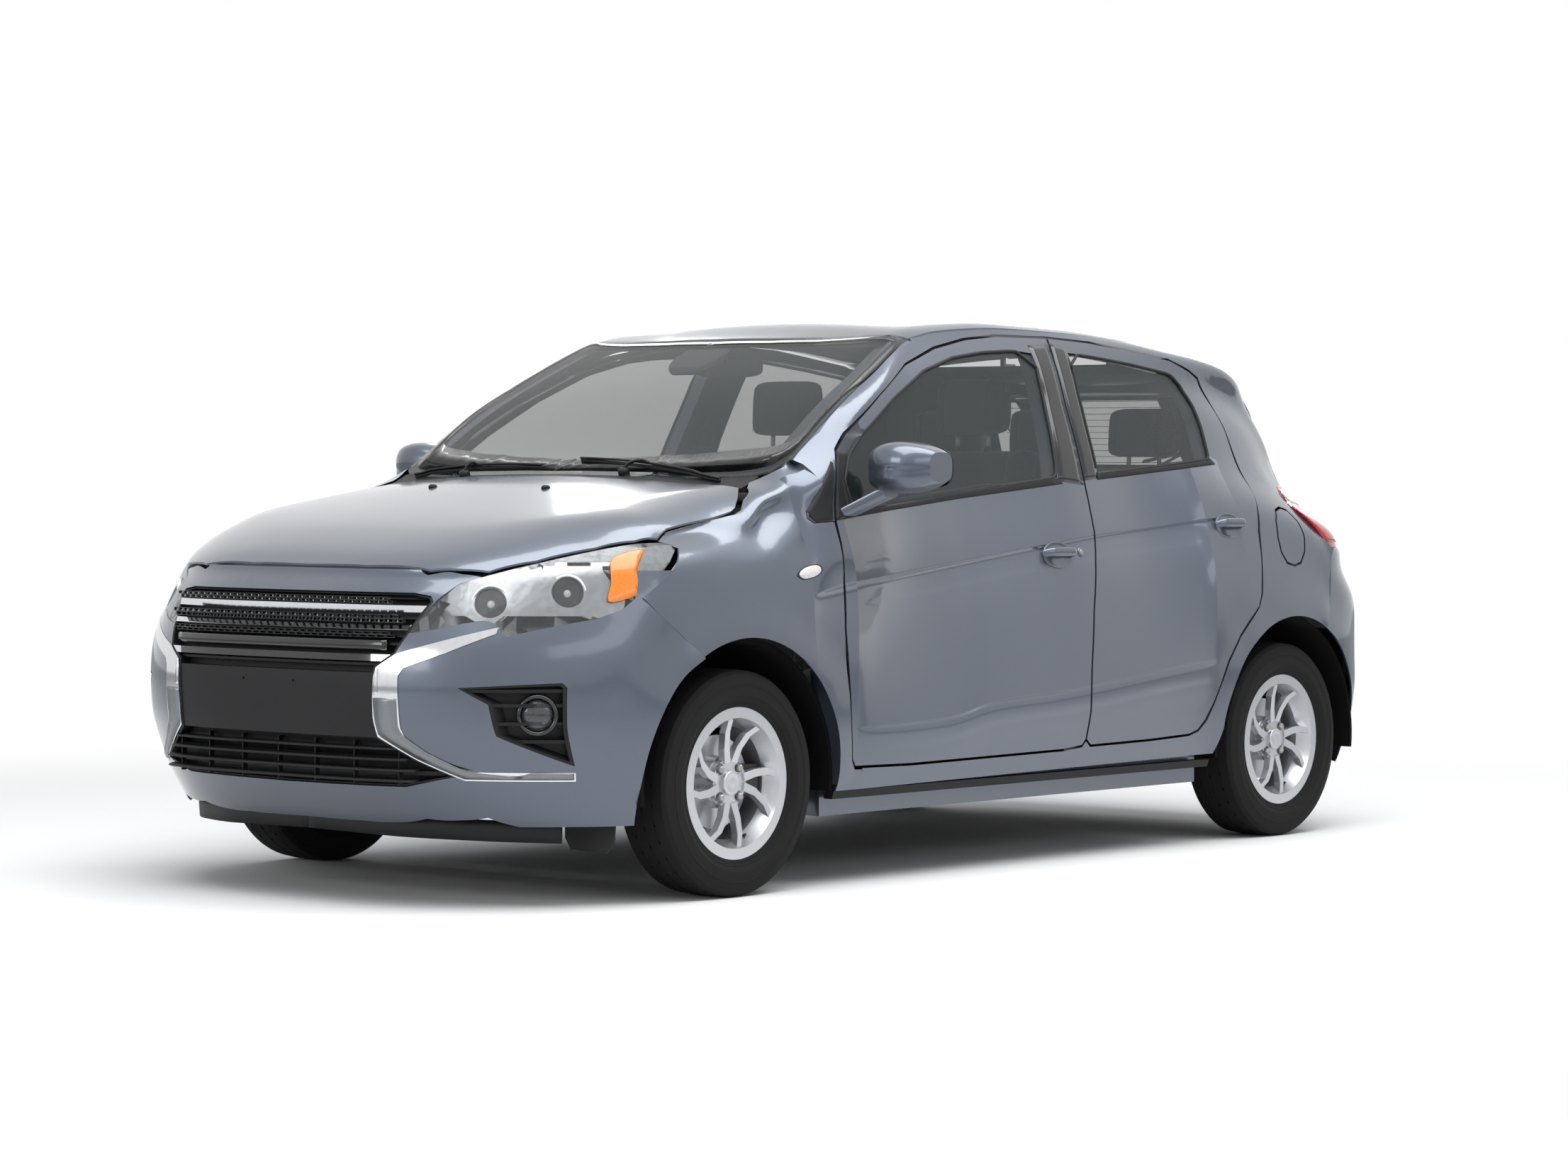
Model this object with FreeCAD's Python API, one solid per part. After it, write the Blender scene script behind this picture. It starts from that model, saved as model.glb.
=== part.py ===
import FreeCAD, Part
import math
import os

# Hatchback car, five doors, left-hand drive, standing on its four wheels.
# X points forward, Y to the car's left, Z up, millimetres.
# The origin is on the ground, in the middle of the car's overall length and width.

V = FreeCAD.Vector
AXIS_X = V(1, 0, 0)
AXIS_Y = V(0, 1, 0)
AXIS_Z = V(0, 0, 1)

# Driving dimensions of the whole car
LENGTH = 3845.0
WIDTH = 1665.0
HEIGHT = 1510.0
WHEELBASE = 2450.0
FRONT_OVERHANG = 855.0
TRACK_FRONT = 1430.0
TRACK_REAR = 1415.0

# Wheels and tyres, 165/65 on a 14 inch rim
TYRE_RADIUS = 284.0
TYRE_WIDTH = 168.0
TYRE_CROWN = 5.0
TYRE_SHOULDER = 16.0
GROOVE_SLOPE = 1.0
TREAD_DEPTH = 5.0
GROOVE_WIDTH = 7.0
RIM_RADIUS = 178.0
RIM_LIP = 12.0
RIM_WIDTH = 140.0
RIM_WALL = 8.0
SPOKE_PAIRS = 4
HUB_CAP_RADIUS = 32.0
LUG_CIRCLE = 100.0
LUG_RADIUS = 10.0
LUG_LENGTH = 16.0
BRAKE_DISC_RADIUS = 118.0
ARCH_RADIUS = 364.0
LINER_RADIUS = 352.0
LINER_WALL = 4.0

# Panels
SKIN = 5.0
DOOR_DEPTH = 50.0
GLASS = 4.0
GLASS_INSET = 5.0
GAP = 7.0
SEAT_GAP = 0.3
CUT_OVERRUN = 60.0
ROOF_THICK = 24.0
BONNET_THICK = 26.0
TAILGATE_THICK = 46.0
BUMPER_WALL = 6.0
TRIM = 7.0

# Floor, sills and bulkhead
FLOOR_HEIGHT = 190.0
FLOOR_THICK = 22.0
SILL_BOTTOM = 178.0
SILL_TOP = 292.0
SILL_INNER = 640.0
SILL_OUTER = 744.0
BULKHEAD_THICK = 30.0
TUNNEL_WIDTH = 200.0
TUNNEL_HEIGHT = 110.0

# Steering, measured at the left wheel
KINGPIN_LOW_Y = 655.0
KINGPIN_LOW_Z = 195.0
KINGPIN_HIGH_Y = 560.0
KINGPIN_HIGH_Z = 800.0


# Body lines, as shares of LENGTH along X, WIDTH across Y and HEIGHT up Z
PLAN_SHARES = [
    (-0.4999, 0.4414), (-0.4811, 0.4715), (-0.4551, 0.4805), (-0.4161, 0.4919), (-0.3594, 0.4943),
    (-0.2861, 0.4955), (-0.156, 0.4967), (0.0, 0.4967), (0.13, 0.4961), (0.2341, 0.4943),
    (0.2775, 0.4931), (0.3381, 0.4895), (0.3901, 0.4805), (0.4421, 0.4625), (0.4999, 0.4204),
]
SECTION_SHARES = [
    (0.0993, -0.0372), (0.1325, -0.0228), (0.1722, -0.0138), (0.2185, -0.0072), (0.298, -0.0018),
    (0.3974, 0.0), (0.4636, -0.0012), (0.5166, -0.0054), (0.5629, -0.012), (0.6159, -0.0264),
    (0.6623, -0.0372), (0.7285, -0.0432), (0.8609, -0.048),
]
GREENHOUSE_SHARES = [
    (-0.4681, -0.1411), (-0.4291, -0.0991), (-0.3901, -0.0613), (-0.3381, -0.0312),
    (-0.2861, -0.0144), (-0.2081, -0.0036), (-0.078, 0.0), (0.078, 0.0), (0.156, -0.0048),
    (0.2211, -0.0132), (0.2861, -0.027),
]
BELT_SHARES = [
    (-0.3901, 0.7285), (-0.2991, 0.7205), (-0.0882, 0.6821), (0.1782, 0.6212), (0.2601, 0.6159),
]
TOP_SHARES = [
    (-0.4999, 0.8543), (-0.4265, 0.8728), (-0.4057, 0.902), (-0.3771, 0.9325), (-0.3511, 0.9517),
    (-0.3059, 0.9695), (-0.2185, 0.9894), (-0.1508, 0.9974), (-0.0728, 1.0), (-0.0156, 0.9934),
    (0.0156, 0.9828), (0.039, 0.9689), (0.0559, 0.955), (0.13, 0.8609), (0.2081, 0.7318),
    (0.2341, 0.7033), (0.2601, 0.6921), (0.2993, 0.6748), (0.3381, 0.655), (0.3901, 0.6258),
    (0.4421, 0.5881), (0.4655, 0.5616), (0.4811, 0.5298), (0.4999, 0.4636),
]
FRONT_SHARES = [
    (0.0993, 0.0494), (0.1285, 0.0364), (0.1656, 0.0247), (0.1954, 0.0172), (0.2318, 0.0104),
    (0.298, 0.0016), (0.3576, 0.0), (0.4106, 0.0026), (0.4636, 0.012), (0.5053, 0.0218),
    (0.547, 0.0338), (0.596, 0.065), (0.6623, 0.13),
]
REAR_SHARES = [
    (0.0993, 0.0182), (0.1921, 0.0088), (0.2318, 0.0036), (0.298, 0.0), (0.4106, 0.0),
    (0.457, 0.0031), (0.4901, 0.013), (0.5298, 0.0218), (0.596, 0.0281), (0.6623, 0.0364),
    (0.702, 0.0429), (0.7616, 0.0533), (0.8742, 0.0741), (0.9404, 0.1092),
]
SEAM_SHARES = [
    (-0.4317, 0.3471), (-0.4244, 0.3309), (-0.4135, 0.3207), (-0.4055, 0.3123), (-0.3935, 0.3135),
    (-0.3776, 0.3183), (-0.3641, 0.3213), (-0.3381, 0.3249), (-0.2861, 0.3345), (-0.2341, 0.3369),
    (-0.156, 0.3375), (-0.078, 0.3369), (0.0, 0.3405), (0.0312, 0.3471), (0.0866, 0.3754),
    (0.1358, 0.3934), (0.1904, 0.4072), (0.2068, 0.3988), (0.2211, 0.3874), (0.2325, 0.385),
    (0.2453, 0.4084), (0.2544, 0.4216), (0.2603, 0.4252), (0.2741, 0.4264), (0.2978, 0.4288),
    (0.3277, 0.4342), (0.3402, 0.442), (0.3823, 0.4444),
]

# Panel outlines of the left side, X and Z
FRONT_DOOR_SHARES = [
    (0.1654, 0.2013), (0.1051, 0.1987), (-0.0689, 0.2026), (-0.0897, 0.2073), (-0.0939, 0.2185),
    (-0.0973, 0.2682), (-0.0965, 0.3444), (-0.0988, 0.4523), (-0.1046, 0.5424), (-0.1103, 0.598),
    (-0.1126, 0.6556), (-0.1134, 0.7285), (-0.116, 0.8278), (-0.1202, 0.9073), (-0.1264, 0.9543),
    (-0.065, 0.9536), (-0.027, 0.9444), (0.0127, 0.9258), (0.0544, 0.8934), (0.0988, 0.8371),
    (0.1456, 0.7682), (0.1576, 0.7411), (0.1625, 0.7152), (0.174, 0.6185), (0.1792, 0.5139),
    (0.1802, 0.4377), (0.1761, 0.345), (0.1727, 0.2682), (0.1696, 0.2152),
]
REAR_DOOR_SHARES = [
    (-0.1001, 0.2066), (-0.173, 0.2086), (-0.2234, 0.2126), (-0.2341, 0.2199), (-0.2429, 0.2384),
    (-0.251, 0.2669), (-0.2593, 0.304), (-0.2694, 0.349), (-0.2845, 0.3954), (-0.2954, 0.4192),
    (-0.3098, 0.449), (-0.3152, 0.4735), (-0.3168, 0.498), (-0.3217, 0.5934), (-0.3277, 0.6358),
    (-0.3339, 0.6623), (-0.3355, 0.6821), (-0.3319, 0.7258), (-0.3261, 0.794), (-0.3176, 0.8477),
    (-0.3072, 0.8887), (-0.2949, 0.9026), (-0.2697, 0.9225), (-0.2117, 0.9397), (-0.1761, 0.949),
    (-0.1264, 0.9543), (-0.1202, 0.9073), (-0.116, 0.8278), (-0.1134, 0.7285), (-0.1126, 0.6556),
    (-0.1103, 0.598), (-0.1046, 0.5424), (-0.0988, 0.4523), (-0.0965, 0.3444), (-0.0973, 0.2682),
    (-0.0939, 0.2185),
]
FRONT_GLASS_SHARES = [
    (0.1534, 0.6371), (0.1165, 0.6457), (0.039, 0.6662), (-0.0814, 0.6954), (-0.0871, 0.7682),
    (-0.0928, 0.8464), (-0.0973, 0.9232), (-0.077, 0.9272), (-0.0395, 0.9219), (-0.0018, 0.9099),
    (0.038, 0.8834), (0.0824, 0.8318), (0.1264, 0.7669), (0.1456, 0.7311), (0.156, 0.6887),
]
REAR_GLASS_SHARES = [
    (-0.1319, 0.702), (-0.2892, 0.7318), (-0.2895, 0.7934), (-0.2882, 0.8411), (-0.2788, 0.8815),
    (-0.2676, 0.8954), (-0.2211, 0.9099), (-0.1717, 0.9219), (-0.142, 0.9272), (-0.1371, 0.8477),
    (-0.1332, 0.7682),
]
FENDER_SHARES = [
    (0.1925, 0.1629), (0.1566, 0.1629), (0.1545, 0.196), (0.1664, 0.1974), (0.1706, 0.2126),
    (0.174, 0.2682), (0.1774, 0.345), (0.1815, 0.4377), (0.1805, 0.5139), (0.1753, 0.6179),
    (0.1961, 0.6152), (0.2016, 0.6232), (0.2016, 0.6364), (0.1821, 0.6828), (0.1862, 0.7139),
    (0.1904, 0.7232), (0.2068, 0.7033), (0.2211, 0.6874), (0.2325, 0.6748), (0.2453, 0.655),
    (0.2544, 0.6371), (0.2603, 0.6311), (0.2741, 0.6245), (0.2978, 0.6146), (0.3277, 0.6007),
    (0.3402, 0.5874), (0.3355, 0.5854), (0.3282, 0.5762), (0.3378, 0.5543), (0.3542, 0.5258),
    (0.3719, 0.498), (0.3615, 0.4748), (0.343, 0.4411), (0.3321, 0.4185), (0.3199, 0.3907),
    (0.2913, 0.3709), (0.2081, 0.3179), (0.1912, 0.2119),
]
BODY_SIDE_SHARES = [
    (0.1576, 0.1629), (-0.2562, 0.1735), (-0.2653, 0.2185), (-0.3987, 0.2649), (-0.3987, 0.3854),
    (-0.4052, 0.4166), (-0.4096, 0.4437), (-0.412, 0.494), (-0.4179, 0.5583), (-0.4057, 0.5914),
    (-0.3953, 0.6192), (-0.388, 0.6457), (-0.3886, 0.6656), (-0.3966, 0.6815), (-0.4338, 0.6815),
]
BODY_SIDE_FRONT_SHARES = [
    (0.1904, 0.7219), (0.1862, 0.7152), (0.1821, 0.6815), (0.201, 0.6377), (0.201, 0.6245),
    (0.1956, 0.6166), (0.1717, 0.6199), (0.1576, 0.2119),
]
HINGE_PILLAR_SHARES = [
    (0.1823, 0.1735), (0.1873, 0.1735), (0.1899, 0.2185), (0.1977, 0.3311), (0.1982, 0.596),
    (0.1883, 0.702), (0.1823, 0.705),
]
CENTRE_PILLAR_SHARES = [
    (-0.0754, 0.1735), (-0.0923, 0.1735), (-0.0923, 0.4636), (-0.1027, 0.5497), (-0.1222, 0.6159),
    (-0.1254, 0.7285), (-0.1326, 0.8609), (-0.1381, 0.962), (-0.1141, 0.962), (-0.1066, 0.8609),
    (-0.1014, 0.7285), (-0.0936, 0.6159), (-0.0754, 0.5033),
]
FUEL_FLAP_SHARES = [
    (-0.3454, 0.5828), (-0.3475, 0.553), (-0.3542, 0.5318), (-0.3636, 0.5265), (-0.373, 0.5318),
    (-0.3797, 0.553), (-0.3818, 0.5828), (-0.3797, 0.6126), (-0.373, 0.6338), (-0.3636, 0.6391),
    (-0.3542, 0.6338), (-0.3475, 0.6126),
]

# Outlines seen from above, X and Y
BONNET_SHARES = [
    (0.2562, 0.0), (0.2523, 0.1802), (0.2445, 0.3003), (0.2354, 0.3604), (0.2325, 0.385),
    (0.2453, 0.4084), (0.2544, 0.4216), (0.2603, 0.4252), (0.2741, 0.4264), (0.2978, 0.4288),
    (0.3277, 0.4342), (0.3402, 0.4408), (0.3594, 0.4366), (0.3865, 0.4162), (0.4205, 0.3712),
    (0.4432, 0.3267), (0.4507, 0.2913), (0.4598, 0.2402), (0.4645, 0.1201), (0.4655, 0.0),
]
WINDSCREEN_SHARES = [
    (0.2432, 0.0), (0.2398, 0.1201), (0.2328, 0.2402), (0.2211, 0.3363), (0.2143, 0.3748),
    (0.2068, 0.3964), (0.1904, 0.406), (0.1358, 0.3922), (0.0866, 0.3742), (0.0351, 0.3459),
    (0.0429, 0.3183), (0.0507, 0.2763), (0.0577, 0.2102), (0.0624, 0.1201), (0.0645, 0.0),
]
ROOF_FRONT_SHARES = [
    (0.0645, 0.0), (0.0624, 0.1201), (0.0577, 0.2102), (0.0507, 0.2763), (0.0429, 0.3183),
    (0.0351, 0.3459),
]

# Outlines seen from the front and rear, Y and Z
GRILLE_SHARES = [
    (0.0, 0.5053), (0.2366, 0.5053), (0.2643, 0.5007), (0.2715, 0.4914), (0.2595, 0.4636),
    (0.2529, 0.4424), (0.2402, 0.4079), (0.2114, 0.3861), (0.2096, 0.3728), (0.2078, 0.3086),
    (0.2114, 0.2762), (0.2583, 0.2437), (0.3105, 0.2146), (0.2318, 0.1954), (0.0, 0.1934),
]
BLADE_SHARES = [
    (0.364, 0.453), (0.242, 0.4093), (0.2126, 0.3874), (0.2096, 0.3728), (0.2078, 0.3086),
    (0.2114, 0.2762), (0.2643, 0.2397), (0.3201, 0.2079), (0.433, 0.2066), (0.4354, 0.2212),
    (0.3291, 0.2225), (0.2823, 0.2517), (0.2547, 0.2775), (0.2505, 0.2921), (0.2492, 0.3742),
    (0.2559, 0.3868), (0.3123, 0.4119), (0.364, 0.4424),
]
HEADLAMP_SHARES = [
    (0.2529, 0.4424), (0.2589, 0.4629), (0.2757, 0.4947), (0.2931, 0.5199), (0.3279, 0.5351),
    (0.3724, 0.5536), (0.4174, 0.5742), (0.439, 0.5848), (0.4468, 0.5868), (0.4511, 0.5762),
    (0.4601, 0.5543), (0.4679, 0.5258), (0.4727, 0.498), (0.4673, 0.4795), (0.4517, 0.4662),
    (0.4282, 0.4583), (0.403, 0.449), (0.3754, 0.4384), (0.367, 0.4477), (0.3562, 0.4596),
    (0.3441, 0.4629), (0.3219, 0.4589), (0.2913, 0.4497),
]
FOG_SHARES = [
    (0.3297, 0.357), (0.4348, 0.3649), (0.439, 0.3576), (0.436, 0.2318), (0.3694, 0.2808),
    (0.364, 0.3311),
]
TAILGATE_SHARES = [
    (0.0, 0.4649), (0.3243, 0.4649), (0.3375, 0.4834), (0.3435, 0.5629), (0.3447, 0.6291),
    (0.3447, 0.6815), (0.3309, 0.7285), (0.3207, 0.7947), (0.3111, 0.845), (0.3111, 0.8742),
    (0.3111, 0.9272),
]
REAR_GLASS_BACK_SHARES = [
    (0.0, 0.7073), (0.3003, 0.7073), (0.3075, 0.7219), (0.3003, 0.7815), (0.2871, 0.8543),
    (0.2793, 0.8642), (0.0, 0.8689),
]


HALF_WIDTH = WIDTH / 2
FRONT_AXLE = LENGTH / 2 - FRONT_OVERHANG
REAR_AXLE = FRONT_AXLE - WHEELBASE
FRONT_WHEEL_Y = TRACK_FRONT / 2
REAR_WHEEL_Y = TRACK_REAR / 2

# How the body surface is rounded and shaped
FLARE = 9.0
FLARE_INNER = 372.0
FLARE_OUTER = 470.0
BELT_HALF = 770.0
BELT_LEVEL = 980.0
TUMBLEHOME = 0.29
TUMBLE_SHARE = 0.332
TUMBLE_CURVE = TUMBLE_SHARE / HEIGHT
SHOULDER_SHARE = 5.3
SHOULDER_CURVE = SHOULDER_SHARE / HEIGHT
SHOULDER_BLEND = 25.0
CROWN_SHARE = 0.1665
ROOF_CROWN = CROWN_SHARE / WIDTH
NOSE_SWEEP = 147.0
NOSE_REACH = 600.0
NOSE_POWER = 3.54
TAIL_SWEEP = 30.0
ROOF_ROUND = 60.0
BONNET_ROUND = 125.0
ROUND_START = 700.0
ROUND_END = 1000.0
FLATTEN_START = 900.0
FLATTEN_END = 1500.0
NOSE_ROUND = 45.0
TAIL_ROUND = 170.0
FLARE_FOOT = 200.0
FLARE_FULL = 330.0
SEARCH_STEPS = 22


def scaled(shares, across, up):
    """Turn pairs of shares into real sizes."""
    return [(a * across, b * up) for a, b in shares]


def smooth_curve(points):
    """Return a function that runs smoothly through the points and stays flat outside them."""
    last = len(points) - 1
    steps = [(points[i + 1][1] - points[i][1]) / (points[i + 1][0] - points[i][0]) for i in range(last)]
    slopes = [steps[0]]
    for i in range(1, last):
        before, after = steps[i - 1], steps[i]
        if before * after <= 0:
            slopes.append(0.0)
            continue
        near = points[i][0] - points[i - 1][0]
        far = points[i + 1][0] - points[i][0]
        slopes.append((near + far) * before * after / (far * before + near * after))
    slopes.append(steps[-1])

    def value(at):
        if at <= points[0][0]:
            return points[0][1]
        if at >= points[last][0]:
            return points[last][1]
        i = 0
        while at > points[i + 1][0]:
            i += 1
        span = points[i + 1][0] - points[i][0]
        t = (at - points[i][0]) / span
        t2 = t * t
        t3 = t2 * t
        start = (2 * t3 - 3 * t2 + 1) * points[i][1] + (t3 - 2 * t2 + t) * slopes[i] * span
        end = (3 * t2 - 2 * t3) * points[i + 1][1] + (t3 - t2) * slopes[i + 1] * span
        return start + end

    return value


plan_half = smooth_curve(scaled(PLAN_SHARES, LENGTH, WIDTH))
section_inset = smooth_curve(scaled(SECTION_SHARES, HEIGHT, WIDTH))
greenhouse_inset = smooth_curve(scaled(GREENHOUSE_SHARES, LENGTH, WIDTH))
belt_height = smooth_curve(scaled(BELT_SHARES, LENGTH, HEIGHT))
top_line = smooth_curve(scaled(TOP_SHARES, LENGTH, HEIGHT))
front_inset = smooth_curve(scaled(FRONT_SHARES, HEIGHT, LENGTH))
rear_inset = smooth_curve(scaled(REAR_SHARES, HEIGHT, LENGTH))
seam_half = smooth_curve(scaled(SEAM_SHARES, LENGTH, WIDTH))


def ease(start, end, at):
    """Rise smoothly from 0 at start to 1 at end."""
    t = min(1.0, max(0.0, (at - start) / (end - start)))
    return t * t * (3 - 2 * t)


def side_half(x, z):
    """Half width of the body side, with wheel flares, shoulder and leaning windows."""
    lower = plan_half(x) + section_inset(z)
    for axle in (FRONT_AXLE, REAR_AXLE):
        reach = math.hypot(x - axle, z - TYRE_RADIUS)
        lower += FLARE * (1 - ease(FLARE_INNER, FLARE_OUTER, reach)) * ease(FLARE_FOOT, FLARE_FULL, z)
    upper = BELT_HALF + greenhouse_inset(x) - TUMBLEHOME * (z - BELT_LEVEL)
    upper -= TUMBLE_CURVE * max(0.0, z - BELT_LEVEL) ** 2
    upper += SHOULDER_CURVE * max(0.0, belt_height(x) - z) ** 2
    mix = min(1.0, max(0.0, (upper - lower) / SHOULDER_BLEND / 2 + 1 / 2))
    return upper * (1 - mix) + lower * mix - SHOULDER_BLEND * mix * (1 - mix)


def rounded(first, second, radius):
    """Join two surfaces along their edge with a round of this radius."""
    a = max(first + radius, 0.0)
    b = max(second + radius, 0.0)
    return min(-radius, max(first, second)) + math.hypot(a, b)


def outside(x, y, z):
    """Distance outside the body surface, about true near it and negative inside."""
    half = abs(y)
    side = half - side_half(x, z)
    flatten = 1 - ease(FLATTEN_START, FLATTEN_END, x) / 2
    top = z - top_line(x) + ROOF_CROWN * flatten * half * half
    round_share = ease(ROUND_START, ROUND_END, x)
    gap = rounded(side, top, ROOF_ROUND + (BONNET_ROUND - ROOF_ROUND) * round_share)
    nose = LENGTH / 2 - front_inset(z) - NOSE_SWEEP * (half / NOSE_REACH) ** NOSE_POWER
    gap = rounded(gap, x - nose, NOSE_ROUND)
    tail = -LENGTH / 2 + rear_inset(z) + TAIL_SWEEP * (half / NOSE_REACH) ** 2
    return rounded(gap, tail - x, TAIL_ROUND)


def surface_point(start, way, level=0.0):
    """Go from start, inside the body, along way to the surface or to level below it."""
    near = 0.0
    far = LENGTH
    for _ in range(SEARCH_STEPS):
        middle = (near + far) / 2
        if outside(*(start + way * middle)) + level > 0:
            far = middle
        else:
            near = middle
    return start + way * near


def side_point(x, z):
    return surface_point(V(x, 0, z), AXIS_Y)


def top_point(x, y):
    return surface_point(V(x, y, HEIGHT / 2), AXIS_Z)


def wrap_point(middle_x, angle, z, level=0.0):
    """Surface point seen from a post at middle_x, angle measured from straight ahead."""
    way = V(math.cos(angle), math.sin(angle), 0)
    return surface_point(V(middle_x, 0, z), way, level)


def between(low, high, count):
    return [low + (high - low) * i / (count - 1) for i in range(count)]


def skin_surface(rows):
    """One smooth surface through rows of points."""
    surface = Part.BSplineSurface()
    surface.interpolate(rows)
    return surface


def outer_edges(surface):
    u0, u1, v0, v1 = surface.bounds()
    sides = [surface.uIso(u0), surface.uIso(u1), surface.vIso(v0), surface.vIso(v1)]
    return [side.toShape() for side in sides]


def shell_block(outer_rows, inner_rows):
    """Solid between an outer and an inner surface that have matching edges."""
    outer = skin_surface(outer_rows)
    inner = skin_surface(inner_rows)
    faces = [outer.toShape(), inner.toShape()]
    for a, b in zip(outer_edges(outer), outer_edges(inner)):
        faces.append(Part.makeRuledSurface(a, b))
    shell = Part.makeShell(faces)
    shell.sewShape()
    block = Part.makeSolid(shell)
    return block if block.Volume > 0 else block.reversed()


def polygon(points):
    return Part.Face(Part.makePolygon(points + [points[0]]))


def side_prism(outline, y_low, y_high):
    """Extrude an outline of X and Z across the car."""
    face = polygon([V(x, y_low, z) for x, z in outline])
    return face.extrude(V(0, y_high - y_low, 0))


def plan_prism(outline, z_low, z_high):
    """Extrude an outline of X and Y upwards."""
    face = polygon([V(x, y, z_low) for x, y in outline])
    return face.extrude(V(0, 0, z_high - z_low))


def end_prism(outline, x_low, x_high):
    """Extrude an outline of Y and Z along the car."""
    face = polygon([V(x_low, y, z) for y, z in outline])
    return face.extrude(V(x_high - x_low, 0, 0))


def grown(outline, distance):
    """Move each side of a closed outline outwards by distance, inwards where it is negative."""
    area = sum(a[0] * b[1] - b[0] * a[1] for a, b in zip(outline, outline[1:] + outline[:1]))
    turn = 1 if area > 0 else -1
    result = []
    for i, (u, v) in enumerate(outline):
        before = outline[i - 1]
        after = outline[(i + 1) % len(outline)]
        first = math.atan2(v - before[1], u - before[0])
        second = math.atan2(after[1] - v, after[0] - u)
        half = math.remainder(second - first, 2 * math.pi) / 2
        away = first + half - turn * math.pi / 2
        reach = distance / max(math.cos(half), 1 / 2)
        result.append((u + reach * math.cos(away), v + reach * math.sin(away)))
    return result


def mirrored(outline):
    """Close a half outline, given from one middle point to the other, across the middle."""
    other = [(x, -y) for x, y in reversed(outline) if y != 0]
    return outline + other


def mirrored_end(outline):
    other = [(-y, z) for y, z in reversed(outline) if y != 0]
    return outline + other


def box(x0, x1, y0, y1, z0, z1):
    return Part.makeBox(x1 - x0, y1 - y0, z1 - z0, V(x0, y0, z0))


def rod(start, end, radius):
    way = end - start
    return Part.makeCylinder(radius, way.Length, start, way)


def joined(shapes):
    whole = shapes[0]
    for shape in shapes[1:]:
        whole = whole.fuse(shape)
    return whole.removeSplitter() if len(shapes) > 1 else whole


def other_side(shape):
    return shape.mirror(V(0, 0, 0), AXIS_Y)


def save(name, shape):
    shape.exportStep(os.path.join("parts", name + ".step"))
    print(name, shape.isValid(), len(shape.Solids), round(shape.Volume / MM3_PER_LITRE, 3), flush=True)


os.makedirs("parts", exist_ok=True)
SEAM_OVERRUN = 3.0
LAP = 1.0
MM3_PER_LITRE = 1e6


def rail_height(x):
    """Height of the line where the body side meets the roof, screen or bonnet."""
    return top_point(x, seam_half(x)).z


def side_rows(x_low, x_high, z_low, columns, rows):
    """Rows of points on the left body side, from z_low up to the seam."""
    result = []
    for x in between(x_low, x_high, columns):
        top = rail_height(x) + SEAM_OVERRUN
        result.append([side_point(x, z) for z in between(z_low, top, rows)])
    return result


def top_rows(x_low, x_high, half_width, columns, rows):
    """Rows of points on the top of the body, out to half_width(x) on both sides."""
    result = []
    for x in between(x_low, x_high, columns):
        half = half_width(x)
        result.append([top_point(x, y) for y in between(-half, half, rows)])
    return result


def wrap_rows(middle_x, ahead, low_angle, high_angle, z_low, z_high, columns, rows, level=0.0):
    """Rows of points round the nose or the tail, at level below the surface."""
    result = []
    for angle in between(low_angle, high_angle, columns):
        turned = angle if ahead else math.pi - angle
        result.append([wrap_point(middle_x, turned, z, level) for z in between(z_low, z_high, rows)])
    return result


def slab(rows, way, start, depth):
    """Solid from start to depth behind the surface through rows, measured along way."""
    face = skin_surface(rows).toShape()
    face.translate(way * start)
    return face.extrude(way * (depth - start))


def largest(shape):
    """Keep the biggest solid, without the slivers that a cut may leave."""
    return max(shape.Solids, key=lambda solid: solid.Volume)


# How the panels are gridded, set and hinged
COLUMNS = 14
ROWS = 14
LONG_COLUMNS = 26
DOOR_INSET = 16.0
PANEL_OVERLAP = 2.5
PILLAR_START = 20.0
PILLAR_END = 66.0
PILLAR_CLEAR = 8.0
SIDE_DEPTH = 70.0
ROOF_UNDER = 1380.0
ROOF_UNDER_REAR = 1335.0
ROOF_STEP_X = -1100.0
SCREEN_THICK = 5.0
SCREEN_CLEAR = 5.6
SCREEN_COVER = 80.0
FRONT_HINGE_X = 650.0
REAR_HINGE_X = -399.0
HINGE_Y = 816.0
HINGE_LOW_Z = 440.0
HINGE_HIGH_Z = 690.0
PIN_RADIUS = 2.5
PIN_CLEAR = 0.3
KNUCKLE_RADIUS = 5.0
KNUCKLE_LENGTH = 16.0
ARM_HEIGHT = 14.0
ARM_THICK = 8.0
ARM_REACH = 60.0
ARM_TIP = 7.0
ARM_CLEAR = 5.0
FRONT_ARM_LENGTH = 62.0
REAR_ARM_LENGTH = 56.0
ROOF_REAR = -1326.0
POCKET_DEPTH = 46.0
CAP_RADIUS = 27.0
CAP_HEIGHT = 18.0
FLAP_HINGE_AHEAD = 12.0
FLAP_HINGE_DEPTH = 9.0
FLAP_ARM_DROP = 30.0
FLAP_ARM_LENGTH = 44.0
FLAP_ARM_THICK = 5.0
FLAP_ARM_HEIGHT = 12.0
FLAP_PIN_LENGTH = 30.0
FLAP_PIN_RADIUS = 2.0
FLAP_EDGE_X = -1317.0
FLAP_HEIGHT_Z = 880.0


def outline(shares):
    return scaled(shares, LENGTH, HEIGHT)


def plan_outline(shares):
    return scaled(shares, LENGTH, WIDTH)


def end_outline(shares):
    return scaled(shares, WIDTH, HEIGHT)


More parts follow.
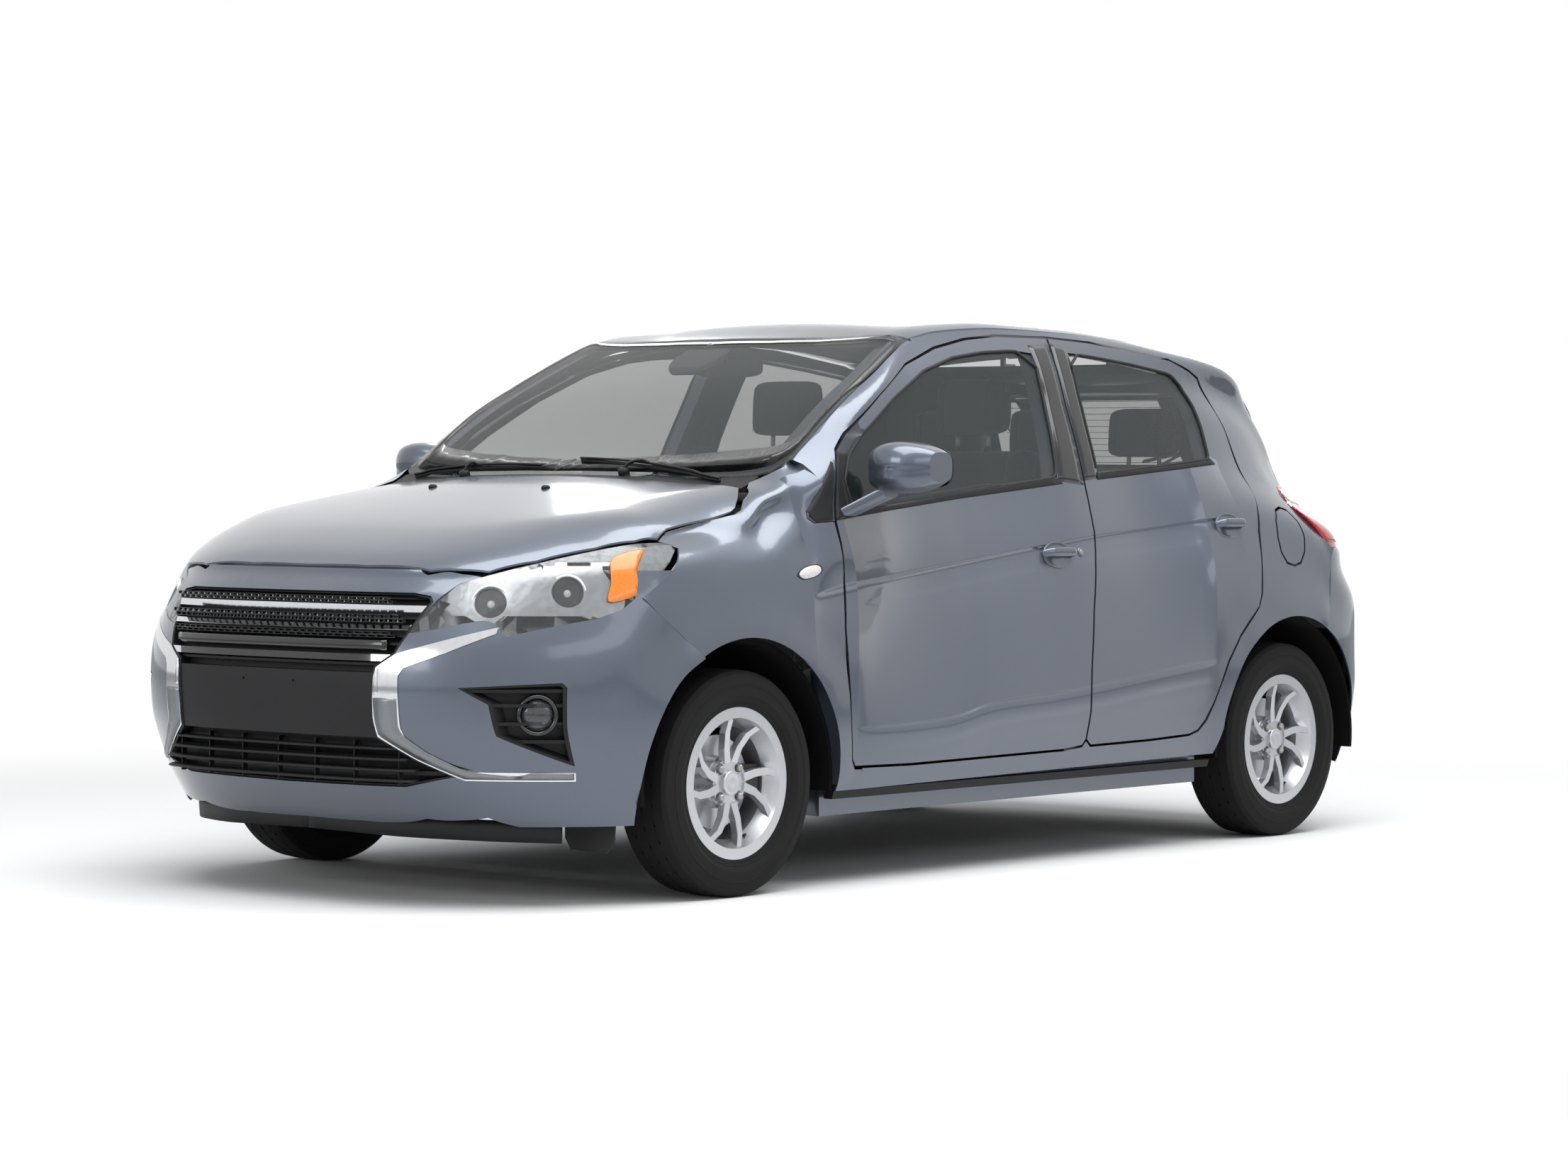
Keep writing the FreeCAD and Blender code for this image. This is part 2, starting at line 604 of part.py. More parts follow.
front_door_line = outline(FRONT_DOOR_SHARES)
rear_door_line = outline(REAR_DOOR_SHARES)
front_glass_line = outline(FRONT_GLASS_SHARES)
rear_glass_line = outline(REAR_GLASS_SHARES)
pillar_line = outline(CENTRE_PILLAR_SHARES)
fender_line = outline(FENDER_SHARES)
flap_line = outline(FUEL_FLAP_SHARES)
quarter_line = outline(BODY_SIDE_SHARES)
bonnet_line = mirrored(plan_outline(BONNET_SHARES))
screen_line = mirrored(plan_outline(WINDSCREEN_SHARES))
headlamp_line = end_outline(HEADLAMP_SHARES)
blade_line = end_outline(BLADE_SHARES)
fog_line = end_outline(FOG_SHARES)
grille_line = mirrored_end(end_outline(GRILLE_SHARES))
tailgate_half = end_outline(TAILGATE_SHARES)
tailgate_line = mirrored_end(tailgate_half + [(0, tailgate_half[-1][1])])
back_glass_line = mirrored_end(end_outline(REAR_GLASS_BACK_SHARES))
far_y = HALF_WIDTH + CUT_OVERRUN
high_z = HEIGHT + CUT_OVERRUN


def side_cut(line):
    return side_prism(line, 0, far_y)


def arch(x, inner_y, radius):
    """Cylinder across the left side round a wheel."""
    return Part.makeCylinder(radius, far_y - inner_y, V(x, inner_y, TYRE_RADIUS), AXIS_Y)


def hinge_mount(x, arm_length):
    """Two fixed door pins, each on an arm that reaches in and then forward to the pillar."""
    parts = []
    half = ARM_HEIGHT / 2
    for z in (HINGE_LOW_Z, HINGE_HIGH_Z):
        reach = KNUCKLE_LENGTH + half + ARM_CLEAR / 2
        parts.append(rod(V(x, HINGE_Y, z - reach), V(x, HINGE_Y, z + reach), PIN_RADIUS))
        parts.append(box(x - ARM_THICK / 2, x + ARM_THICK / 2, HINGE_Y - ARM_REACH, HINGE_Y - ARM_TIP,
                         z - half, z + half))
        parts.append(box(x - PIN_RADIUS, x + PIN_RADIUS, HINGE_Y - ARM_TIP * 2, HINGE_Y, z - half, z + half))
        inner = HINGE_Y - ARM_REACH
        parts.append(box(x - ARM_THICK / 2, x + arm_length, inner, inner + ARM_THICK, z - half, z + half))
    return joined(parts)


def hinge_pocket(x, front_x):
    """Room inside a door for the fixed pins, arms and knuckles."""
    parts = []
    half = ARM_HEIGHT / 2 + KNUCKLE_LENGTH + ARM_CLEAR
    side = ARM_THICK / 2 + ARM_CLEAR
    for z in (HINGE_LOW_Z, HINGE_HIGH_Z):
        parts.append(box(x - side, front_x, HINGE_Y - ARM_REACH - CUT_OVERRUN, HINGE_Y + KNUCKLE_RADIUS,
                         z - half, z + half))
    return parts[0].fuse(parts[1])


def pin_room(x):
    """Groove behind a door skin where the fixed pins stand."""
    parts = []
    reach = KNUCKLE_LENGTH + ARM_HEIGHT / 2 + ARM_CLEAR
    for z in (HINGE_LOW_Z, HINGE_HIGH_Z):
        parts.append(rod(V(x, HINGE_Y, z - reach), V(x, HINGE_Y, z + reach), PIN_RADIUS + SEAT_GAP))
        half = (ARM_HEIGHT + ARM_CLEAR / 2) / 2
        parts.append(box(x - ARM_THICK, x + ARM_THICK * 2, HINGE_Y - ARM_TIP * 2,
                         HINGE_Y + PIN_RADIUS + SEAT_GAP, z - half, z + half))
    return joined(parts)


def hinge_knuckles(x):
    """Knuckles above and below each arm, fixed to the door skin."""
    parts = []
    start = ARM_HEIGHT / 2 + ARM_CLEAR / 4
    for z in (HINGE_LOW_Z, HINGE_HIGH_Z):
        for low in (z + start, z - start - KNUCKLE_LENGTH):
            knuckle = Part.makeCylinder(KNUCKLE_RADIUS, KNUCKLE_LENGTH, V(x, HINGE_Y, low))
            leaf = box(x - KNUCKLE_RADIUS, x + KNUCKLE_RADIUS, HINGE_Y, HINGE_Y + KNUCKLE_RADIUS * 2, low,
                       low + KNUCKLE_LENGTH)
            bore = Part.makeCylinder(PIN_RADIUS + PIN_CLEAR, KNUCKLE_LENGTH, V(x, HINGE_Y, low))
            parts.append(knuckle.fuse(leaf).cut(bore))
    return parts


def door_and_glass(rows, line, glass_line, hinge_x, edge_x):
    """Door skin with its deeper inner part, window opening and hinge knuckles, and its pane."""
    skin = slab(rows, -AXIS_Y, 0, SKIN).common(side_cut(grown(line, -GAP / 2)))
    inner = slab(rows, -AXIS_Y, SKIN - PANEL_OVERLAP, SKIN + DOOR_DEPTH)
    inner = inner.common(side_cut(grown(line, -DOOR_INSET)))
    inner = inner.cut(side_cut(grown(pillar_line, PILLAR_CLEAR)))
    inner = inner.cut(hinge_pocket(hinge_x, edge_x))
    door = skin.fuse(inner).cut(side_cut(glass_line)).cut(pin_room(hinge_x))
    for knuckle in hinge_knuckles(hinge_x):
        inside = slab(rows, -AXIS_Y, SKIN / 2, SIDE_DEPTH)
        door = door.fuse(knuckle.common(inside))
    pane = slab(rows, -AXIS_Y, GLASS_INSET, GLASS_INSET + GLASS)
    pane = pane.common(side_cut(grown(glass_line, -SEAT_GAP)))
    return door, pane


# Grid limits of the side panels
SIDE_REAR = -1664.0
SIDE_FRONT = 829.0
SIDE_LOW = 234.0
FRONT_DOOR_REAR = -505.0
FRONT_DOOR_FRONT = 712.0
DOOR_LOW = 286.0
REAR_DOOR_REAR = -1312.0
REAR_DOOR_FRONT = -352.0
FENDER_REAR = 580.0
FENDER_FRONT = 1462.0

front_rows = side_rows(FRONT_DOOR_REAR, FRONT_DOOR_FRONT, DOOR_LOW, COLUMNS, ROWS)
rear_rows = side_rows(REAR_DOOR_REAR, REAR_DOOR_FRONT, DOOR_LOW, COLUMNS, ROWS)
whole_rows = side_rows(SIDE_REAR, SIDE_FRONT, SIDE_LOW, LONG_COLUMNS, ROWS)
fender_rows = side_rows(FENDER_REAR, FENDER_FRONT, SIDE_LOW, COLUMNS, ROWS)

door_fl, glass_fl = door_and_glass(front_rows, front_door_line, front_glass_line, FRONT_HINGE_X,
                                   FRONT_DOOR_FRONT)
save("door_front_left", door_fl)
save("glass_front_left", glass_fl)
save("door_front_right", other_side(door_fl))
save("glass_front_right", other_side(glass_fl))
door_rl, glass_rl = door_and_glass(rear_rows, rear_door_line, rear_glass_line, REAR_HINGE_X, REAR_DOOR_FRONT)
save("door_rear_left", door_rl)
save("glass_rear_left", glass_rl)
save("door_rear_right", other_side(door_rl))
save("glass_rear_right", other_side(glass_rl))


def top_half(x):
    return seam_half(x) + SEAM_OVERRUN


def seam_outline(x_low, x_high, count):
    return [(x, seam_half(x)) for x in between(x_high, x_low, count)]


# Windscreen and roof
SCREEN_REAR_X = 128.0
SCREEN_FRONT_X = 942.0
ROOF_LOW_X = -1342.0
ROOF_HIGH_X = 254.0
ROOF_CORNER_X = 90.0
TAIL_POST_X = -1300.0
TAIL_POST_Z = 1000.0
TAIL_FIRST = math.radians(95)
TAIL_CURVED_ROWS = 13
TAIL_FLAT_ROWS = 9
TAIL_FOOT_Z = 664.0
TAIL_HALF = 590.0
TAIL_TOP_HALF = 520.0
TAIL_HINGE_AHEAD = 25.0
TAIL_HINGE_DEPTH = 18.0
TAIL_HINGE_Y = 200.0
TAIL_ARM_DROP = 32.0
TAIL_ARM_LENGTH = 52.0
TAIL_ARM_THICK = 8.0
TAIL_ARM_WIDTH = 16.0
TAIL_PIN_LENGTH = 44.0
TAIL_POCKET_REAR = 30.0
TAIL_POCKET_FRONT = 14.0
TAIL_POCKET_ABOVE = 10.0
SPOILER_ROOT_X = -1500.0
PLATE_HOLE_Y = 89.0
PLATE_HOLE_RADIUS = 3.0
REAR_PLATE_HOLE_Z = 900.0
FRONT_PLATE_HOLE_Z = 545.0

screen_rows = top_rows(SCREEN_REAR_X, SCREEN_FRONT_X, top_half, COLUMNS, ROWS)
windscreen = slab(screen_rows, -AXIS_Z, 0, SCREEN_THICK)
windscreen = windscreen.common(plan_prism(grown(screen_line, -SEAT_GAP), 0, high_z))
save("windscreen", windscreen)
screen_cover = slab(screen_rows, -AXIS_Z, SCREEN_CLEAR, -SCREEN_COVER)

tail_hinge_x = ROOF_REAR - GAP + TAIL_HINGE_AHEAD
tail_hinge_z = top_point(tail_hinge_x, 0).z - TAIL_HINGE_DEPTH
roof_rows = top_rows(ROOF_LOW_X, ROOF_HIGH_X, top_half, COLUMNS, ROWS)
roof_edge = plan_outline(ROOF_FRONT_SHARES) + seam_outline(ROOF_REAR, ROOF_CORNER_X, LONG_COLUMNS)
roof_line = mirrored(roof_edge + [(ROOF_REAR, 0)])
roof = slab(roof_rows, -AXIS_Z, 0, ROOF_THICK).common(plan_prism(grown(roof_line, -SEAT_GAP), 0, high_z))
tail_arms = []
for y in (TAIL_HINGE_Y, -TAIL_HINGE_Y):
    half = TAIL_ARM_WIDTH / 2 + ARM_CLEAR / 4
    low_y = y - half
    high_y = y + half
    pocket = box(tail_hinge_x - TAIL_POCKET_REAR, tail_hinge_x + TAIL_POCKET_FRONT, low_y, high_y,
                 tail_hinge_z - CUT_OVERRUN, tail_hinge_z + TAIL_POCKET_ABOVE)
    pin = rod(V(tail_hinge_x, y - TAIL_PIN_LENGTH / 2, tail_hinge_z),
              V(tail_hinge_x, y + TAIL_PIN_LENGTH / 2, tail_hinge_z), PIN_RADIUS)
    roof = roof.cut(pocket).fuse(pin)
    low_y = y - TAIL_ARM_WIDTH / 2
    high_y = y + TAIL_ARM_WIDTH / 2
    half = TAIL_ARM_THICK / 2
    knuckle = rod(V(tail_hinge_x, low_y, tail_hinge_z), V(tail_hinge_x, high_y, tail_hinge_z), KNUCKLE_RADIUS)
    drop = box(tail_hinge_x - half, tail_hinge_x + half, low_y, high_y, tail_hinge_z - TAIL_ARM_DROP - half,
               tail_hinge_z)
    reach = box(tail_hinge_x - TAIL_ARM_LENGTH, tail_hinge_x + half, low_y, high_y,
                tail_hinge_z - TAIL_ARM_DROP - half, tail_hinge_z - TAIL_ARM_DROP + half)
    bore = rod(V(tail_hinge_x, low_y, tail_hinge_z), V(tail_hinge_x, high_y, tail_hinge_z),
               PIN_RADIUS + PIN_CLEAR)
    tail_arms.append(joined([knuckle, drop, reach]).cut(bore))
save("roof", roof)


def tail_rows():
    """Rows of points from the roof's rear edge round the tail and down past the tailgate."""
    result = []
    for angle in between(TAIL_FIRST, math.pi, TAIL_CURVED_ROWS):
        way = V(math.cos(angle), 0, math.sin(angle))
        half = TAIL_TOP_HALF + (TAIL_HALF - TAIL_TOP_HALF) * ease(TAIL_FIRST, math.pi, angle)
        result.append([surface_point(V(TAIL_POST_X, y, TAIL_POST_Z), way) for y in between(-half, half,
                ROWS)])
    for z in between(TAIL_POST_Z, TAIL_FOOT_Z, TAIL_FLAT_ROWS)[1:]:
        result.append([surface_point(V(TAIL_POST_X, y, z), -AXIS_X) for y in between(-TAIL_HALF, TAIL_HALF,
                ROWS)])
    return result


# Tailgate, made from the roof's rear edge down to the bumper
gate_rows = tail_rows()
gate_way = V(math.cos(math.radians(-35)), 0, math.sin(math.radians(-35)))
gate_block = slab(gate_rows, gate_way, 0, TAILGATE_THICK)
gate_limit = end_prism(grown(tailgate_line, -GAP), -LENGTH / 2 - CUT_OVERRUN, ROOF_REAR - GAP)
gate = gate_block.common(gate_limit)
glass_cut = end_prism(back_glass_line, -LENGTH / 2 - CUT_OVERRUN, SPOILER_ROOT_X)
back_glass = slab(gate_rows, gate_way, GLASS_INSET / 2, GLASS_INSET / 2 + GLASS)
back_glass = back_glass.common(end_prism(grown(back_glass_line, -SEAT_GAP), -LENGTH / 2, SPOILER_ROOT_X))
gate = gate.cut(glass_cut)
for arm in tail_arms:
    gate = gate.fuse(arm)
for y in (-PLATE_HOLE_Y, PLATE_HOLE_Y):
    gate = gate.cut(rod(V(-LENGTH / 2, y, REAR_PLATE_HOLE_Z), V(TAIL_POST_X, y, REAR_PLATE_HOLE_Z),
                        PLATE_HOLE_RADIUS))
save("tailgate", gate)
save("tailgate_glass", back_glass)


# Sides of the body shell
FRONT_LIMIT_X = 900.0
SILL_REAR = -985.0
SILL_FRONT = 700.0

roof_side_cut = plan_prism(grown(roof_line, SEAT_GAP), ROOF_UNDER, high_z)
rear_part = [(ROOF_REAR - GAP, -WIDTH), (ROOF_REAR - GAP, WIDTH), (ROOF_STEP_X, WIDTH), (ROOF_STEP_X, -WIDTH)]
roof_side_cut = roof_side_cut.fuse(plan_prism(grown(roof_line, SEAT_GAP), ROOF_UNDER_REAR,
                                              high_z).common(plan_prism(rear_part, 0, high_z)))
side_line = quarter_line + [(SIDE_REAR - CUT_OVERRUN, high_z), (FRONT_LIMIT_X,
        high_z)] + outline(BODY_SIDE_FRONT_SHARES)
side = slab(whole_rows, -AXIS_Y, 0, SIDE_DEPTH).common(side_cut(side_line))
for line in (front_door_line, rear_door_line):
    side = side.cut(side_cut(grown(line, GAP / 2)))
side = side.cut(arch(REAR_AXLE, 0, ARCH_RADIUS))
side = side.cut(roof_side_cut)
side = side.cut(screen_cover)
tail_clear = end_prism(grown(tailgate_line, -SEAT_GAP), -LENGTH, ROOF_REAR - GAP)
side = side.cut(tail_clear)
pillar = slab(whole_rows, -AXIS_Y, PILLAR_START, PILLAR_END).common(side_cut(pillar_line))
hinge_post = slab(side_rows(FENDER_REAR, SIDE_FRONT, SIDE_LOW, COLUMNS, ROWS), -AXIS_Y, SKIN + SEAT_GAP,
                  PILLAR_END)
hinge_post = hinge_post.common(side_cut(outline(HINGE_PILLAR_SHARES)))
sill = box(SILL_REAR, SILL_FRONT, SILL_INNER, SILL_OUTER, SILL_BOTTOM, SILL_TOP)
side = side.fuse(pillar).fuse(hinge_post).fuse(sill)
side = side.cut(arch(FRONT_AXLE, 0, ARCH_RADIUS)).cut(arch(REAR_AXLE, 0, ARCH_RADIUS))
for hinge_x, arm_length in ((FRONT_HINGE_X, FRONT_ARM_LENGTH), (REAR_HINGE_X, REAR_ARM_LENGTH)):
    side = side.fuse(hinge_mount(hinge_x, arm_length))

# Fuel filler pocket, its cap and its flap
flap_x = FLAP_EDGE_X + FLAP_HINGE_AHEAD
flap_y = side_point(flap_x, FLAP_HEIGHT_Z).y - FLAP_HINGE_DEPTH
hole = slab(whole_rows, -AXIS_Y, -SKIN, POCKET_DEPTH).common(side_cut(grown(flap_line, GAP / 2)))
arm_room = box(flap_x - FLAP_ARM_LENGTH, flap_x + ARM_CLEAR + FLAP_ARM_THICK,
               flap_y - POCKET_DEPTH + FLAP_HINGE_DEPTH,
               flap_y + FLAP_HINGE_DEPTH - SKIN, FLAP_HEIGHT_Z - FLAP_ARM_HEIGHT, FLAP_HEIGHT_Z + FLAP_ARM_HEIGHT)
pin = Part.makeCylinder(FLAP_PIN_RADIUS, FLAP_PIN_LENGTH, V(flap_x, flap_y,
        FLAP_HEIGHT_Z - FLAP_PIN_LENGTH / 2))
cap_y = side_point(FLAP_EDGE_X - CAP_RADIUS * 3, FLAP_HEIGHT_Z).y - POCKET_DEPTH - LAP
cap = Part.makeCylinder(CAP_RADIUS, CAP_HEIGHT, V(FLAP_EDGE_X - CAP_RADIUS * 3, cap_y, FLAP_HEIGHT_Z), AXIS_Y)
side = side.cut(hole).cut(arm_room).fuse(pin).fuse(cap)
side = largest(side.cut(roof_side_cut))
save("side_frame_left", side)
save("side_frame_right", other_side(side))
flap = slab(whole_rows, -AXIS_Y, 0, SKIN).common(side_cut(grown(flap_line, -GAP / 2)))
half = FLAP_ARM_HEIGHT / 2
thick = FLAP_ARM_THICK / 2
knuckle = Part.makeCylinder(FLAP_PIN_RADIUS * 2, FLAP_ARM_HEIGHT, V(flap_x, flap_y, FLAP_HEIGHT_Z - half))
drop = box(flap_x - thick, flap_x + thick, flap_y - FLAP_ARM_DROP, flap_y, FLAP_HEIGHT_Z - half,
           FLAP_HEIGHT_Z + half)
reach = box(flap_x - FLAP_ARM_LENGTH, flap_x + thick, flap_y - FLAP_ARM_DROP,
            flap_y - FLAP_ARM_DROP + FLAP_ARM_THICK,
            FLAP_HEIGHT_Z - half, FLAP_HEIGHT_Z + half)
rise = box(flap_x - FLAP_ARM_LENGTH, flap_x - FLAP_ARM_LENGTH + FLAP_ARM_THICK, flap_y - FLAP_ARM_DROP,
           flap_y + FLAP_HINGE_DEPTH - SKIN + LAP,
           FLAP_HEIGHT_Z - half, FLAP_HEIGHT_Z + half)
bore = Part.makeCylinder(FLAP_PIN_RADIUS + PIN_CLEAR, FLAP_ARM_HEIGHT,
                         V(flap_x, flap_y, FLAP_HEIGHT_Z - half))
flap = flap.fuse(joined([knuckle, drop, reach, rise]).cut(bore))
save("fuel_flap", flap)

# Front fenders
fender = slab(fender_rows, -AXIS_Y, 0, SKIN).common(side_cut(fender_line))
fender = fender.cut(side_cut(grown(front_door_line, GAP / 2))).cut(arch(FRONT_AXLE, 0, ARCH_RADIUS))
fender = largest(fender.cut(side).cut(screen_cover))
save("front_fender_left", fender)
save("front_fender_right", other_side(fender))

# Bonnet and cowl
BONNET_REAR_X = 850.0
BONNET_FRONT_X = 1795.0
BONNET_POST_Z = 600.0
BONNET_ANGLE = math.radians(73)
BONNET_GAP_SHARE = 0.7
BONNET_HINGE_X = 852.0
BONNET_HINGE_Y = 560.0
BONNET_EDGE_X = 894.0
BONNET_EDGE_Y = 641.0
BONNET_HINGE_DEPTH = 20.0
BONNET_ARM_DROP = 35.0
BONNET_ARM_AHEAD = 112.0
BONNET_ARM_THICK = 8.0
BONNET_ARM_WIDTH = 10.0
BONNET_LUG_WIDTH = 8.0
BONNET_LUG_HALF = 10.0
COWL_SLOT_AHEAD = 45.0
COWL_START = 4.0
COWL_END = 12.0
BULKHEAD_TOP = 930.0
BULKHEAD_HALF = 600.0
BULKHEAD_REAR = 850.0
BONNET_MIDDLE_X = 1360.0
UNDER_SHARE = 0.95
bonnet_rows = []
for x in between(BONNET_REAR_X, BONNET_FRONT_X, COLUMNS + 4):
    row = []
    for angle in between(-BONNET_ANGLE, BONNET_ANGLE, LONG_COLUMNS):
        row.append(surface_point(V(x, 0, BONNET_POST_Z), V(0, math.sin(angle), math.cos(angle))))
    bonnet_rows.append(row)
BONNET_GAP = GAP * BONNET_GAP_SHARE
bonnet = slab(bonnet_rows, -AXIS_Z, 0, SKIN).common(plan_prism(grown(bonnet_line, -BONNET_GAP), 0, high_z))
under = slab(bonnet_rows, -AXIS_Z, SKIN - PANEL_OVERLAP, BONNET_THICK)
under_line = [(BONNET_MIDDLE_X + (x - BONNET_MIDDLE_X) * UNDER_SHARE, y * UNDER_SHARE) for x,
              y in bonnet_line]
under = under.common(plan_prism(under_line, 0, high_z))
bonnet = bonnet.fuse(under)
bonnet_hinge_z = top_point(BONNET_EDGE_X, BONNET_EDGE_Y).z - BONNET_HINGE_DEPTH
lugs = []
for side_sign in (1, -1):
    middle = side_sign * BONNET_HINGE_Y
    low_y = middle - BONNET_ARM_WIDTH / 2
    high_y = middle + BONNET_ARM_WIDTH / 2
    half = BONNET_ARM_THICK / 2
    x = BONNET_HINGE_X
    z = bonnet_hinge_z
    knuckle = rod(V(x, low_y, z), V(x, high_y, z), KNUCKLE_RADIUS)
    drop = box(x - half, x + half, low_y, high_y, z - BONNET_ARM_DROP - half, z)
    reach = box(x - half, x + BONNET_ARM_AHEAD, low_y, high_y, z - BONNET_ARM_DROP - half,
                z - BONNET_ARM_DROP + half)
    top = box(x + BONNET_ARM_AHEAD - BONNET_ARM_THICK, x + BONNET_ARM_AHEAD, low_y, high_y,
              z - BONNET_ARM_DROP, z + BONNET_HINGE_DEPTH)
    inside = slab(bonnet_rows, -AXIS_Z, SKIN / 2, BONNET_THICK + BONNET_ARM_DROP + CUT_OVERRUN)
    top = top.common(inside)
    bore = rod(V(x, low_y, z), V(x, high_y, z), PIN_RADIUS + PIN_CLEAR)
    bonnet = bonnet.fuse(joined([knuckle, drop, reach]).cut(bore)).fuse(top)
    pin_half = BONNET_ARM_WIDTH / 2 + BONNET_LUG_WIDTH + LAP
    lugs.append(rod(V(x, middle - pin_half, z), V(x, middle + pin_half, z), PIN_RADIUS))
    for low in (middle - pin_half, middle + pin_half - BONNET_LUG_WIDTH):
        lugs.append(box(x - BONNET_LUG_HALF, x + BONNET_LUG_HALF, low, low + BONNET_LUG_WIDTH, BULKHEAD_TOP,
                        z + BONNET_LUG_HALF))
save("bonnet", bonnet)

COWL_AHEAD = 150.0
cowl_rows = top_rows(BONNET_HINGE_X - CUT_OVERRUN / 2, BONNET_REAR_X + COWL_AHEAD, top_half, COLUMNS, ROWS)
cowl = slab(cowl_rows, -AXIS_Z, COWL_START, COWL_END)
cowl_line = [(x, y) for x, y in plan_outline(BONNET_SHARES)[:5]]
cowl_back = [(x, y) for x, y in plan_outline(WINDSCREEN_SHARES)[:6]]
cowl_half = cowl_line + [(824.0, 640.0), (800.0, 655.0)] + [cowl_back[5]] + list(reversed(cowl_back[:5]))
cowl_shape = mirrored([p for p in cowl_half])
cowl = cowl.common(plan_prism(grown(cowl_shape, -SEAT_GAP), 0, high_z))
for middle in (BONNET_HINGE_Y, -BONNET_HINGE_Y):
    slot_half = BONNET_ARM_WIDTH / 2 + ARM_CLEAR
    cowl = cowl.cut(box(BONNET_HINGE_X + COWL_SLOT_AHEAD, BONNET_FRONT_X, middle - slot_half,
                        middle + slot_half, 0, high_z))
save("cowl_panel", cowl)


# Front and rear ends
NOSE_POST_X = 900.0
TAIL_END_POST_X = -900.0
NOSE_ANGLE = math.radians(70)
TAIL_ANGLE = math.radians(64)
BUMPER_LOW = 199.0
BUMPER_HIGH = 818.0
REAR_BUMPER_HIGH = 846.0
GRILLE_ANGLE = math.radians(34)
GRILLE_LOW = 270.0
GRILLE_HIGH = 790.0
GRILLE_DEEP = 34.0
GRILLE_BACK = 4.0
GRILLE_RIM = 6.0
BAR_PROUD = 1.0
BLADE_PROUD = 2.0
BLADE_DEPTH = 12.0
UPPER_BAR_Z = 725.0
UPPER_BAR_HALF = 8.0
LOWER_BAR_Z = 681.0
LOWER_BAR_HALF = 6.0
GREY_BAR_Z = 608.0
GREY_BAR_HALF = 8.0
MESH_BARS_Z = (750.0, 703.0, 660.0, 641.0, 592.0)
MESH_BAR_HALF = 3.0
MESH_BAR_DEEP = 12.0
PLATE_LOW = 415.0
PLATE_HIGH = 572.0
PLATE_HALF = 349.0
PLATE_SINK = 3.0
LOW_BARS_Z = (365.0, 330.0)
LOW_BAR_HALF = 5.0
LAMP_FIRST = math.radians(21)
LAMP_LAST = math.radians(66)
LAMP_LOW = 655.0
LAMP_HIGH = 893.0
LENS_THICK = 4.0
LAMP_DEEP = 62.0
LAMP_WAY = math.radians(42)
BOWL_RADIUS = 40.0
LOW_BOWL = (1729.0, 574.0, 737.0)
HIGH_BOWL = (1591.0, 695.0, 763.0)
BOWL_SINK = 14.0
FOG_FIRST = math.radians(28)
FOG_LAST = math.radians(56)
FOG_LOW = 330.0
FOG_HIGH = 570.0
FOG_DEEP = 26.0
FOG_WALL = 5.0
FINGERS_Z = (532.0, 497.0, 453.0, 410.0)
FINGER_HALF = 4.0
TAIL_LAMP_LOW = 847.0
TAIL_LAMP_HIGH = 1030.0
TAIL_LAMP_DEEP = 52.0
TAIL_FIRST_ANGLE = math.radians(32)
TAIL_LAST_ANGLE = math.radians(56)

nose_rows = wrap_rows(NOSE_POST_X, True, -NOSE_ANGLE, NOSE_ANGLE, BUMPER_LOW, BUMPER_HIGH, LONG_COLUMNS,
                      COLUMNS)
nose_inner = wrap_rows(NOSE_POST_X, True, -NOSE_ANGLE, NOSE_ANGLE, BUMPER_LOW, BUMPER_HIGH, LONG_COLUMNS,
                       COLUMNS, BUMPER_WALL)
bumper = shell_block(nose_rows, nose_inner)
front_x = LENGTH / 2 + CUT_OVERRUN
for line in (headlamp_line, blade_line, fog_line):
    cutter = end_prism(grown(line, SEAT_GAP), NOSE_POST_X, front_x)
    bumper = bumper.cut(cutter).cut(other_side(cutter))
bumper = bumper.cut(end_prism(grown(grille_line, SEAT_GAP), NOSE_POST_X, front_x))
bumper = bumper.cut(plan_prism(bonnet_line, 0, high_z))
fender_cut = side_prism(grown(fender_line, SEAT_GAP), -far_y, far_y)
bumper = bumper.cut(fender_cut)
for x, y0 in ((FRONT_AXLE, 0),):
    bumper = bumper.cut(Part.makeCylinder(ARCH_RADIUS, 2 * far_y, V(x, -far_y, TYRE_RADIUS), AXIS_Y))
SLIVER = 1000.0
save("front_bumper", Part.makeCompound([solid for solid in bumper.Solids if solid.Volume > SLIVER]))

# Grille, plate panel and trim
grille_rows = wrap_rows(NOSE_POST_X, True, -GRILLE_ANGLE, GRILLE_ANGLE, GRILLE_LOW, GRILLE_HIGH, COLUMNS,
                        COLUMNS)
grille_prism = end_prism(grown(grille_line, -SEAT_GAP), NOSE_POST_X, front_x)
grille_hole = end_prism(grown(grille_line, -GRILLE_RIM), NOSE_POST_X, front_x)
rim = slab(grille_rows, -AXIS_X, LAP, GRILLE_DEEP + GRILLE_BACK).common(grille_prism).cut(grille_hole)
back = slab(grille_rows, -AXIS_X, GRILLE_DEEP, GRILLE_DEEP + GRILLE_BACK).common(grille_prism)
bars = slab(grille_rows, -AXIS_X, MESH_BAR_DEEP, GRILLE_DEEP).common(grille_hole)
pieces = []
for z in MESH_BARS_Z:
    pieces.append(bars.common(box(0, front_x, -far_y, far_y, z - MESH_BAR_HALF, z + MESH_BAR_HALF)))
for z in LOW_BARS_Z:
    pieces.append(bars.common(box(0, front_x, -far_y, far_y, z - LOW_BAR_HALF, z + LOW_BAR_HALF)))
plate = slab(grille_rows, -AXIS_X, PLATE_SINK, GRILLE_DEEP).common(box(0, front_x, -PLATE_HALF, PLATE_HALF,
        PLATE_LOW, PLATE_HIGH)).common(grille_hole)
grille = rim.fuse(back)
for piece in pieces + [plate]:
    grille = grille.fuse(piece)
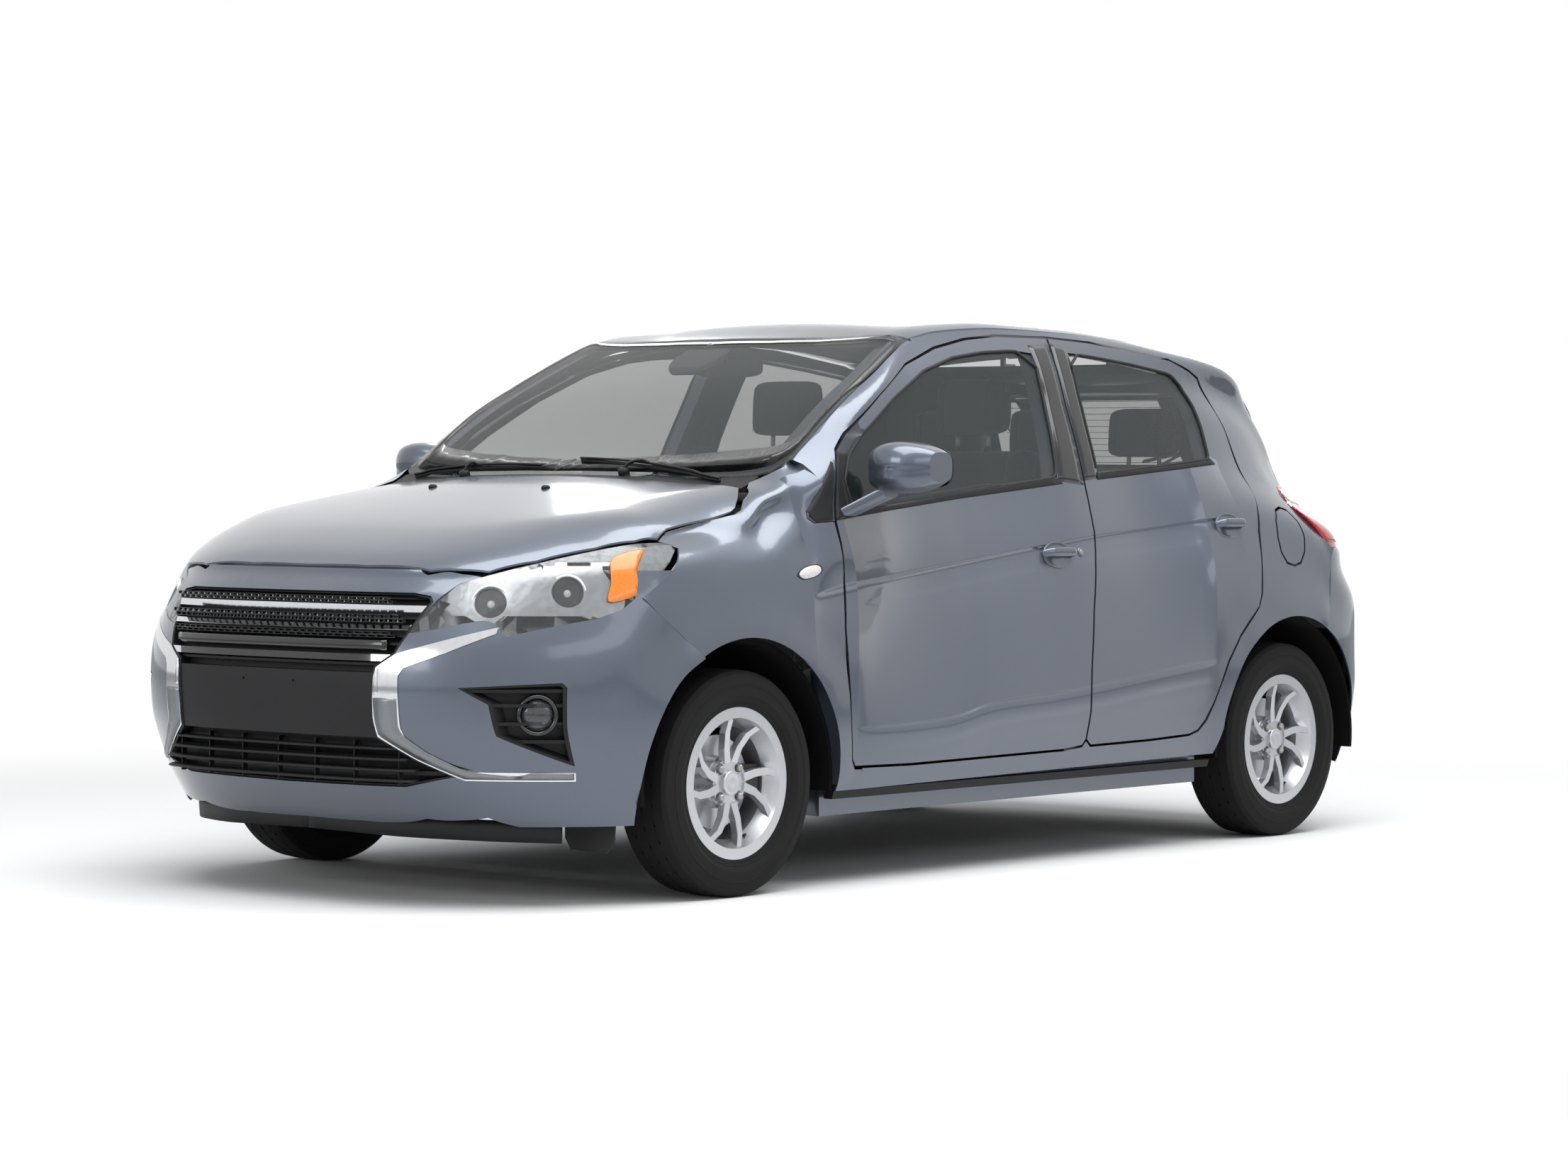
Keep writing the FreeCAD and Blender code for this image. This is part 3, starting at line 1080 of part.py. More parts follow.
for y in (-PLATE_HOLE_Y, PLATE_HOLE_Y):
    grille = grille.cut(rod(V(NOSE_POST_X, y, FRONT_PLATE_HOLE_Z), V(front_x, y, FRONT_PLATE_HOLE_Z),
                            PLATE_HOLE_RADIUS))
save("grille", grille)
trim_slab = slab(grille_rows, -AXIS_X, -BAR_PROUD, MESH_BAR_DEEP - SEAT_GAP).common(grille_hole)
trims = []
for z, half in ((UPPER_BAR_Z, UPPER_BAR_HALF), (LOWER_BAR_Z, LOWER_BAR_HALF), (GREY_BAR_Z, GREY_BAR_HALF)):
    trims.append(trim_slab.common(box(0, front_x, -far_y, far_y, z - half, z + half)))
blade_block = slab(nose_rows, -AXIS_X, -BLADE_PROUD, BLADE_DEPTH)
blade = blade_block.common(end_prism(grown(blade_line, -SEAT_GAP), NOSE_POST_X, front_x))
blade = largest(blade.cut(grille))
save("grille_trim", Part.makeCompound([s for t in trims for s in t.Solids] + blade.Solids + other_side(blade).Solids))

# Headlamps
lamp_rows = wrap_rows(NOSE_POST_X, True, LAMP_FIRST, LAMP_LAST, LAMP_LOW, LAMP_HIGH, COLUMNS, COLUMNS)
lamp_way = V(-math.cos(LAMP_WAY), -math.sin(LAMP_WAY), 0)
lamp_prism = end_prism(grown(headlamp_line, -SEAT_GAP), NOSE_POST_X, front_x)
lamp_side = side_prism([(1256.0, 900.0), (1261.0, 871.0), (1299.0, 838.0), (1362.0, 795.0), (1431.0, 752.0),
                        (1431.0, 600.0), (2000.0, 600.0), (2000.0, 900.0)], 0, far_y)
lens = slab(lamp_rows, lamp_way, 0, LENS_THICK).common(lamp_prism).common(lamp_side)
housing = slab(lamp_rows, lamp_way, LENS_THICK, LAMP_DEEP).common(lamp_prism).common(lamp_side)
for bowl in (LOW_BOWL, HIGH_BOWL):
    middle = V(*bowl) + lamp_way * BOWL_SINK
    housing = housing.cut(Part.makeSphere(BOWL_RADIUS, middle))
lens = largest(lens.cut(fender))
housing = largest(housing.cut(fender))
save("headlamp_lenses", Part.makeCompound([lens, other_side(lens)]))
save("headlamps", Part.makeCompound([housing, other_side(housing)]))

# Fog lamps
fog_rows = wrap_rows(NOSE_POST_X, True, FOG_FIRST, FOG_LAST, FOG_LOW, FOG_HIGH, COLUMNS, COLUMNS)
fog_prism = end_prism(grown(fog_line, -SEAT_GAP), NOSE_POST_X, front_x)
fog_hole = end_prism(grown(fog_line, -GRILLE_RIM), NOSE_POST_X, front_x)
fog_front = slab(fog_rows, lamp_way, 0, FOG_DEEP + FOG_WALL).common(fog_prism).cut(fog_hole)
fog_back = slab(fog_rows, lamp_way, FOG_DEEP, FOG_DEEP + FOG_WALL).common(fog_prism)
fog_bars = slab(fog_rows, lamp_way, FINGER_HALF, FOG_DEEP).common(fog_hole)
fog = fog_front.fuse(fog_back)
for z in FINGERS_Z:
    fog = fog.fuse(fog_bars.common(box(0, front_x, 0, far_y, z - FINGER_HALF, z + FINGER_HALF)))
save("fog_lamps", Part.makeCompound([largest(fog), other_side(largest(fog))]))

# Rear bumper and tail lamps
rear_rows_out = wrap_rows(TAIL_END_POST_X, False, -TAIL_ANGLE, TAIL_ANGLE, BUMPER_LOW, REAR_BUMPER_HIGH,
                          LONG_COLUMNS, COLUMNS)
rear_rows_in = wrap_rows(TAIL_END_POST_X, False, -TAIL_ANGLE, TAIL_ANGLE, BUMPER_LOW, REAR_BUMPER_HIGH,
                         LONG_COLUMNS, COLUMNS, BUMPER_WALL)
rear_bumper = shell_block(rear_rows_out, rear_rows_in)
rear_bumper = rear_bumper.cut(end_prism(tailgate_line, -LENGTH, TAIL_END_POST_X))
quarter_cut = side_prism(grown(quarter_line + [(SIDE_REAR, high_z), (0, high_z)], SEAT_GAP), -far_y, far_y)
rear_bumper = rear_bumper.cut(quarter_cut)
rear_bumper = rear_bumper.cut(Part.makeCylinder(ARCH_RADIUS, 2 * far_y, V(REAR_AXLE, -far_y, TYRE_RADIUS),
                                                AXIS_Y))
save("rear_bumper", largest(rear_bumper))
LAMP_OVERRUN = 10.0
LAMP_TOP_CLEAR = 2.0
tail_rows_l = wrap_rows(TAIL_END_POST_X, False, TAIL_FIRST_ANGLE, TAIL_LAST_ANGLE,
                        TAIL_LAMP_LOW - LAMP_OVERRUN, TAIL_LAMP_HIGH + LAMP_OVERRUN, COLUMNS, COLUMNS)
tail_way = V(math.cos(LAMP_WAY), -math.sin(LAMP_WAY), 0)
tail_lamp = slab(tail_rows_l, tail_way, 0, TAIL_LAMP_DEEP)
tail_lamp = tail_lamp.common(box(-LENGTH, 0, 0, far_y, TAIL_LAMP_LOW, TAIL_LAMP_HIGH - LAMP_TOP_CLEAR))
tail_lamp = tail_lamp.cut(end_prism(tailgate_line, -LENGTH, TAIL_END_POST_X)).cut(quarter_cut)
save("tail_lamps", Part.makeCompound([largest(tail_lamp), other_side(largest(tail_lamp))]))


# Wheels, built round Y with the outer face towards +Y
BEAD_RADIUS = 171.0
BARREL_RADIUS = 150.0
DROP_HALF = 38.0
HUB_INNER_Y = 24.0
HUB_OUTER_Y = 44.0
HUB_RADIUS = 62.0
CAP_OUT = 8.0
SPOKE_INNER_RADIUS = 52.0
SPOKE_OUTER_RADIUS = 163.0
SPOKE_HUB_Y = 28.0
SPOKE_RIM_Y = 44.0
SPOKE_THICK = 20.0
SPOKE_SPREAD = math.radians(13)
SPOKE_TWIST = math.radians(14)
SPOKE_ROOT = 22.0
SPOKE_TIP = 17.0
LUG_SINK = 12.0
LUG_POCKET = 15.0
DISC_INNER_Y = -22.0
DISC_OUTER_Y = -2.0
BELL_RADIUS = 66.0
AXLE_RADIUS = 14.0
TYRE_BULGE = 6.0
BEAD_HALF = 64.0
GROOVE_STEP = 36.0
AXLE_END_Y = 20.0


def ring(profile):
    """Turn a closed profile of radius and Y round the wheel's axis."""
    face = polygon([V(radius, y, 0) for radius, y in profile])
    return face.revolve(V(0, 0, 0), AXIS_Y, 360)


def build_tyre():
    half = TYRE_WIDTH / 2
    edge = TYRE_RADIUS - TYRE_SHOULDER
    tread = half - TYRE_SHOULDER
    profile = [(RIM_RADIUS, -BEAD_HALF), (edge - TYRE_SHOULDER * 3, -half),
               (edge - TYRE_SHOULDER, -half + SEAT_GAP), (edge + TYRE_CROWN, -half + TYRE_BULGE),
               (TYRE_RADIUS - TYRE_CROWN / 2, -tread)]
    for middle in (-GROOVE_STEP, 0, GROOVE_STEP):
        profile += [(TYRE_RADIUS, middle - GROOVE_WIDTH / 2), (TYRE_RADIUS - TREAD_DEPTH,
                middle - GROOVE_WIDTH / 2 + GROOVE_SLOPE)]
        profile += [(TYRE_RADIUS - TREAD_DEPTH, middle + GROOVE_WIDTH / 2 - GROOVE_SLOPE),
                    (TYRE_RADIUS, middle + GROOVE_WIDTH / 2)]
    profile += [(TYRE_RADIUS - TYRE_CROWN / 2, tread), (edge + TYRE_CROWN, half - TYRE_BULGE),
                (edge - TYRE_SHOULDER, half - SEAT_GAP), (edge - TYRE_SHOULDER * 3, half),
                (RIM_RADIUS, BEAD_HALF)]
    return ring(profile)


def spoke(middle, turn):
    """One curved spoke that leaves the hub at middle and leans to one side."""
    left = []
    right = []
    for share in (0.0, 0.35, 0.7, 1.0):
        radius = SPOKE_INNER_RADIUS + (SPOKE_OUTER_RADIUS - SPOKE_INNER_RADIUS) * share
        angle = middle + turn * SPOKE_SPREAD * share / 2 + SPOKE_TWIST * share * share
        half = (SPOKE_ROOT + (SPOKE_TIP - SPOKE_ROOT) * share) / 2
        left.append((radius * math.cos(angle) - half * math.sin(angle),
                     radius * math.sin(angle) + half * math.cos(angle)))
        right.append((radius * math.cos(angle) + half * math.sin(angle),
                      radius * math.sin(angle) - half * math.cos(angle)))
    points = left + list(reversed(right))
    return polygon([V(x, 0, z) for x, z in points]).extrude(AXIS_Y * (RIM_WIDTH / 2))


def build_rim():
    half = RIM_WIDTH / 2
    outer = [(RIM_RADIUS, half), (RIM_RADIUS + RIM_LIP, half), (RIM_RADIUS + RIM_LIP, half - RIM_WALL / 2),
             (RIM_RADIUS - SEAT_GAP, half - RIM_WALL / 2), (BEAD_RADIUS, DROP_HALF + RIM_WALL),
             (BARREL_RADIUS, DROP_HALF)]
    lower = [(r, -y) for r, y in reversed(outer)]
    inner = [(RIM_RADIUS - RIM_WALL, -half), (BARREL_RADIUS - RIM_WALL, -DROP_HALF),
             (BARREL_RADIUS - RIM_WALL, DROP_HALF - RIM_WALL), (BEAD_RADIUS - RIM_WALL, half)]
    barrel = ring(outer + lower + inner)
    hub = Part.makeCylinder(HUB_RADIUS, HUB_OUTER_Y - HUB_INNER_Y, V(0, HUB_INNER_Y, 0), AXIS_Y)
    cap = Part.makeCylinder(HUB_CAP_RADIUS, CAP_OUT, V(0, HUB_OUTER_Y, 0), AXIS_Y)
    dish = ring([(SPOKE_INNER_RADIUS - RIM_WALL, SPOKE_HUB_Y), (SPOKE_OUTER_RADIUS + RIM_WALL / 4,
            SPOKE_RIM_Y), (SPOKE_OUTER_RADIUS + RIM_WALL / 4, SPOKE_RIM_Y + SPOKE_THICK),
                 (SPOKE_INNER_RADIUS - RIM_WALL, SPOKE_HUB_Y + SPOKE_THICK)])
    rim = barrel.fuse(hub).fuse(cap)
    for i in range(SPOKE_PAIRS):
        for turn in (-1, 1):
            middle = 2 * math.pi * i / SPOKE_PAIRS + turn * SPOKE_SPREAD
            rim = rim.fuse(spoke(middle, turn).common(dish))
    for i in range(SPOKE_PAIRS):
        angle = 2 * math.pi * (i + 1 / 2) / SPOKE_PAIRS
        place = V(LUG_CIRCLE / 2 * math.cos(angle), HUB_OUTER_Y - LUG_SINK, LUG_CIRCLE / 2 * math.sin(angle))
        rim = rim.cut(Part.makeCylinder(LUG_POCKET, RIM_WIDTH, place, AXIS_Y))
        rim = rim.fuse(Part.makeCylinder(LUG_RADIUS, LUG_LENGTH, place - AXIS_Y, AXIS_Y))
    bell = Part.makeCylinder(BELL_RADIUS, HUB_INNER_Y - DISC_INNER_Y, V(0, DISC_INNER_Y, 0), AXIS_Y)
    disc = Part.makeCylinder(BRAKE_DISC_RADIUS, DISC_OUTER_Y - DISC_INNER_Y, V(0, DISC_INNER_Y, 0), AXIS_Y)
    bore = Part.makeCylinder(AXLE_RADIUS + PIN_CLEAR, AXLE_END_Y - DISC_INNER_Y, V(0, DISC_INNER_Y, 0),
                             AXIS_Y)
    return rim.fuse(bell).fuse(disc).cut(bore)


rim = build_rim()
tyre = largest(build_tyre().cut(rim))
for name, x, y in (("front_left", FRONT_AXLE, FRONT_WHEEL_Y), ("rear_left", REAR_AXLE, REAR_WHEEL_Y),
                   ("front_right", FRONT_AXLE, -FRONT_WHEEL_Y), ("rear_right", REAR_AXLE, -REAR_WHEEL_Y)):
    for kind, shape in (("tyre", tyre), ("rim", rim)):
        placed = shape.copy()
        if y < 0:
            placed.rotate(V(0, 0, 0), AXIS_Z, 180)
        placed.translate(V(x, y, TYRE_RADIUS))
        save(kind + "_" + name, placed)

# Steering knuckles with strut, spring and caliper, left side
CARRIER_RADIUS = 45.0
CARRIER_INNER_Y = 598.0
CARRIER_OUTER_Y = 685.0
DAMPER_RADIUS = 24.0
DAMPER_LOW_Y = 632.0
DAMPER_LOW_Z = 300.0
DAMPER_HIGH_Y = 570.0
DAMPER_HIGH_Z = 640.0
SPRING_RADIUS = 52.0
SPRING_LOW_Z = 590.0
SPRING_HIGH_Z = 782.0
PIVOT_RADIUS = 12.0
BALL_DROP = 4.0
BALL_RADIUS = 8.0
BOSS_RADIUS = 17.0
BOSS_LOW_Z = 212.0
BOSS_HIGH_Z = 262.0
ARM_PLATE_LOW = 184.0
ARM_PLATE_HIGH = 206.0
TOWER_Z = 801.0
TOWER_THICK = 12.0
PIN_OVER = 10.0
CALIPER_INNER = 72.0
CALIPER_OUTER = 137.0
CALIPER_SLOT = 124.0
CALIPER_REACH = 17.0
CALIPER_WIDTH = 80.0
DISC_CLEAR = 5.0
CALIPER_X = 40.0

low_point = V(FRONT_AXLE, KINGPIN_LOW_Y, KINGPIN_LOW_Z)
high_point = V(FRONT_AXLE, KINGPIN_HIGH_Y, KINGPIN_HIGH_Z)


def kingpin(z):
    """Point on the left steering axis at height z."""
    share = (z - KINGPIN_LOW_Z) / (KINGPIN_HIGH_Z - KINGPIN_LOW_Z)
    return low_point + (high_point - low_point) * share


carrier = rod(V(FRONT_AXLE, CARRIER_INNER_Y, TYRE_RADIUS), V(FRONT_AXLE, CARRIER_OUTER_Y, TYRE_RADIUS),
              CARRIER_RADIUS)
stub = rod(V(FRONT_AXLE, CARRIER_OUTER_Y - LAP, TYRE_RADIUS), V(FRONT_AXLE, FRONT_WHEEL_Y + AXLE_END_Y - LAP,
        TYRE_RADIUS), AXLE_RADIUS)
damper = rod(V(FRONT_AXLE, DAMPER_LOW_Y, DAMPER_LOW_Z), V(FRONT_AXLE, DAMPER_HIGH_Y, DAMPER_HIGH_Z),
             DAMPER_RADIUS)
spring = rod(kingpin(SPRING_LOW_Z), kingpin(SPRING_HIGH_Z), SPRING_RADIUS)
pivot = rod(kingpin(SPRING_HIGH_Z - PIN_OVER), kingpin(TOWER_Z + TOWER_THICK + PIN_OVER), PIVOT_RADIUS)
boss = rod(kingpin(BOSS_LOW_Z), kingpin(BOSS_HIGH_Z), BOSS_RADIUS)
ball = rod(kingpin(ARM_PLATE_LOW - BALL_DROP), kingpin(BOSS_HIGH_Z), BALL_RADIUS)
disc_in = FRONT_WHEEL_Y + DISC_INNER_Y
disc_out = FRONT_WHEEL_Y + DISC_OUTER_Y
caliper = rod(V(FRONT_AXLE, disc_in - DISC_CLEAR - CALIPER_REACH, TYRE_RADIUS),
              V(FRONT_AXLE, disc_out + DISC_CLEAR + CALIPER_REACH, TYRE_RADIUS), CALIPER_OUTER)
caliper = caliper.cut(rod(V(FRONT_AXLE, disc_in - CUT_OVERRUN, TYRE_RADIUS),
                          V(FRONT_AXLE, disc_out + CUT_OVERRUN, TYRE_RADIUS), CALIPER_INNER))
caliper = caliper.cut(rod(V(FRONT_AXLE, disc_in - DISC_CLEAR, TYRE_RADIUS),
                          V(FRONT_AXLE, disc_out + DISC_CLEAR, TYRE_RADIUS), CALIPER_SLOT))
caliper = caliper.common(box(FRONT_AXLE - CALIPER_OUTER, FRONT_AXLE - CALIPER_X, 0, far_y,
                             TYRE_RADIUS - CALIPER_WIDTH / 2, TYRE_RADIUS + CALIPER_WIDTH / 2))
bridge = box(FRONT_AXLE - CALIPER_INNER - DISC_CLEAR * 2, FRONT_AXLE, disc_in - DISC_CLEAR - CALIPER_REACH,
             disc_in - DISC_CLEAR, TYRE_RADIUS - CALIPER_WIDTH / 4, TYRE_RADIUS + CALIPER_WIDTH / 4)
knuckle = joined([carrier, stub, damper, spring, pivot, boss, ball, bridge, caliper])
save("knuckle_left", knuckle)
save("knuckle_right", other_side(knuckle))

# Floor, bulkhead, rails and strut towers
FLOOR_REAR = -700.0
FLOOR_FRONT = 880.0
FLOOR_HALF = 639.7
RAISED_LOW = 330.0
RAISED_HIGH = 350.0
RAISED_REAR = -1845.0
RAISED_HALF = 604.0
END_TOP = 680.0
TUNNEL_WALL = 6.0
TUNNEL_FRONT = 850.0
RAIL_INNER = 400.0
RAIL_OUTER = 460.0
RAIL_LOW = 380.0
RAIL_HIGH = 460.0
RAIL_FRONT = 1745.0
BULKHEAD_LOW = 190.0
APRON_BACK = 112.0
APRON_AHEAD = 108.0
APRON_WALL = 8.0
TOWER_OUTER = 640.0
ARCH_INNER_Y = RAIL_OUTER

floor = box(FLOOR_REAR, FLOOR_FRONT, -FLOOR_HALF, FLOOR_HALF, FLOOR_HEIGHT, FLOOR_HEIGHT + FLOOR_THICK)
half = TUNNEL_WIDTH / 2
floor = floor.fuse(box(FLOOR_REAR, TUNNEL_FRONT, -half, half, FLOOR_HEIGHT, FLOOR_HEIGHT + TUNNEL_HEIGHT))
floor = floor.cut(box(FLOOR_REAR, FLOOR_FRONT, -half + TUNNEL_WALL, half - TUNNEL_WALL, 0,
                      FLOOR_HEIGHT + TUNNEL_HEIGHT - TUNNEL_WALL))
floor = floor.fuse(box(FLOOR_REAR - FLOOR_THICK, FLOOR_REAR, -FLOOR_HALF, FLOOR_HALF, FLOOR_HEIGHT,
                       RAISED_HIGH).cut(box(FLOOR_REAR - FLOOR_THICK, FLOOR_REAR, -half + TUNNEL_WALL,
                                            half - TUNNEL_WALL, 0,
                                            FLOOR_HEIGHT + TUNNEL_HEIGHT - TUNNEL_WALL)))
floor = floor.fuse(box(RAISED_REAR, FLOOR_REAR, -RAISED_HALF, RAISED_HALF, RAISED_LOW, RAISED_HIGH))
floor = floor.fuse(box(RAISED_REAR - FLOOR_THICK / 2, RAISED_REAR, -RAISED_HALF, RAISED_HALF, RAISED_LOW,
                       END_TOP))
floor = floor.fuse(box(BULKHEAD_REAR, BULKHEAD_REAR + BULKHEAD_THICK, -BULKHEAD_HALF, BULKHEAD_HALF,
                       BULKHEAD_LOW, BULKHEAD_TOP))
floor = floor.cut(box(BULKHEAD_REAR, FLOOR_FRONT, -half + TUNNEL_WALL, half - TUNNEL_WALL, 0,
                      FLOOR_HEIGHT + TUNNEL_HEIGHT - TUNNEL_WALL))
for sign in (1, -1):
    cutter = arch(FRONT_AXLE, ARCH_INNER_Y, ARCH_RADIUS)
    floor = floor.cut(cutter if sign > 0 else other_side(cutter))
rail = box(BULKHEAD_REAR, RAIL_FRONT, RAIL_INNER, RAIL_OUTER, RAIL_LOW, RAIL_HIGH)
apron = box(FRONT_AXLE - APRON_BACK, FRONT_AXLE + APRON_AHEAD, RAIL_OUTER - APRON_WALL, RAIL_OUTER, RAIL_LOW,
            TOWER_Z + TOWER_THICK)
cap = box(FRONT_AXLE - APRON_BACK, FRONT_AXLE + APRON_AHEAD, RAIL_OUTER - APRON_WALL, TOWER_OUTER, TOWER_Z,
          TOWER_Z + TOWER_THICK)
cap = cap.cut(rod(kingpin(SPRING_HIGH_Z), kingpin(TOWER_Z + CUT_OVERRUN), PIVOT_RADIUS + PIN_CLEAR))
tower = joined([rail, apron, cap])
floor = floor.fuse(tower).fuse(other_side(tower))
for lug in lugs:
    floor = floor.fuse(lug)
save("floor_pan", floor)


# Engine, radiator support and front axle carrier
ENGINE_AHEAD = 112.0
ENGINE_REAR = FRONT_AXLE + ENGINE_AHEAD
ENGINE_LENGTH = 340.0
ENGINE_LOW = 300.0
ENGINE_HIGH = 790.0
SUPPORT_REAR_X = 1640.0
SUPPORT_THICK = 56.0
SUPPORT_LOW = 250.0
SUPPORT_HIGH = 740.0
SUPPORT_BAR = 40.0
RADIATOR_THICK = 26.0
STOP_RADIUS = 12.0
STOP_X = 1690.0
STOP_Y = 330.0
BEAM_BACK = 70.0
BEAM_AHEAD = 60.0
BEAM_LOW = 180.0
BEAM_HIGH = 240.0
ARM_ROOT_HALF = 50.0
ARM_TIP_HALF = 24.0
POST_HALF = 24.0

engine = box(ENGINE_REAR, ENGINE_REAR + ENGINE_LENGTH, -RAIL_INNER + SEAT_GAP, RAIL_INNER - SEAT_GAP,
             ENGINE_LOW, ENGINE_HIGH)
save("engine_block", engine)

half = RAIL_INNER - SEAT_GAP
support = box(SUPPORT_REAR_X, SUPPORT_REAR_X + SUPPORT_THICK, -half, half, SUPPORT_LOW, SUPPORT_HIGH)
support = support.cut(box(SUPPORT_REAR_X, SUPPORT_REAR_X + SUPPORT_THICK, SUPPORT_BAR - half,
                          half - SUPPORT_BAR, SUPPORT_LOW + SUPPORT_BAR, SUPPORT_HIGH - SUPPORT_BAR))
support = support.fuse(box(SUPPORT_REAR_X, SUPPORT_REAR_X + RADIATOR_THICK, SUPPORT_BAR - half,
                           half - SUPPORT_BAR, SUPPORT_LOW + SUPPORT_BAR, SUPPORT_HIGH - SUPPORT_BAR))
under_bonnet = slab(bonnet_rows, -AXIS_Z, BONNET_THICK + SEAT_GAP, HEIGHT)
for y in (STOP_Y, -STOP_Y):
    stop = rod(V(STOP_X - STOP_RADIUS, y, SUPPORT_HIGH - LAP), V(STOP_X - STOP_RADIUS, y, HEIGHT),
               STOP_RADIUS)
    support = support.fuse(stop.common(under_bonnet))
save("radiator_support", support)

beam = box(FRONT_AXLE - BEAM_BACK, FRONT_AXLE + BEAM_AHEAD, -RAIL_OUTER, RAIL_OUTER, BEAM_LOW, BEAM_HIGH)
for sign in (1, -1):
    middle = sign * (RAIL_INNER + RAIL_OUTER) / 2
    post = box(FRONT_AXLE - BEAM_BACK, FRONT_AXLE + BEAM_AHEAD, middle - POST_HALF, middle + POST_HALF,
               BEAM_LOW, RAIL_LOW - SEAT_GAP)
    beam = beam.fuse(post)
plate = plan_prism([(FRONT_AXLE - ARM_ROOT_HALF, RAIL_OUTER - LAP),
                    (FRONT_AXLE + ARM_ROOT_HALF, RAIL_OUTER - LAP),
                    (FRONT_AXLE + ARM_TIP_HALF, KINGPIN_LOW_Y), (FRONT_AXLE - ARM_TIP_HALF, KINGPIN_LOW_Y)],
                   ARM_PLATE_LOW, ARM_PLATE_HIGH)
plate = plate.fuse(Part.makeCylinder(ARM_TIP_HALF, ARM_PLATE_HIGH - ARM_PLATE_LOW,
                                     V(FRONT_AXLE, KINGPIN_LOW_Y, ARM_PLATE_LOW)))
plate = plate.cut(rod(kingpin(ARM_PLATE_LOW - CUT_OVERRUN), kingpin(ARM_PLATE_HIGH + CUT_OVERRUN),
                      BALL_RADIUS + PIN_CLEAR))
beam = beam.fuse(plate).fuse(other_side(plate))
save("front_subframe", beam)

# Rear axle, fuel tank and exhaust
REAR_TUBE_AHEAD = 132.0
REAR_TUBE_X = REAR_AXLE + REAR_TUBE_AHEAD
REAR_TUBE_Z = 262.0
REAR_TUBE_RADIUS = 38.0
REAR_ARM_Y = 540.0
REAR_ARM_X = -960.0
REAR_ARM_Z = 301.7
REAR_ARM_RADIUS = 22.0
REAR_BUSH_RADIUS = 28.0
REAR_BUSH_HALF = 30.0
REAR_ARM_END_AHEAD = 20.0
REAR_ARM_END_X = REAR_AXLE + REAR_ARM_END_AHEAD
REAR_HUB_OUT = 678.0
REAR_HUB_RADIUS = 40.0
REAR_SPRING_AHEAD = 90.0
REAR_SPRING_X = REAR_AXLE + REAR_SPRING_AHEAD
REAR_SPRING_Y = 470.0
REAR_SPRING_RADIUS = 50.0
TANK_REAR = -1090.0
TANK_FRONT = -735.0
TANK_LEFT = 420.0
TANK_RIGHT = -420.0
TANK_LOW = 190.0
PIPE_RADIUS = 24.0
PIPE_Z = 240.0
PIPE_FRONT = 985.0
PIPE_DROP_START = -508.0
PIPE_DROP_END = -676.0
PIPE_RISE_AHEAD = 120.0
PIPE_RISE_START = REAR_TUBE_X + PIPE_RISE_AHEAD
PIPE_BEND_BACK = 48.0
PIPE_BEND_X = REAR_TUBE_X - PIPE_BEND_BACK
PIPE_BEND_Y = -72.0
PIPE_END_Y = -252.0
PIPE_LOW_Z = 158.0
PIPE_OVERLAP = 1.0
MUFFLER_REAR = -1780.0
MUFFLER_FRONT = -1500.0
MUFFLER_LEFT = -180.0
MUFFLER_RIGHT = -520.0
MUFFLER_LOW = 212.0
TAIL_PIPE_END = -1838.0
TAIL_PIPE_Y = -440.0
HANGER = 16.0

axle = rod(V(REAR_TUBE_X, -REAR_ARM_Y, REAR_TUBE_Z), V(REAR_TUBE_X, REAR_ARM_Y, REAR_TUBE_Z),
           REAR_TUBE_RADIUS)
for sign in (1, -1):
    y = sign * REAR_ARM_Y
    axle = axle.fuse(rod(V(REAR_ARM_X, y, REAR_ARM_Z), V(REAR_ARM_END_X, y, REAR_TUBE_Z), REAR_ARM_RADIUS))
    axle = axle.fuse(rod(V(REAR_ARM_X, y - REAR_BUSH_HALF, REAR_ARM_Z),
                         V(REAR_ARM_X, y + REAR_BUSH_HALF, REAR_ARM_Z), REAR_BUSH_RADIUS))
    hub = rod(V(REAR_AXLE, sign * (REAR_ARM_Y - REAR_ARM_RADIUS), TYRE_RADIUS),
              V(REAR_AXLE, sign * REAR_HUB_OUT, TYRE_RADIUS), REAR_HUB_RADIUS)
    pin = rod(V(REAR_AXLE, sign * REAR_HUB_OUT, TYRE_RADIUS), V(REAR_AXLE,
            sign * (REAR_WHEEL_Y + AXLE_END_Y - LAP), TYRE_RADIUS), AXLE_RADIUS)
    coil = rod(V(REAR_SPRING_X, sign * REAR_SPRING_Y, REAR_TUBE_Z),
               V(REAR_SPRING_X, sign * REAR_SPRING_Y, RAISED_LOW - SEAT_GAP), REAR_SPRING_RADIUS)
    axle = axle.fuse(hub).fuse(pin).fuse(coil)
save("rear_axle", axle)
save("fuel_tank", box(TANK_REAR, TANK_FRONT, TANK_RIGHT, TANK_LEFT, TANK_LOW, RAISED_LOW - SEAT_GAP))


def pipe(points, radius):
    """Round pipe through points, with a ball at each bend."""
    parts = [rod(a, b, radius) for a, b in zip(points, points[1:])]
    parts += [Part.makeSphere(radius, point) for point in points[1:-1]]
    return joined(parts)


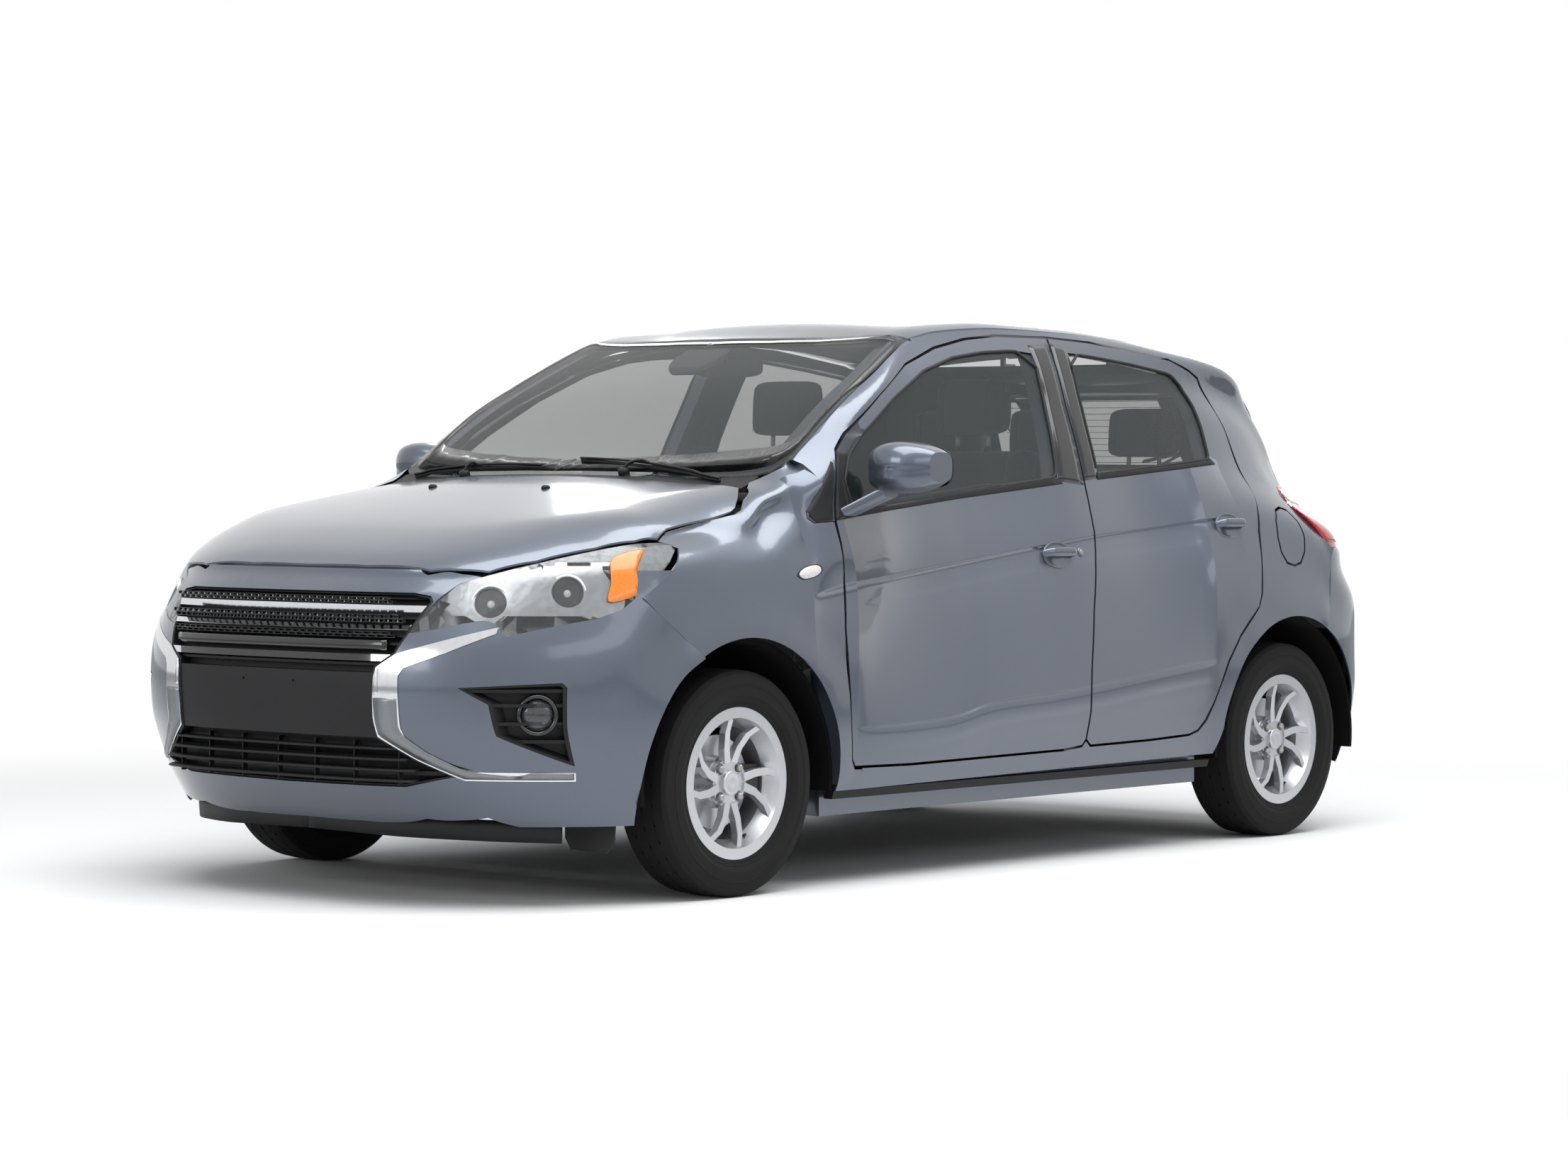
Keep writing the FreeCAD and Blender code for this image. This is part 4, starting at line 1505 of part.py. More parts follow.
route = [V(PIPE_FRONT, 0, PIPE_Z), V(PIPE_DROP_START, 0, PIPE_Z), V(PIPE_DROP_END, 0, PIPE_LOW_Z),
         V(PIPE_RISE_START, 0, PIPE_LOW_Z),
         V(PIPE_BEND_X, PIPE_BEND_Y, PIPE_LOW_Z), V(MUFFLER_FRONT - PIPE_OVERLAP, PIPE_END_Y, PIPE_Z)]
exhaust = pipe(route, PIPE_RADIUS)
muffler = box(MUFFLER_REAR, MUFFLER_FRONT, MUFFLER_RIGHT, MUFFLER_LEFT, MUFFLER_LOW, RAISED_LOW - HANGER)
strap = box(MUFFLER_REAR + HANGER * 4, MUFFLER_REAR + HANGER * 6, MUFFLER_RIGHT + HANGER,
            MUFFLER_LEFT - HANGER, RAISED_LOW - HANGER - LAP, RAISED_LOW - SEAT_GAP)
hanger = box(-HANGER, HANGER, -HANGER / 2, HANGER / 2, PIPE_Z,
             FLOOR_HEIGHT + TUNNEL_HEIGHT - TUNNEL_WALL - SEAT_GAP)
tail_pipe = rod(V(MUFFLER_REAR + LAP, TAIL_PIPE_Y, PIPE_Z), V(TAIL_PIPE_END, TAIL_PIPE_Y, PIPE_Z),
                PIPE_RADIUS)
exhaust = joined([exhaust, muffler, strap, hanger, tail_pipe])
save("exhaust", exhaust)

# Arch liners
LINER_OUT_Y = 792.0
FRONT_LINER_LOW = 246.0
REAR_LINER_LOW = 246.0
REAR_LINER_IN = 606.0
STRUT_HOLE = 76.0


def liner(axle_x, inner_y, outer_y, low_z):
    """Tube and inner wall round a wheel, open below."""
    tube = Part.makeCylinder(ARCH_RADIUS - SEAT_GAP, outer_y - inner_y, V(axle_x, inner_y, TYRE_RADIUS),
                             AXIS_Y)
    hollow = Part.makeCylinder(LINER_RADIUS, outer_y - inner_y, V(axle_x, inner_y + LINER_WALL, TYRE_RADIUS),
                               AXIS_Y)
    tube = tube.cut(hollow)
    return tube.common(box(axle_x - LENGTH, axle_x + LENGTH, 0, far_y, low_z, HEIGHT))


front_liner = liner(FRONT_AXLE, RAIL_OUTER + SEAT_GAP, LINER_OUT_Y, FRONT_LINER_LOW)
front_liner = front_liner.cut(rod(kingpin(SPRING_LOW_Z - CUT_OVERRUN), kingpin(TOWER_Z), STRUT_HOLE))
rear_liner = liner(REAR_AXLE, REAR_LINER_IN, LINER_OUT_Y, REAR_LINER_LOW)
rear_liner = rear_liner.cut(rod(V(REAR_AXLE, REAR_LINER_IN - LAP, TYRE_RADIUS),
                                V(REAR_AXLE, REAR_LINER_IN + LINER_WALL + LAP, TYRE_RADIUS),
                                REAR_HUB_RADIUS + ARM_CLEAR))
save("arch_liners", Part.makeCompound([front_liner, other_side(front_liner), rear_liner,
                                       other_side(rear_liner)]))

# Sill trims
SILL_TRIM_LOW = 224.0
SILL_TRIM_TOP = 245.0
TRIM_OVERRUN = 10.0
trim_rows = side_rows(SIDE_REAR, SIDE_FRONT, SILL_TRIM_LOW - TRIM_OVERRUN, LONG_COLUMNS, ROWS)
sill_trim = slab(trim_rows, -AXIS_Y, TRIM, TRIM * 5).common(box(SILL_REAR, SILL_FRONT, SILL_OUTER + SEAT_GAP,
        far_y, SILL_TRIM_LOW, SILL_TRIM_TOP))
save("sill_trims", Part.makeCompound([largest(sill_trim), other_side(largest(sill_trim))]))

# Dashboard with its column, and the steering wheel
DASH_REAR = 520.0
DASH_LOW = 690.0
DASH_HIGH = 985.0
DASH_HALF = 630.0
DASH_SLOPE = 90.0
DASH_KNEE = 80.0
CONSOLE_HALF = 110.0
CONSOLE_REAR = 300.0
CONSOLE_HIGH = 420.0
WHEEL_X = 322.0
WHEEL_Y = 370.0
WHEEL_Z = 925.0
WHEEL_RADIUS = 183.0
WHEEL_GRIP = 14.0
WHEEL_HUB_RADIUS = 62.0
WHEEL_HUB_DEPTH = 46.0
WHEEL_TILT = math.radians(25)
COLUMN_RADIUS = 34.0
COLUMN_LENGTH = 330.0
COLUMN_PIN = 9.0
SPOKE_BAR = 16.0
dash_line = [(BULKHEAD_REAR - SEAT_GAP, DASH_LOW), (DASH_REAR + DASH_KNEE, DASH_LOW),
             (DASH_REAR, DASH_LOW + DASH_KNEE), (DASH_REAR, DASH_HIGH - DASH_KNEE),
             (DASH_REAR + DASH_KNEE, DASH_HIGH), (BULKHEAD_REAR - DASH_SLOPE,
                                                  DASH_HIGH), (BULKHEAD_REAR - SEAT_GAP, BULKHEAD_TOP)]
dash = side_prism(dash_line, -DASH_HALF, DASH_HALF)
console = side_prism([(CONSOLE_REAR, FLOOR_HEIGHT + TUNNEL_HEIGHT + SEAT_GAP),
                      (DASH_REAR + DASH_KNEE * 2, FLOOR_HEIGHT + TUNNEL_HEIGHT + SEAT_GAP),
                      (DASH_REAR + DASH_KNEE * 2, DASH_LOW + LAP), (DASH_REAR + DASH_KNEE, DASH_LOW + LAP),
                      (CONSOLE_REAR, CONSOLE_HIGH)], -CONSOLE_HALF, CONSOLE_HALF)
wheel_way = V(math.cos(WHEEL_TILT), 0, -math.sin(WHEEL_TILT))
centre = V(WHEEL_X, WHEEL_Y, WHEEL_Z)
column = rod(centre + wheel_way * (WHEEL_HUB_DEPTH + ARM_CLEAR), centre + wheel_way * COLUMN_LENGTH,
             COLUMN_RADIUS)
column_pin = rod(centre + wheel_way * (WHEEL_HUB_DEPTH / 2),
                 centre + wheel_way * (WHEEL_HUB_DEPTH + ARM_CLEAR * 2), COLUMN_PIN)
dash = joined([dash, console, column, column_pin])
save("dashboard", (dash).cut(floor))
grip = Part.makeTorus(WHEEL_RADIUS, WHEEL_GRIP, centre, wheel_way)
hub = rod(centre, centre + wheel_way * WHEEL_HUB_DEPTH, WHEEL_HUB_RADIUS)
across_bar = rod(centre + wheel_way * SPOKE_BAR - AXIS_Y * WHEEL_RADIUS,
                 centre + wheel_way * SPOKE_BAR + AXIS_Y * WHEEL_RADIUS, SPOKE_BAR / 2)
down_way = V(-math.sin(WHEEL_TILT), 0, -math.cos(WHEEL_TILT))
down_bar = rod(centre + wheel_way * SPOKE_BAR, centre + down_way * WHEEL_RADIUS, SPOKE_BAR / 2)
steering = joined([grip, hub, across_bar, down_bar])
steering = steering.cut(rod(centre + wheel_way * (WHEEL_HUB_DEPTH / 2 - LAP),
                            centre + wheel_way * (WHEEL_HUB_DEPTH + CUT_OVERRUN), COLUMN_PIN + PIN_CLEAR))
save("steering_wheel", steering)

# Seats
SEAT_Y = 345.0
SEAT_HALF = 235.0
CUSHION_FRONT = 95.0
CUSHION_REAR = -400.0
CUSHION_LOW = 335.0
CUSHION_HIGH = 500.0
CUSHION_NOSE = 40.0
BACK_FOOT = -300.0
BACK_THICK = 135.0
BACK_TOP_X = -440.0
BACK_TOP_Z = 1125.0
HEAD_LOW_Z = 1165.0
HEAD_HIGH_Z = 1335.0
HEAD_X = -455.0
HEAD_THICK = 85.0
HEAD_HALF = 125.0
POST_RADIUS = 7.0
POST_Y = 55.0
MOUNT_HALF = 175.0
MOUNT_WIDTH = 40.0
ROUND = 30.0
BENCH_FRONT = -712.0
BENCH_REAR = -1175.0
BENCH_HALF = 590.0
BENCH_HIGH = 520.0
BENCH_NOSE = 60.0
BENCH_BACK_FOOT = -1130.0
BENCH_BACK_TOP_X = -1255.0
BENCH_BACK_TOP_Z = 1080.0
BENCH_BACK_THICK = 110.0
BENCH_HEADS_Y = (370.0, 0.0, -370.0)


def head_rest(x, y, low_z, high_z, foot_z):
    """Headrest on two posts."""
    pad = box(x - HEAD_THICK / 2, x + HEAD_THICK / 2, y - HEAD_HALF, y + HEAD_HALF, low_z, high_z)
    pad = pad.makeFillet(ROUND, pad.Edges)
    parts = [pad]
    for side_y in (y - POST_Y, y + POST_Y):
        parts.append(rod(V(x, side_y, foot_z), V(x, side_y, low_z + ROUND), POST_RADIUS))
    return parts


def front_seat(y):
    low = y - SEAT_HALF
    high = y + SEAT_HALF
    cushion = side_prism([(CUSHION_REAR, CUSHION_LOW), (CUSHION_FRONT - CUSHION_NOSE, CUSHION_LOW),
                          (CUSHION_FRONT, CUSHION_LOW + CUSHION_NOSE * 2),
                          (CUSHION_FRONT - CUSHION_NOSE, CUSHION_HIGH + CUSHION_NOSE / 2),
                          (BACK_FOOT, CUSHION_HIGH), (CUSHION_REAR, CUSHION_HIGH)], low, high)
    back = side_prism([(BACK_FOOT, CUSHION_HIGH - CUSHION_NOSE), (BACK_TOP_X + BACK_THICK / 4, BACK_TOP_Z),
                       (BACK_TOP_X - BACK_THICK / 2, BACK_TOP_Z),
                       (BACK_FOOT - BACK_THICK, CUSHION_HIGH - CUSHION_NOSE)], low, high)
    parts = [cushion, back] + head_rest(HEAD_X, y, HEAD_LOW_Z, HEAD_HIGH_Z, BACK_TOP_Z - ROUND)
    for middle in (y - MOUNT_HALF, y + MOUNT_HALF):
        parts.append(box(CUSHION_REAR + MOUNT_WIDTH, CUSHION_FRONT - MOUNT_WIDTH * 2,
                         middle - MOUNT_WIDTH / 2, middle + MOUNT_WIDTH / 2,
                         FLOOR_HEIGHT + FLOOR_THICK + SEAT_GAP, CUSHION_LOW + LAP))
    return joined(parts)


for name, y in (("front_seat_left", SEAT_Y), ("front_seat_right", -SEAT_Y)):
    seat = front_seat(y)
    save(name, seat)
bench = side_prism([(BENCH_REAR, RAISED_HIGH + SEAT_GAP), (BENCH_FRONT - BENCH_NOSE, RAISED_HIGH + SEAT_GAP),
                    (BENCH_FRONT, RAISED_HIGH + BENCH_NOSE), (BENCH_FRONT, BENCH_HIGH - BENCH_NOSE / 2),
                    (BENCH_FRONT - BENCH_NOSE, BENCH_HIGH), (BENCH_REAR, BENCH_HIGH - BENCH_NOSE / 2)],
                   -BENCH_HALF, BENCH_HALF)
bench_back = side_prism([(BENCH_BACK_FOOT, BENCH_HIGH - BENCH_NOSE),
                         (BENCH_BACK_TOP_X + BENCH_BACK_THICK / 2, BENCH_BACK_TOP_Z),
                         (BENCH_BACK_TOP_X - BENCH_BACK_THICK / 2, BENCH_BACK_TOP_Z),
                         (BENCH_BACK_FOOT - BENCH_BACK_THICK, BENCH_HIGH - BENCH_NOSE),
                         (BENCH_BACK_FOOT - BENCH_BACK_THICK, RAISED_HIGH + SEAT_GAP),
                         (BENCH_BACK_FOOT, RAISED_HIGH + SEAT_GAP)], -BENCH_HALF, BENCH_HALF)
parts = [bench, bench_back]
for y in BENCH_HEADS_Y:
    parts += head_rest(BENCH_BACK_TOP_X, y, BENCH_BACK_TOP_Z + ROUND, BENCH_BACK_TOP_Z + HEAD_HALF * 3 / 2,
                       BENCH_BACK_TOP_Z - ROUND)
bench = joined(parts)
save("rear_bench", bench)

# Door mirrors
MIRROR_SECTIONS = ((800.0, 478.0, 575.0, 1020.0, 1122.0), (850.0, 446.0, 590.0, 1006.0, 1139.0),
                   (925.0, 434.0, 578.0, 1014.0, 1132.0), (966.0, 438.0, 530.0, 1036.0, 1112.0))
MIRROR_SIDES = 16
STALK_LOW = (757.0, 590.0, 646.0, 938.0, 968.0)
STALK_HIGH = (840.0, 500.0, 560.0, 996.0, 1030.0)


OVAL_POWER = 0.6


def oval(y, x0, x1, z0, z1):
    """Rounded closed wire in a plane across the car."""
    points = []
    for i in range(MIRROR_SIDES):
        a = 2 * math.pi * i / MIRROR_SIDES
        cx = math.copysign(abs(math.cos(a)) ** OVAL_POWER, math.cos(a))
        cz = math.copysign(abs(math.sin(a)) ** OVAL_POWER, math.sin(a))
        points.append(V((x0 + x1) / 2 + cx * (x1 - x0) / 2, y, (z0 + z1) / 2 + cz * (z1 - z0) / 2))
    curve = Part.BSplineCurve()
    curve.interpolate(points, PeriodicFlag=True)
    return Part.Wire(curve.toShape())


mirror = Part.makeLoft([oval(*section) for section in MIRROR_SECTIONS], True)
stalk = Part.makeLoft([oval(*STALK_LOW), oval(*STALK_HIGH)], True, True)
stalk = stalk.cut(slab(front_rows, -AXIS_Y, -SEAT_GAP, SIDE_DEPTH))
mirror = mirror.fuse(stalk)
mirror = largest(mirror)
save("mirror_left", mirror)
save("mirror_right", other_side(mirror))
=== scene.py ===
from math import copysign, cos, exp, pi, radians, sin
import bmesh
import bpy
from mathutils import Matrix, Vector
from mathutils.bvhtree import BVHTree


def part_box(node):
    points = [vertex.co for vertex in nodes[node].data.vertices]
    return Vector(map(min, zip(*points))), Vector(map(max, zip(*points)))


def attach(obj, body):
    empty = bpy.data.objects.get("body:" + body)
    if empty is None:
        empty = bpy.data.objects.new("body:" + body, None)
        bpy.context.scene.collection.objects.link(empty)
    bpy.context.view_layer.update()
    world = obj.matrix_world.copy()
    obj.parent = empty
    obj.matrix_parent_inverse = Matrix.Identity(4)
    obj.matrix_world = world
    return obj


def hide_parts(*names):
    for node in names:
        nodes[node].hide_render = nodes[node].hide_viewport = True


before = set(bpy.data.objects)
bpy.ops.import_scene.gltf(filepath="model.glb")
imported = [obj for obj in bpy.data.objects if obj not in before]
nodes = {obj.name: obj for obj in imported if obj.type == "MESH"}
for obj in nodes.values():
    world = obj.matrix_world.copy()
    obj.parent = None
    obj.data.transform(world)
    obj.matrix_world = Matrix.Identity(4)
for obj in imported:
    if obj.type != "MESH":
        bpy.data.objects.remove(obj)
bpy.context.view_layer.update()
MM = 0.001
SIDES = (("left", 1), ("right", -1))
UP = Vector((0, 0, 1))
AHEAD = Vector((1, 0, 0))
OUT = Vector((0, 1, 0))


# Materials
def add_node(tree, kind, sockets=()):
    """New shader node whose sockets take a value, or a link from another node's output."""
    node = tree.nodes.new("ShaderNode" + kind)
    for key, value in dict(sockets).items():
        if isinstance(value, bpy.types.NodeSocket):
            tree.links.new(value, node.inputs[key])
        else:
            node.inputs[key].default_value = value
    return node


def math_node(tree, operation, *values):
    node = add_node(tree, "Math", dict(enumerate(values)))
    node.operation = operation
    return node.outputs[0]


def split(tree, kind):
    """X, Y and Z of the point or direction that a material sees in the piece's own frame."""
    place = add_node(tree, "TexCoord")
    return add_node(tree, "SeparateXYZ", {0: place.outputs[kind]}).outputs


NOISE_DETAIL = 3.0
PLASTIC_IOR = 1.45
PAINT_COAT_ROUGH = 0.1


def material(name, color, rough=0.5, metal=0.0, coat=0.0, bump=0.0, scale=300.0, change=0.15, sheen=0.0,
             spec=0.5, alpha=1.0):
    """Procedural finish whose colour, and relief where bump is given, follow fine noise."""
    mat = bpy.data.materials.new(name)
    mat.use_nodes = True
    tree = mat.node_tree
    shader = tree.nodes["Principled BSDF"]
    settings = {"Roughness": rough, "Metallic": metal, "Coat Weight": coat, "Sheen Weight": sheen,
                "Specular IOR Level": spec, "Alpha": alpha, "IOR": PLASTIC_IOR}
    if name.startswith("paint"):
        settings["Coat Roughness"] = PAINT_COAT_ROUGH
    for key, value in settings.items():
        shader.inputs[key].default_value = value
    place = add_node(tree, "TexCoord").outputs["Object"]
    noise = add_node(tree, "TexNoise", {"Scale": scale, "Detail": NOISE_DETAIL, "Vector": place}).outputs["Fac"]
    ramp = add_node(tree, "ValToRGB", {"Fac": noise})
    for element, position, share in zip(ramp.color_ramp.elements, (0.3, 0.7), (1 - change, 1 + change)):
        element.position = position
        element.color = (*[min(1.0, c * share) for c in color], 1)
    tree.links.new(ramp.outputs["Color"], shader.inputs["Base Color"])
    if bump > 0:
        relief = add_node(tree, "Bump", {"Strength": bump, "Distance": MM, "Height": noise})
        tree.links.new(relief.outputs["Normal"], shader.inputs["Normal"])
    return mat


PAINT_COLOR = (0.088, 0.105, 0.138)
TRIM_COLOR = (0.035, 0.036, 0.038)
PAINT_ROUGH = 0.3
PAINT_METAL = 0.7
INNER_ROUGH = 0.75
FACING = 0.35


def paint(name, rough=PAINT_ROUGH):
    return material(name, PAINT_COLOR, rough=rough, metal=PAINT_METAL, coat=1.0, scale=2600.0, change=0.22)


def two_finish(name, inner_color, facing):
    """Body paint outside and cabin trim on faces that look inwards."""
    mat = paint(name)
    tree = mat.node_tree
    shader = tree.nodes["Principled BSDF"]
    normal = split(tree, "Normal")
    if facing == "down":
        mask = math_node(tree, "LESS_THAN", normal["Z"], -FACING)
    elif facing == "side":
        inward = math_node(tree, "MULTIPLY", normal["Y"], math_node(tree, "SIGN", split(tree, "Object")["Y"]))
        mask = math_node(tree, "LESS_THAN", inward, -FACING)
    else:
        mask = math_node(tree, "GREATER_THAN", normal["X"], FACING)
    blend = add_node(tree, "Mix")
    blend.data_type = "RGBA"
    tree.links.new(mask, blend.inputs["Factor"])
    tree.links.new(tree.nodes["Color Ramp"].outputs["Color"], blend.inputs["A"])
    blend.inputs["B"].default_value = (*inner_color, 1)
    tree.links.new(blend.outputs["Result"], shader.inputs["Base Color"])
    for socket, outer, inner in (("Roughness", PAINT_ROUGH, INNER_ROUGH), ("Metallic", PAINT_METAL, 0.0),
                                 ("Coat Weight", 1.0, 0.0)):
        change = math_node(tree, "MULTIPLY_ADD", mask, inner - outer, outer)
        tree.links.new(change, shader.inputs[socket])
    return mat


# Pressed lines along the doors: an undercut below the shoulder and a ledge above the sill
UNDERCUT = ((-1150, 948), (-1010, 942), (-705, 918), (-405, 896), (-286, 884), (100, 844), (425, 809), (494, 801),
            (687, 779), (813, 756))
UNDERCUT_DEPTH = ((-1150, 0), (-1050, 5), (-700, 9), (-286, 13), (100, 16), (600, 17), (760, 10), (813, 0))
LEDGE = ((-980, 540), (-839, 531), (-376, 487), (-246, 476), (85, 455), (219, 430), (400, 418), (640, 414))
LEDGE_DEPTH = ((-980, 0), (-900, 8), (-300, 14), (200, 15), (520, 9), (640, 0))
PRESS_REACH = 260.0
PRESS_SHAPE = ((0.0, 0.0), (0.02, 0.1), (0.1, 0.96), (0.14, 1.0), (0.3, 0.72), (0.6, 0.25), (1.0, 0.0))
PRESS_SIDE = 0.7


def float_curve(tree, table, value):
    """Curve through pairs that run from 0 to 1."""
    curve = add_node(tree, "FloatCurve", {"Value": value})
    line = curve.mapping.curves[0]
    line.points[0].location = table[0]
    line.points[-1].location = table[-1]
    for place in table[1:-1]:
        line.points.new(*place)
    curve.mapping.update()
    return curve.outputs["Value"]


def table_curve(tree, table, value):
    """Height that follows a table of X and Z, both in millimetres, along X."""
    low, high = table[0][0], table[-1][0]
    reach = add_node(tree, "MapRange", {"From Min": low * MM, "From Max": high * MM, "Value": value})
    pairs = [((x - low) / (high - low), z * MM) for x, z in table]
    return float_curve(tree, pairs, reach.outputs["Result"])


def pressed_lines(mat):
    tree = mat.node_tree
    shader = tree.nodes["Principled BSDF"]
    point = split(tree, "Object")
    reliefs = []
    for edge, depth in ((UNDERCUT, UNDERCUT_DEPTH), (LEDGE, LEDGE_DEPTH)):
        below = math_node(tree, "SUBTRACT", table_curve(tree, edge, point["X"]), point["Z"])
        shape = float_curve(tree, PRESS_SHAPE, math_node(tree, "DIVIDE", below, PRESS_REACH * MM))
        reliefs.append(math_node(tree, "MULTIPLY", shape, table_curve(tree, depth, point["X"])))
    relief = math_node(tree, "SUBTRACT", reliefs[1], reliefs[0])
    outer = math_node(tree, "GREATER_THAN", math_node(tree, "ABSOLUTE", point["Y"]), PRESS_SIDE)
    bump = add_node(tree, "Bump", {"Strength": 1.0, "Distance": 1.0,
                                   "Height": math_node(tree, "MULTIPLY", relief, outer)})
    tree.links.new(bump.outputs["Normal"], shader.inputs["Normal"])
    tree.links.new(bump.outputs["Normal"], shader.inputs["Coat Normal"])


PAINT = paint("paint_blue_grey", 0.34)
PAINT_SIDE = two_finish("paint_with_side_trim", TRIM_COLOR, "side")
PAINT_ROOF = two_finish("paint_with_headliner", (0.36, 0.36, 0.35), "down")
PAINT_TAIL = two_finish("paint_with_tail_trim", TRIM_COLOR, "front")
PAINT_DOOR = two_finish("paint_with_door_trim", TRIM_COLOR, "side")
pressed_lines(PAINT_DOOR)
PAINT_FENDER = paint("paint_fender")
pressed_lines(PAINT_FENDER)
GLASS = material("window_glass", (0.03, 0.04, 0.04), rough=0.0, alpha=0.3, spec=1.0, coat=0.3, scale=3.0,
                 change=0.02)
BLACK = material("black_grained", (0.009, 0.009, 0.01), spec=0.3, rough=0.55, bump=0.25, scale=900.0)
GLOSS_BLACK = material("black_gloss", (0.008, 0.008, 0.009), rough=0.15, coat=0.5, scale=40.0)
RUBBER = material("rubber_seal", (0.012, 0.012, 0.012), rough=0.7, bump=0.15, scale=500.0)
CHROME = material("chrome_bright", (0.66, 0.67, 0.69), rough=0.12, metal=1.0, bump=0.01, scale=60.0, change=0.03)
SATIN = material("satin_grey", (0.2, 0.21, 0.22), rough=0.35, metal=0.8, bump=0.03, scale=900.0)
LENS = material("lamp_lens", (0.3, 0.31, 0.32), rough=0.02, alpha=0.1, spec=0.8, scale=5.0, change=0.02)
LAMP_INSIDE = material("lamp_housing", (0.3, 0.31, 0.32), rough=0.25, metal=0.8, change=0.1, scale=60.0)
BOWL = material("lamp_reflector", (0.88, 0.89, 0.91), rough=0.12, metal=0.6, bump=0.02, scale=80.0, change=0.04)
AMBER = material("amber_plastic", (0.72, 0.2, 0.012), rough=0.2, coat=0.5, bump=0.2, scale=400.0)
RED = material("tail_red", (0.35, 0.008, 0.01), rough=0.12, coat=1.0, change=0.1, scale=120.0)
WHITE_LENS = material("tail_white", (0.62, 0.6, 0.6), rough=0.15, coat=1.0, bump=0.1, scale=200.0)
ALLOY = material("wheel_silver", (0.5, 0.51, 0.53), rough=0.3, metal=0.8, coat=0.5, change=0.08, scale=1500.0)
TYRE = material("tyre_rubber", (0.009, 0.009, 0.009), spec=0.25, rough=0.8, bump=0.3, scale=700.0, change=0.25)
STEEL = material("steel_plain", (0.35, 0.34, 0.33), rough=0.4, metal=0.9, bump=0.1)
CAST = material("cast_iron", (0.09, 0.085, 0.08), rough=0.65, metal=0.6, bump=0.4, scale=400.0, change=0.3)
DARK_METAL = material("dark_metal", (0.03, 0.03, 0.032), metal=0.3, bump=0.1, change=0.2)
FELT = material("liner_felt", (0.006, 0.006, 0.006), spec=0.1, rough=0.95, bump=0.6, scale=1200.0, change=0.3)
INTERIOR = material("cabin_plastic", TRIM_COLOR, rough=0.6, bump=0.35, scale=1100.0)
CARPET = material("cabin_carpet", (0.02, 0.02, 0.021), rough=0.95, bump=0.8, scale=1500.0, change=0.35, sheen=0.3)
FABRIC = material("seat_fabric", (0.05, 0.051, 0.056), rough=0.9, bump=0.5, scale=1800.0, change=0.35, sheen=0.4)
SIDE_FABRIC = material("seat_side_fabric", (0.028, 0.028, 0.03), rough=0.85, bump=0.4, scale=1500.0, sheen=0.3)
MIRROR = material("mirror_glass", (0.75, 0.77, 0.8), rough=0.03, metal=1.0, scale=4.0, change=0.01)
FRIT = material("screen_border", (0.006, 0.006, 0.007), rough=0.2, coat=0.4, scale=60.0)
SCREEN = material("display_glass", (0.01, 0.012, 0.016), rough=0.1, coat=0.8, scale=20.0)
BELT = material("belt_webbing", (0.02, 0.02, 0.021), rough=0.8, bump=0.6, scale=900.0, sheen=0.2)
PAD_SOFT = material("dashboard_skin", (0.022, 0.022, 0.024), rough=0.7, bump=0.5, scale=900.0)
PLATE = material("blank_plate", (0.6, 0.6, 0.58), rough=0.35, metal=0.2, coat=0.3, scale=200.0, change=0.05)

# The first name that a node starts with gives its finish, and paint is left for the others
NODE_FINISHES = (
    (GLASS, "glass windscreen tailgate_glass"), (PAINT_DOOR, "door"), (PAINT_SIDE, "side_frame"),
    (PAINT_FENDER, "front_fender"), (CHROME, "grille_trim"), (LENS, "headlamp_lenses"), (LAMP_INSIDE, "headlamps"),
    (RED, "tail_lamps"), (STEEL, "exhaust"), (CAST, "engine_block knuckle"), (FELT, "arch_liners"),
    (PAINT_ROOF, "roof"), (PAINT_TAIL, "tailgate"), (FABRIC, "rear_bench front_seat"), (CARPET, "floor_pan"),
    (TYRE, "tyre"), (ALLOY, "rim"), (BLACK, "grille cowl_panel fog_lamps sill_trims"),
    (INTERIOR, "dashboard steering_wheel"), (DARK_METAL, "front_subframe rear_axle fuel_tank radiator_support"))
for name, node in nodes.items():
    finish = next((mat for mat, starts in NODE_FINISHES if name.startswith(tuple(starts.split()))), PAINT)
    node.data.materials.clear()
    node.data.materials.append(finish)
trim = nodes["grille_trim"].data
trim.materials.append(GLOSS_BLACK)
for face in trim.polygons:
    if 0.6 < face.center.z < 0.635 and abs(face.center.y) < 0.345:
        face.material_index = 1
under = nodes["floor_pan"].data
under.materials.append(PAINT)
under.materials.append(DARK_METAL)
for face in under.polygons:
    if face.center.x > 0.83:
        face.material_index = 1
    elif face.normal.z < -0.3:
        face.material_index = 2


# Tools for making pieces
def mm(x, y, z):
    return Vector((x, y, z)) * MM


def points(*places):
    """Places in millimetres as points in metres."""
    return [mm(*place) for place in places]


def side_points(y, *places):
    """Places given by X and Z in millimetres, at one distance from the middle."""
    return [mm(x, y, z) for x, z in places]


def end_points(x, *places):
    """Places given by Y and Z in millimetres, at one distance along the car."""
    return [mm(x, y, z) for y, z in places]


def oval(count, wide, tall, power=1.0):
    """Pairs round an oval of these half sizes, squarer where power is small."""
    pairs = []
    for k in range(count):
        u, v = cos(2 * pi * k / count), sin(2 * pi * k / count)
        pairs.append((copysign(abs(u) ** power, u) * wide, copysign(abs(v) ** power, v) * tall))
    return pairs


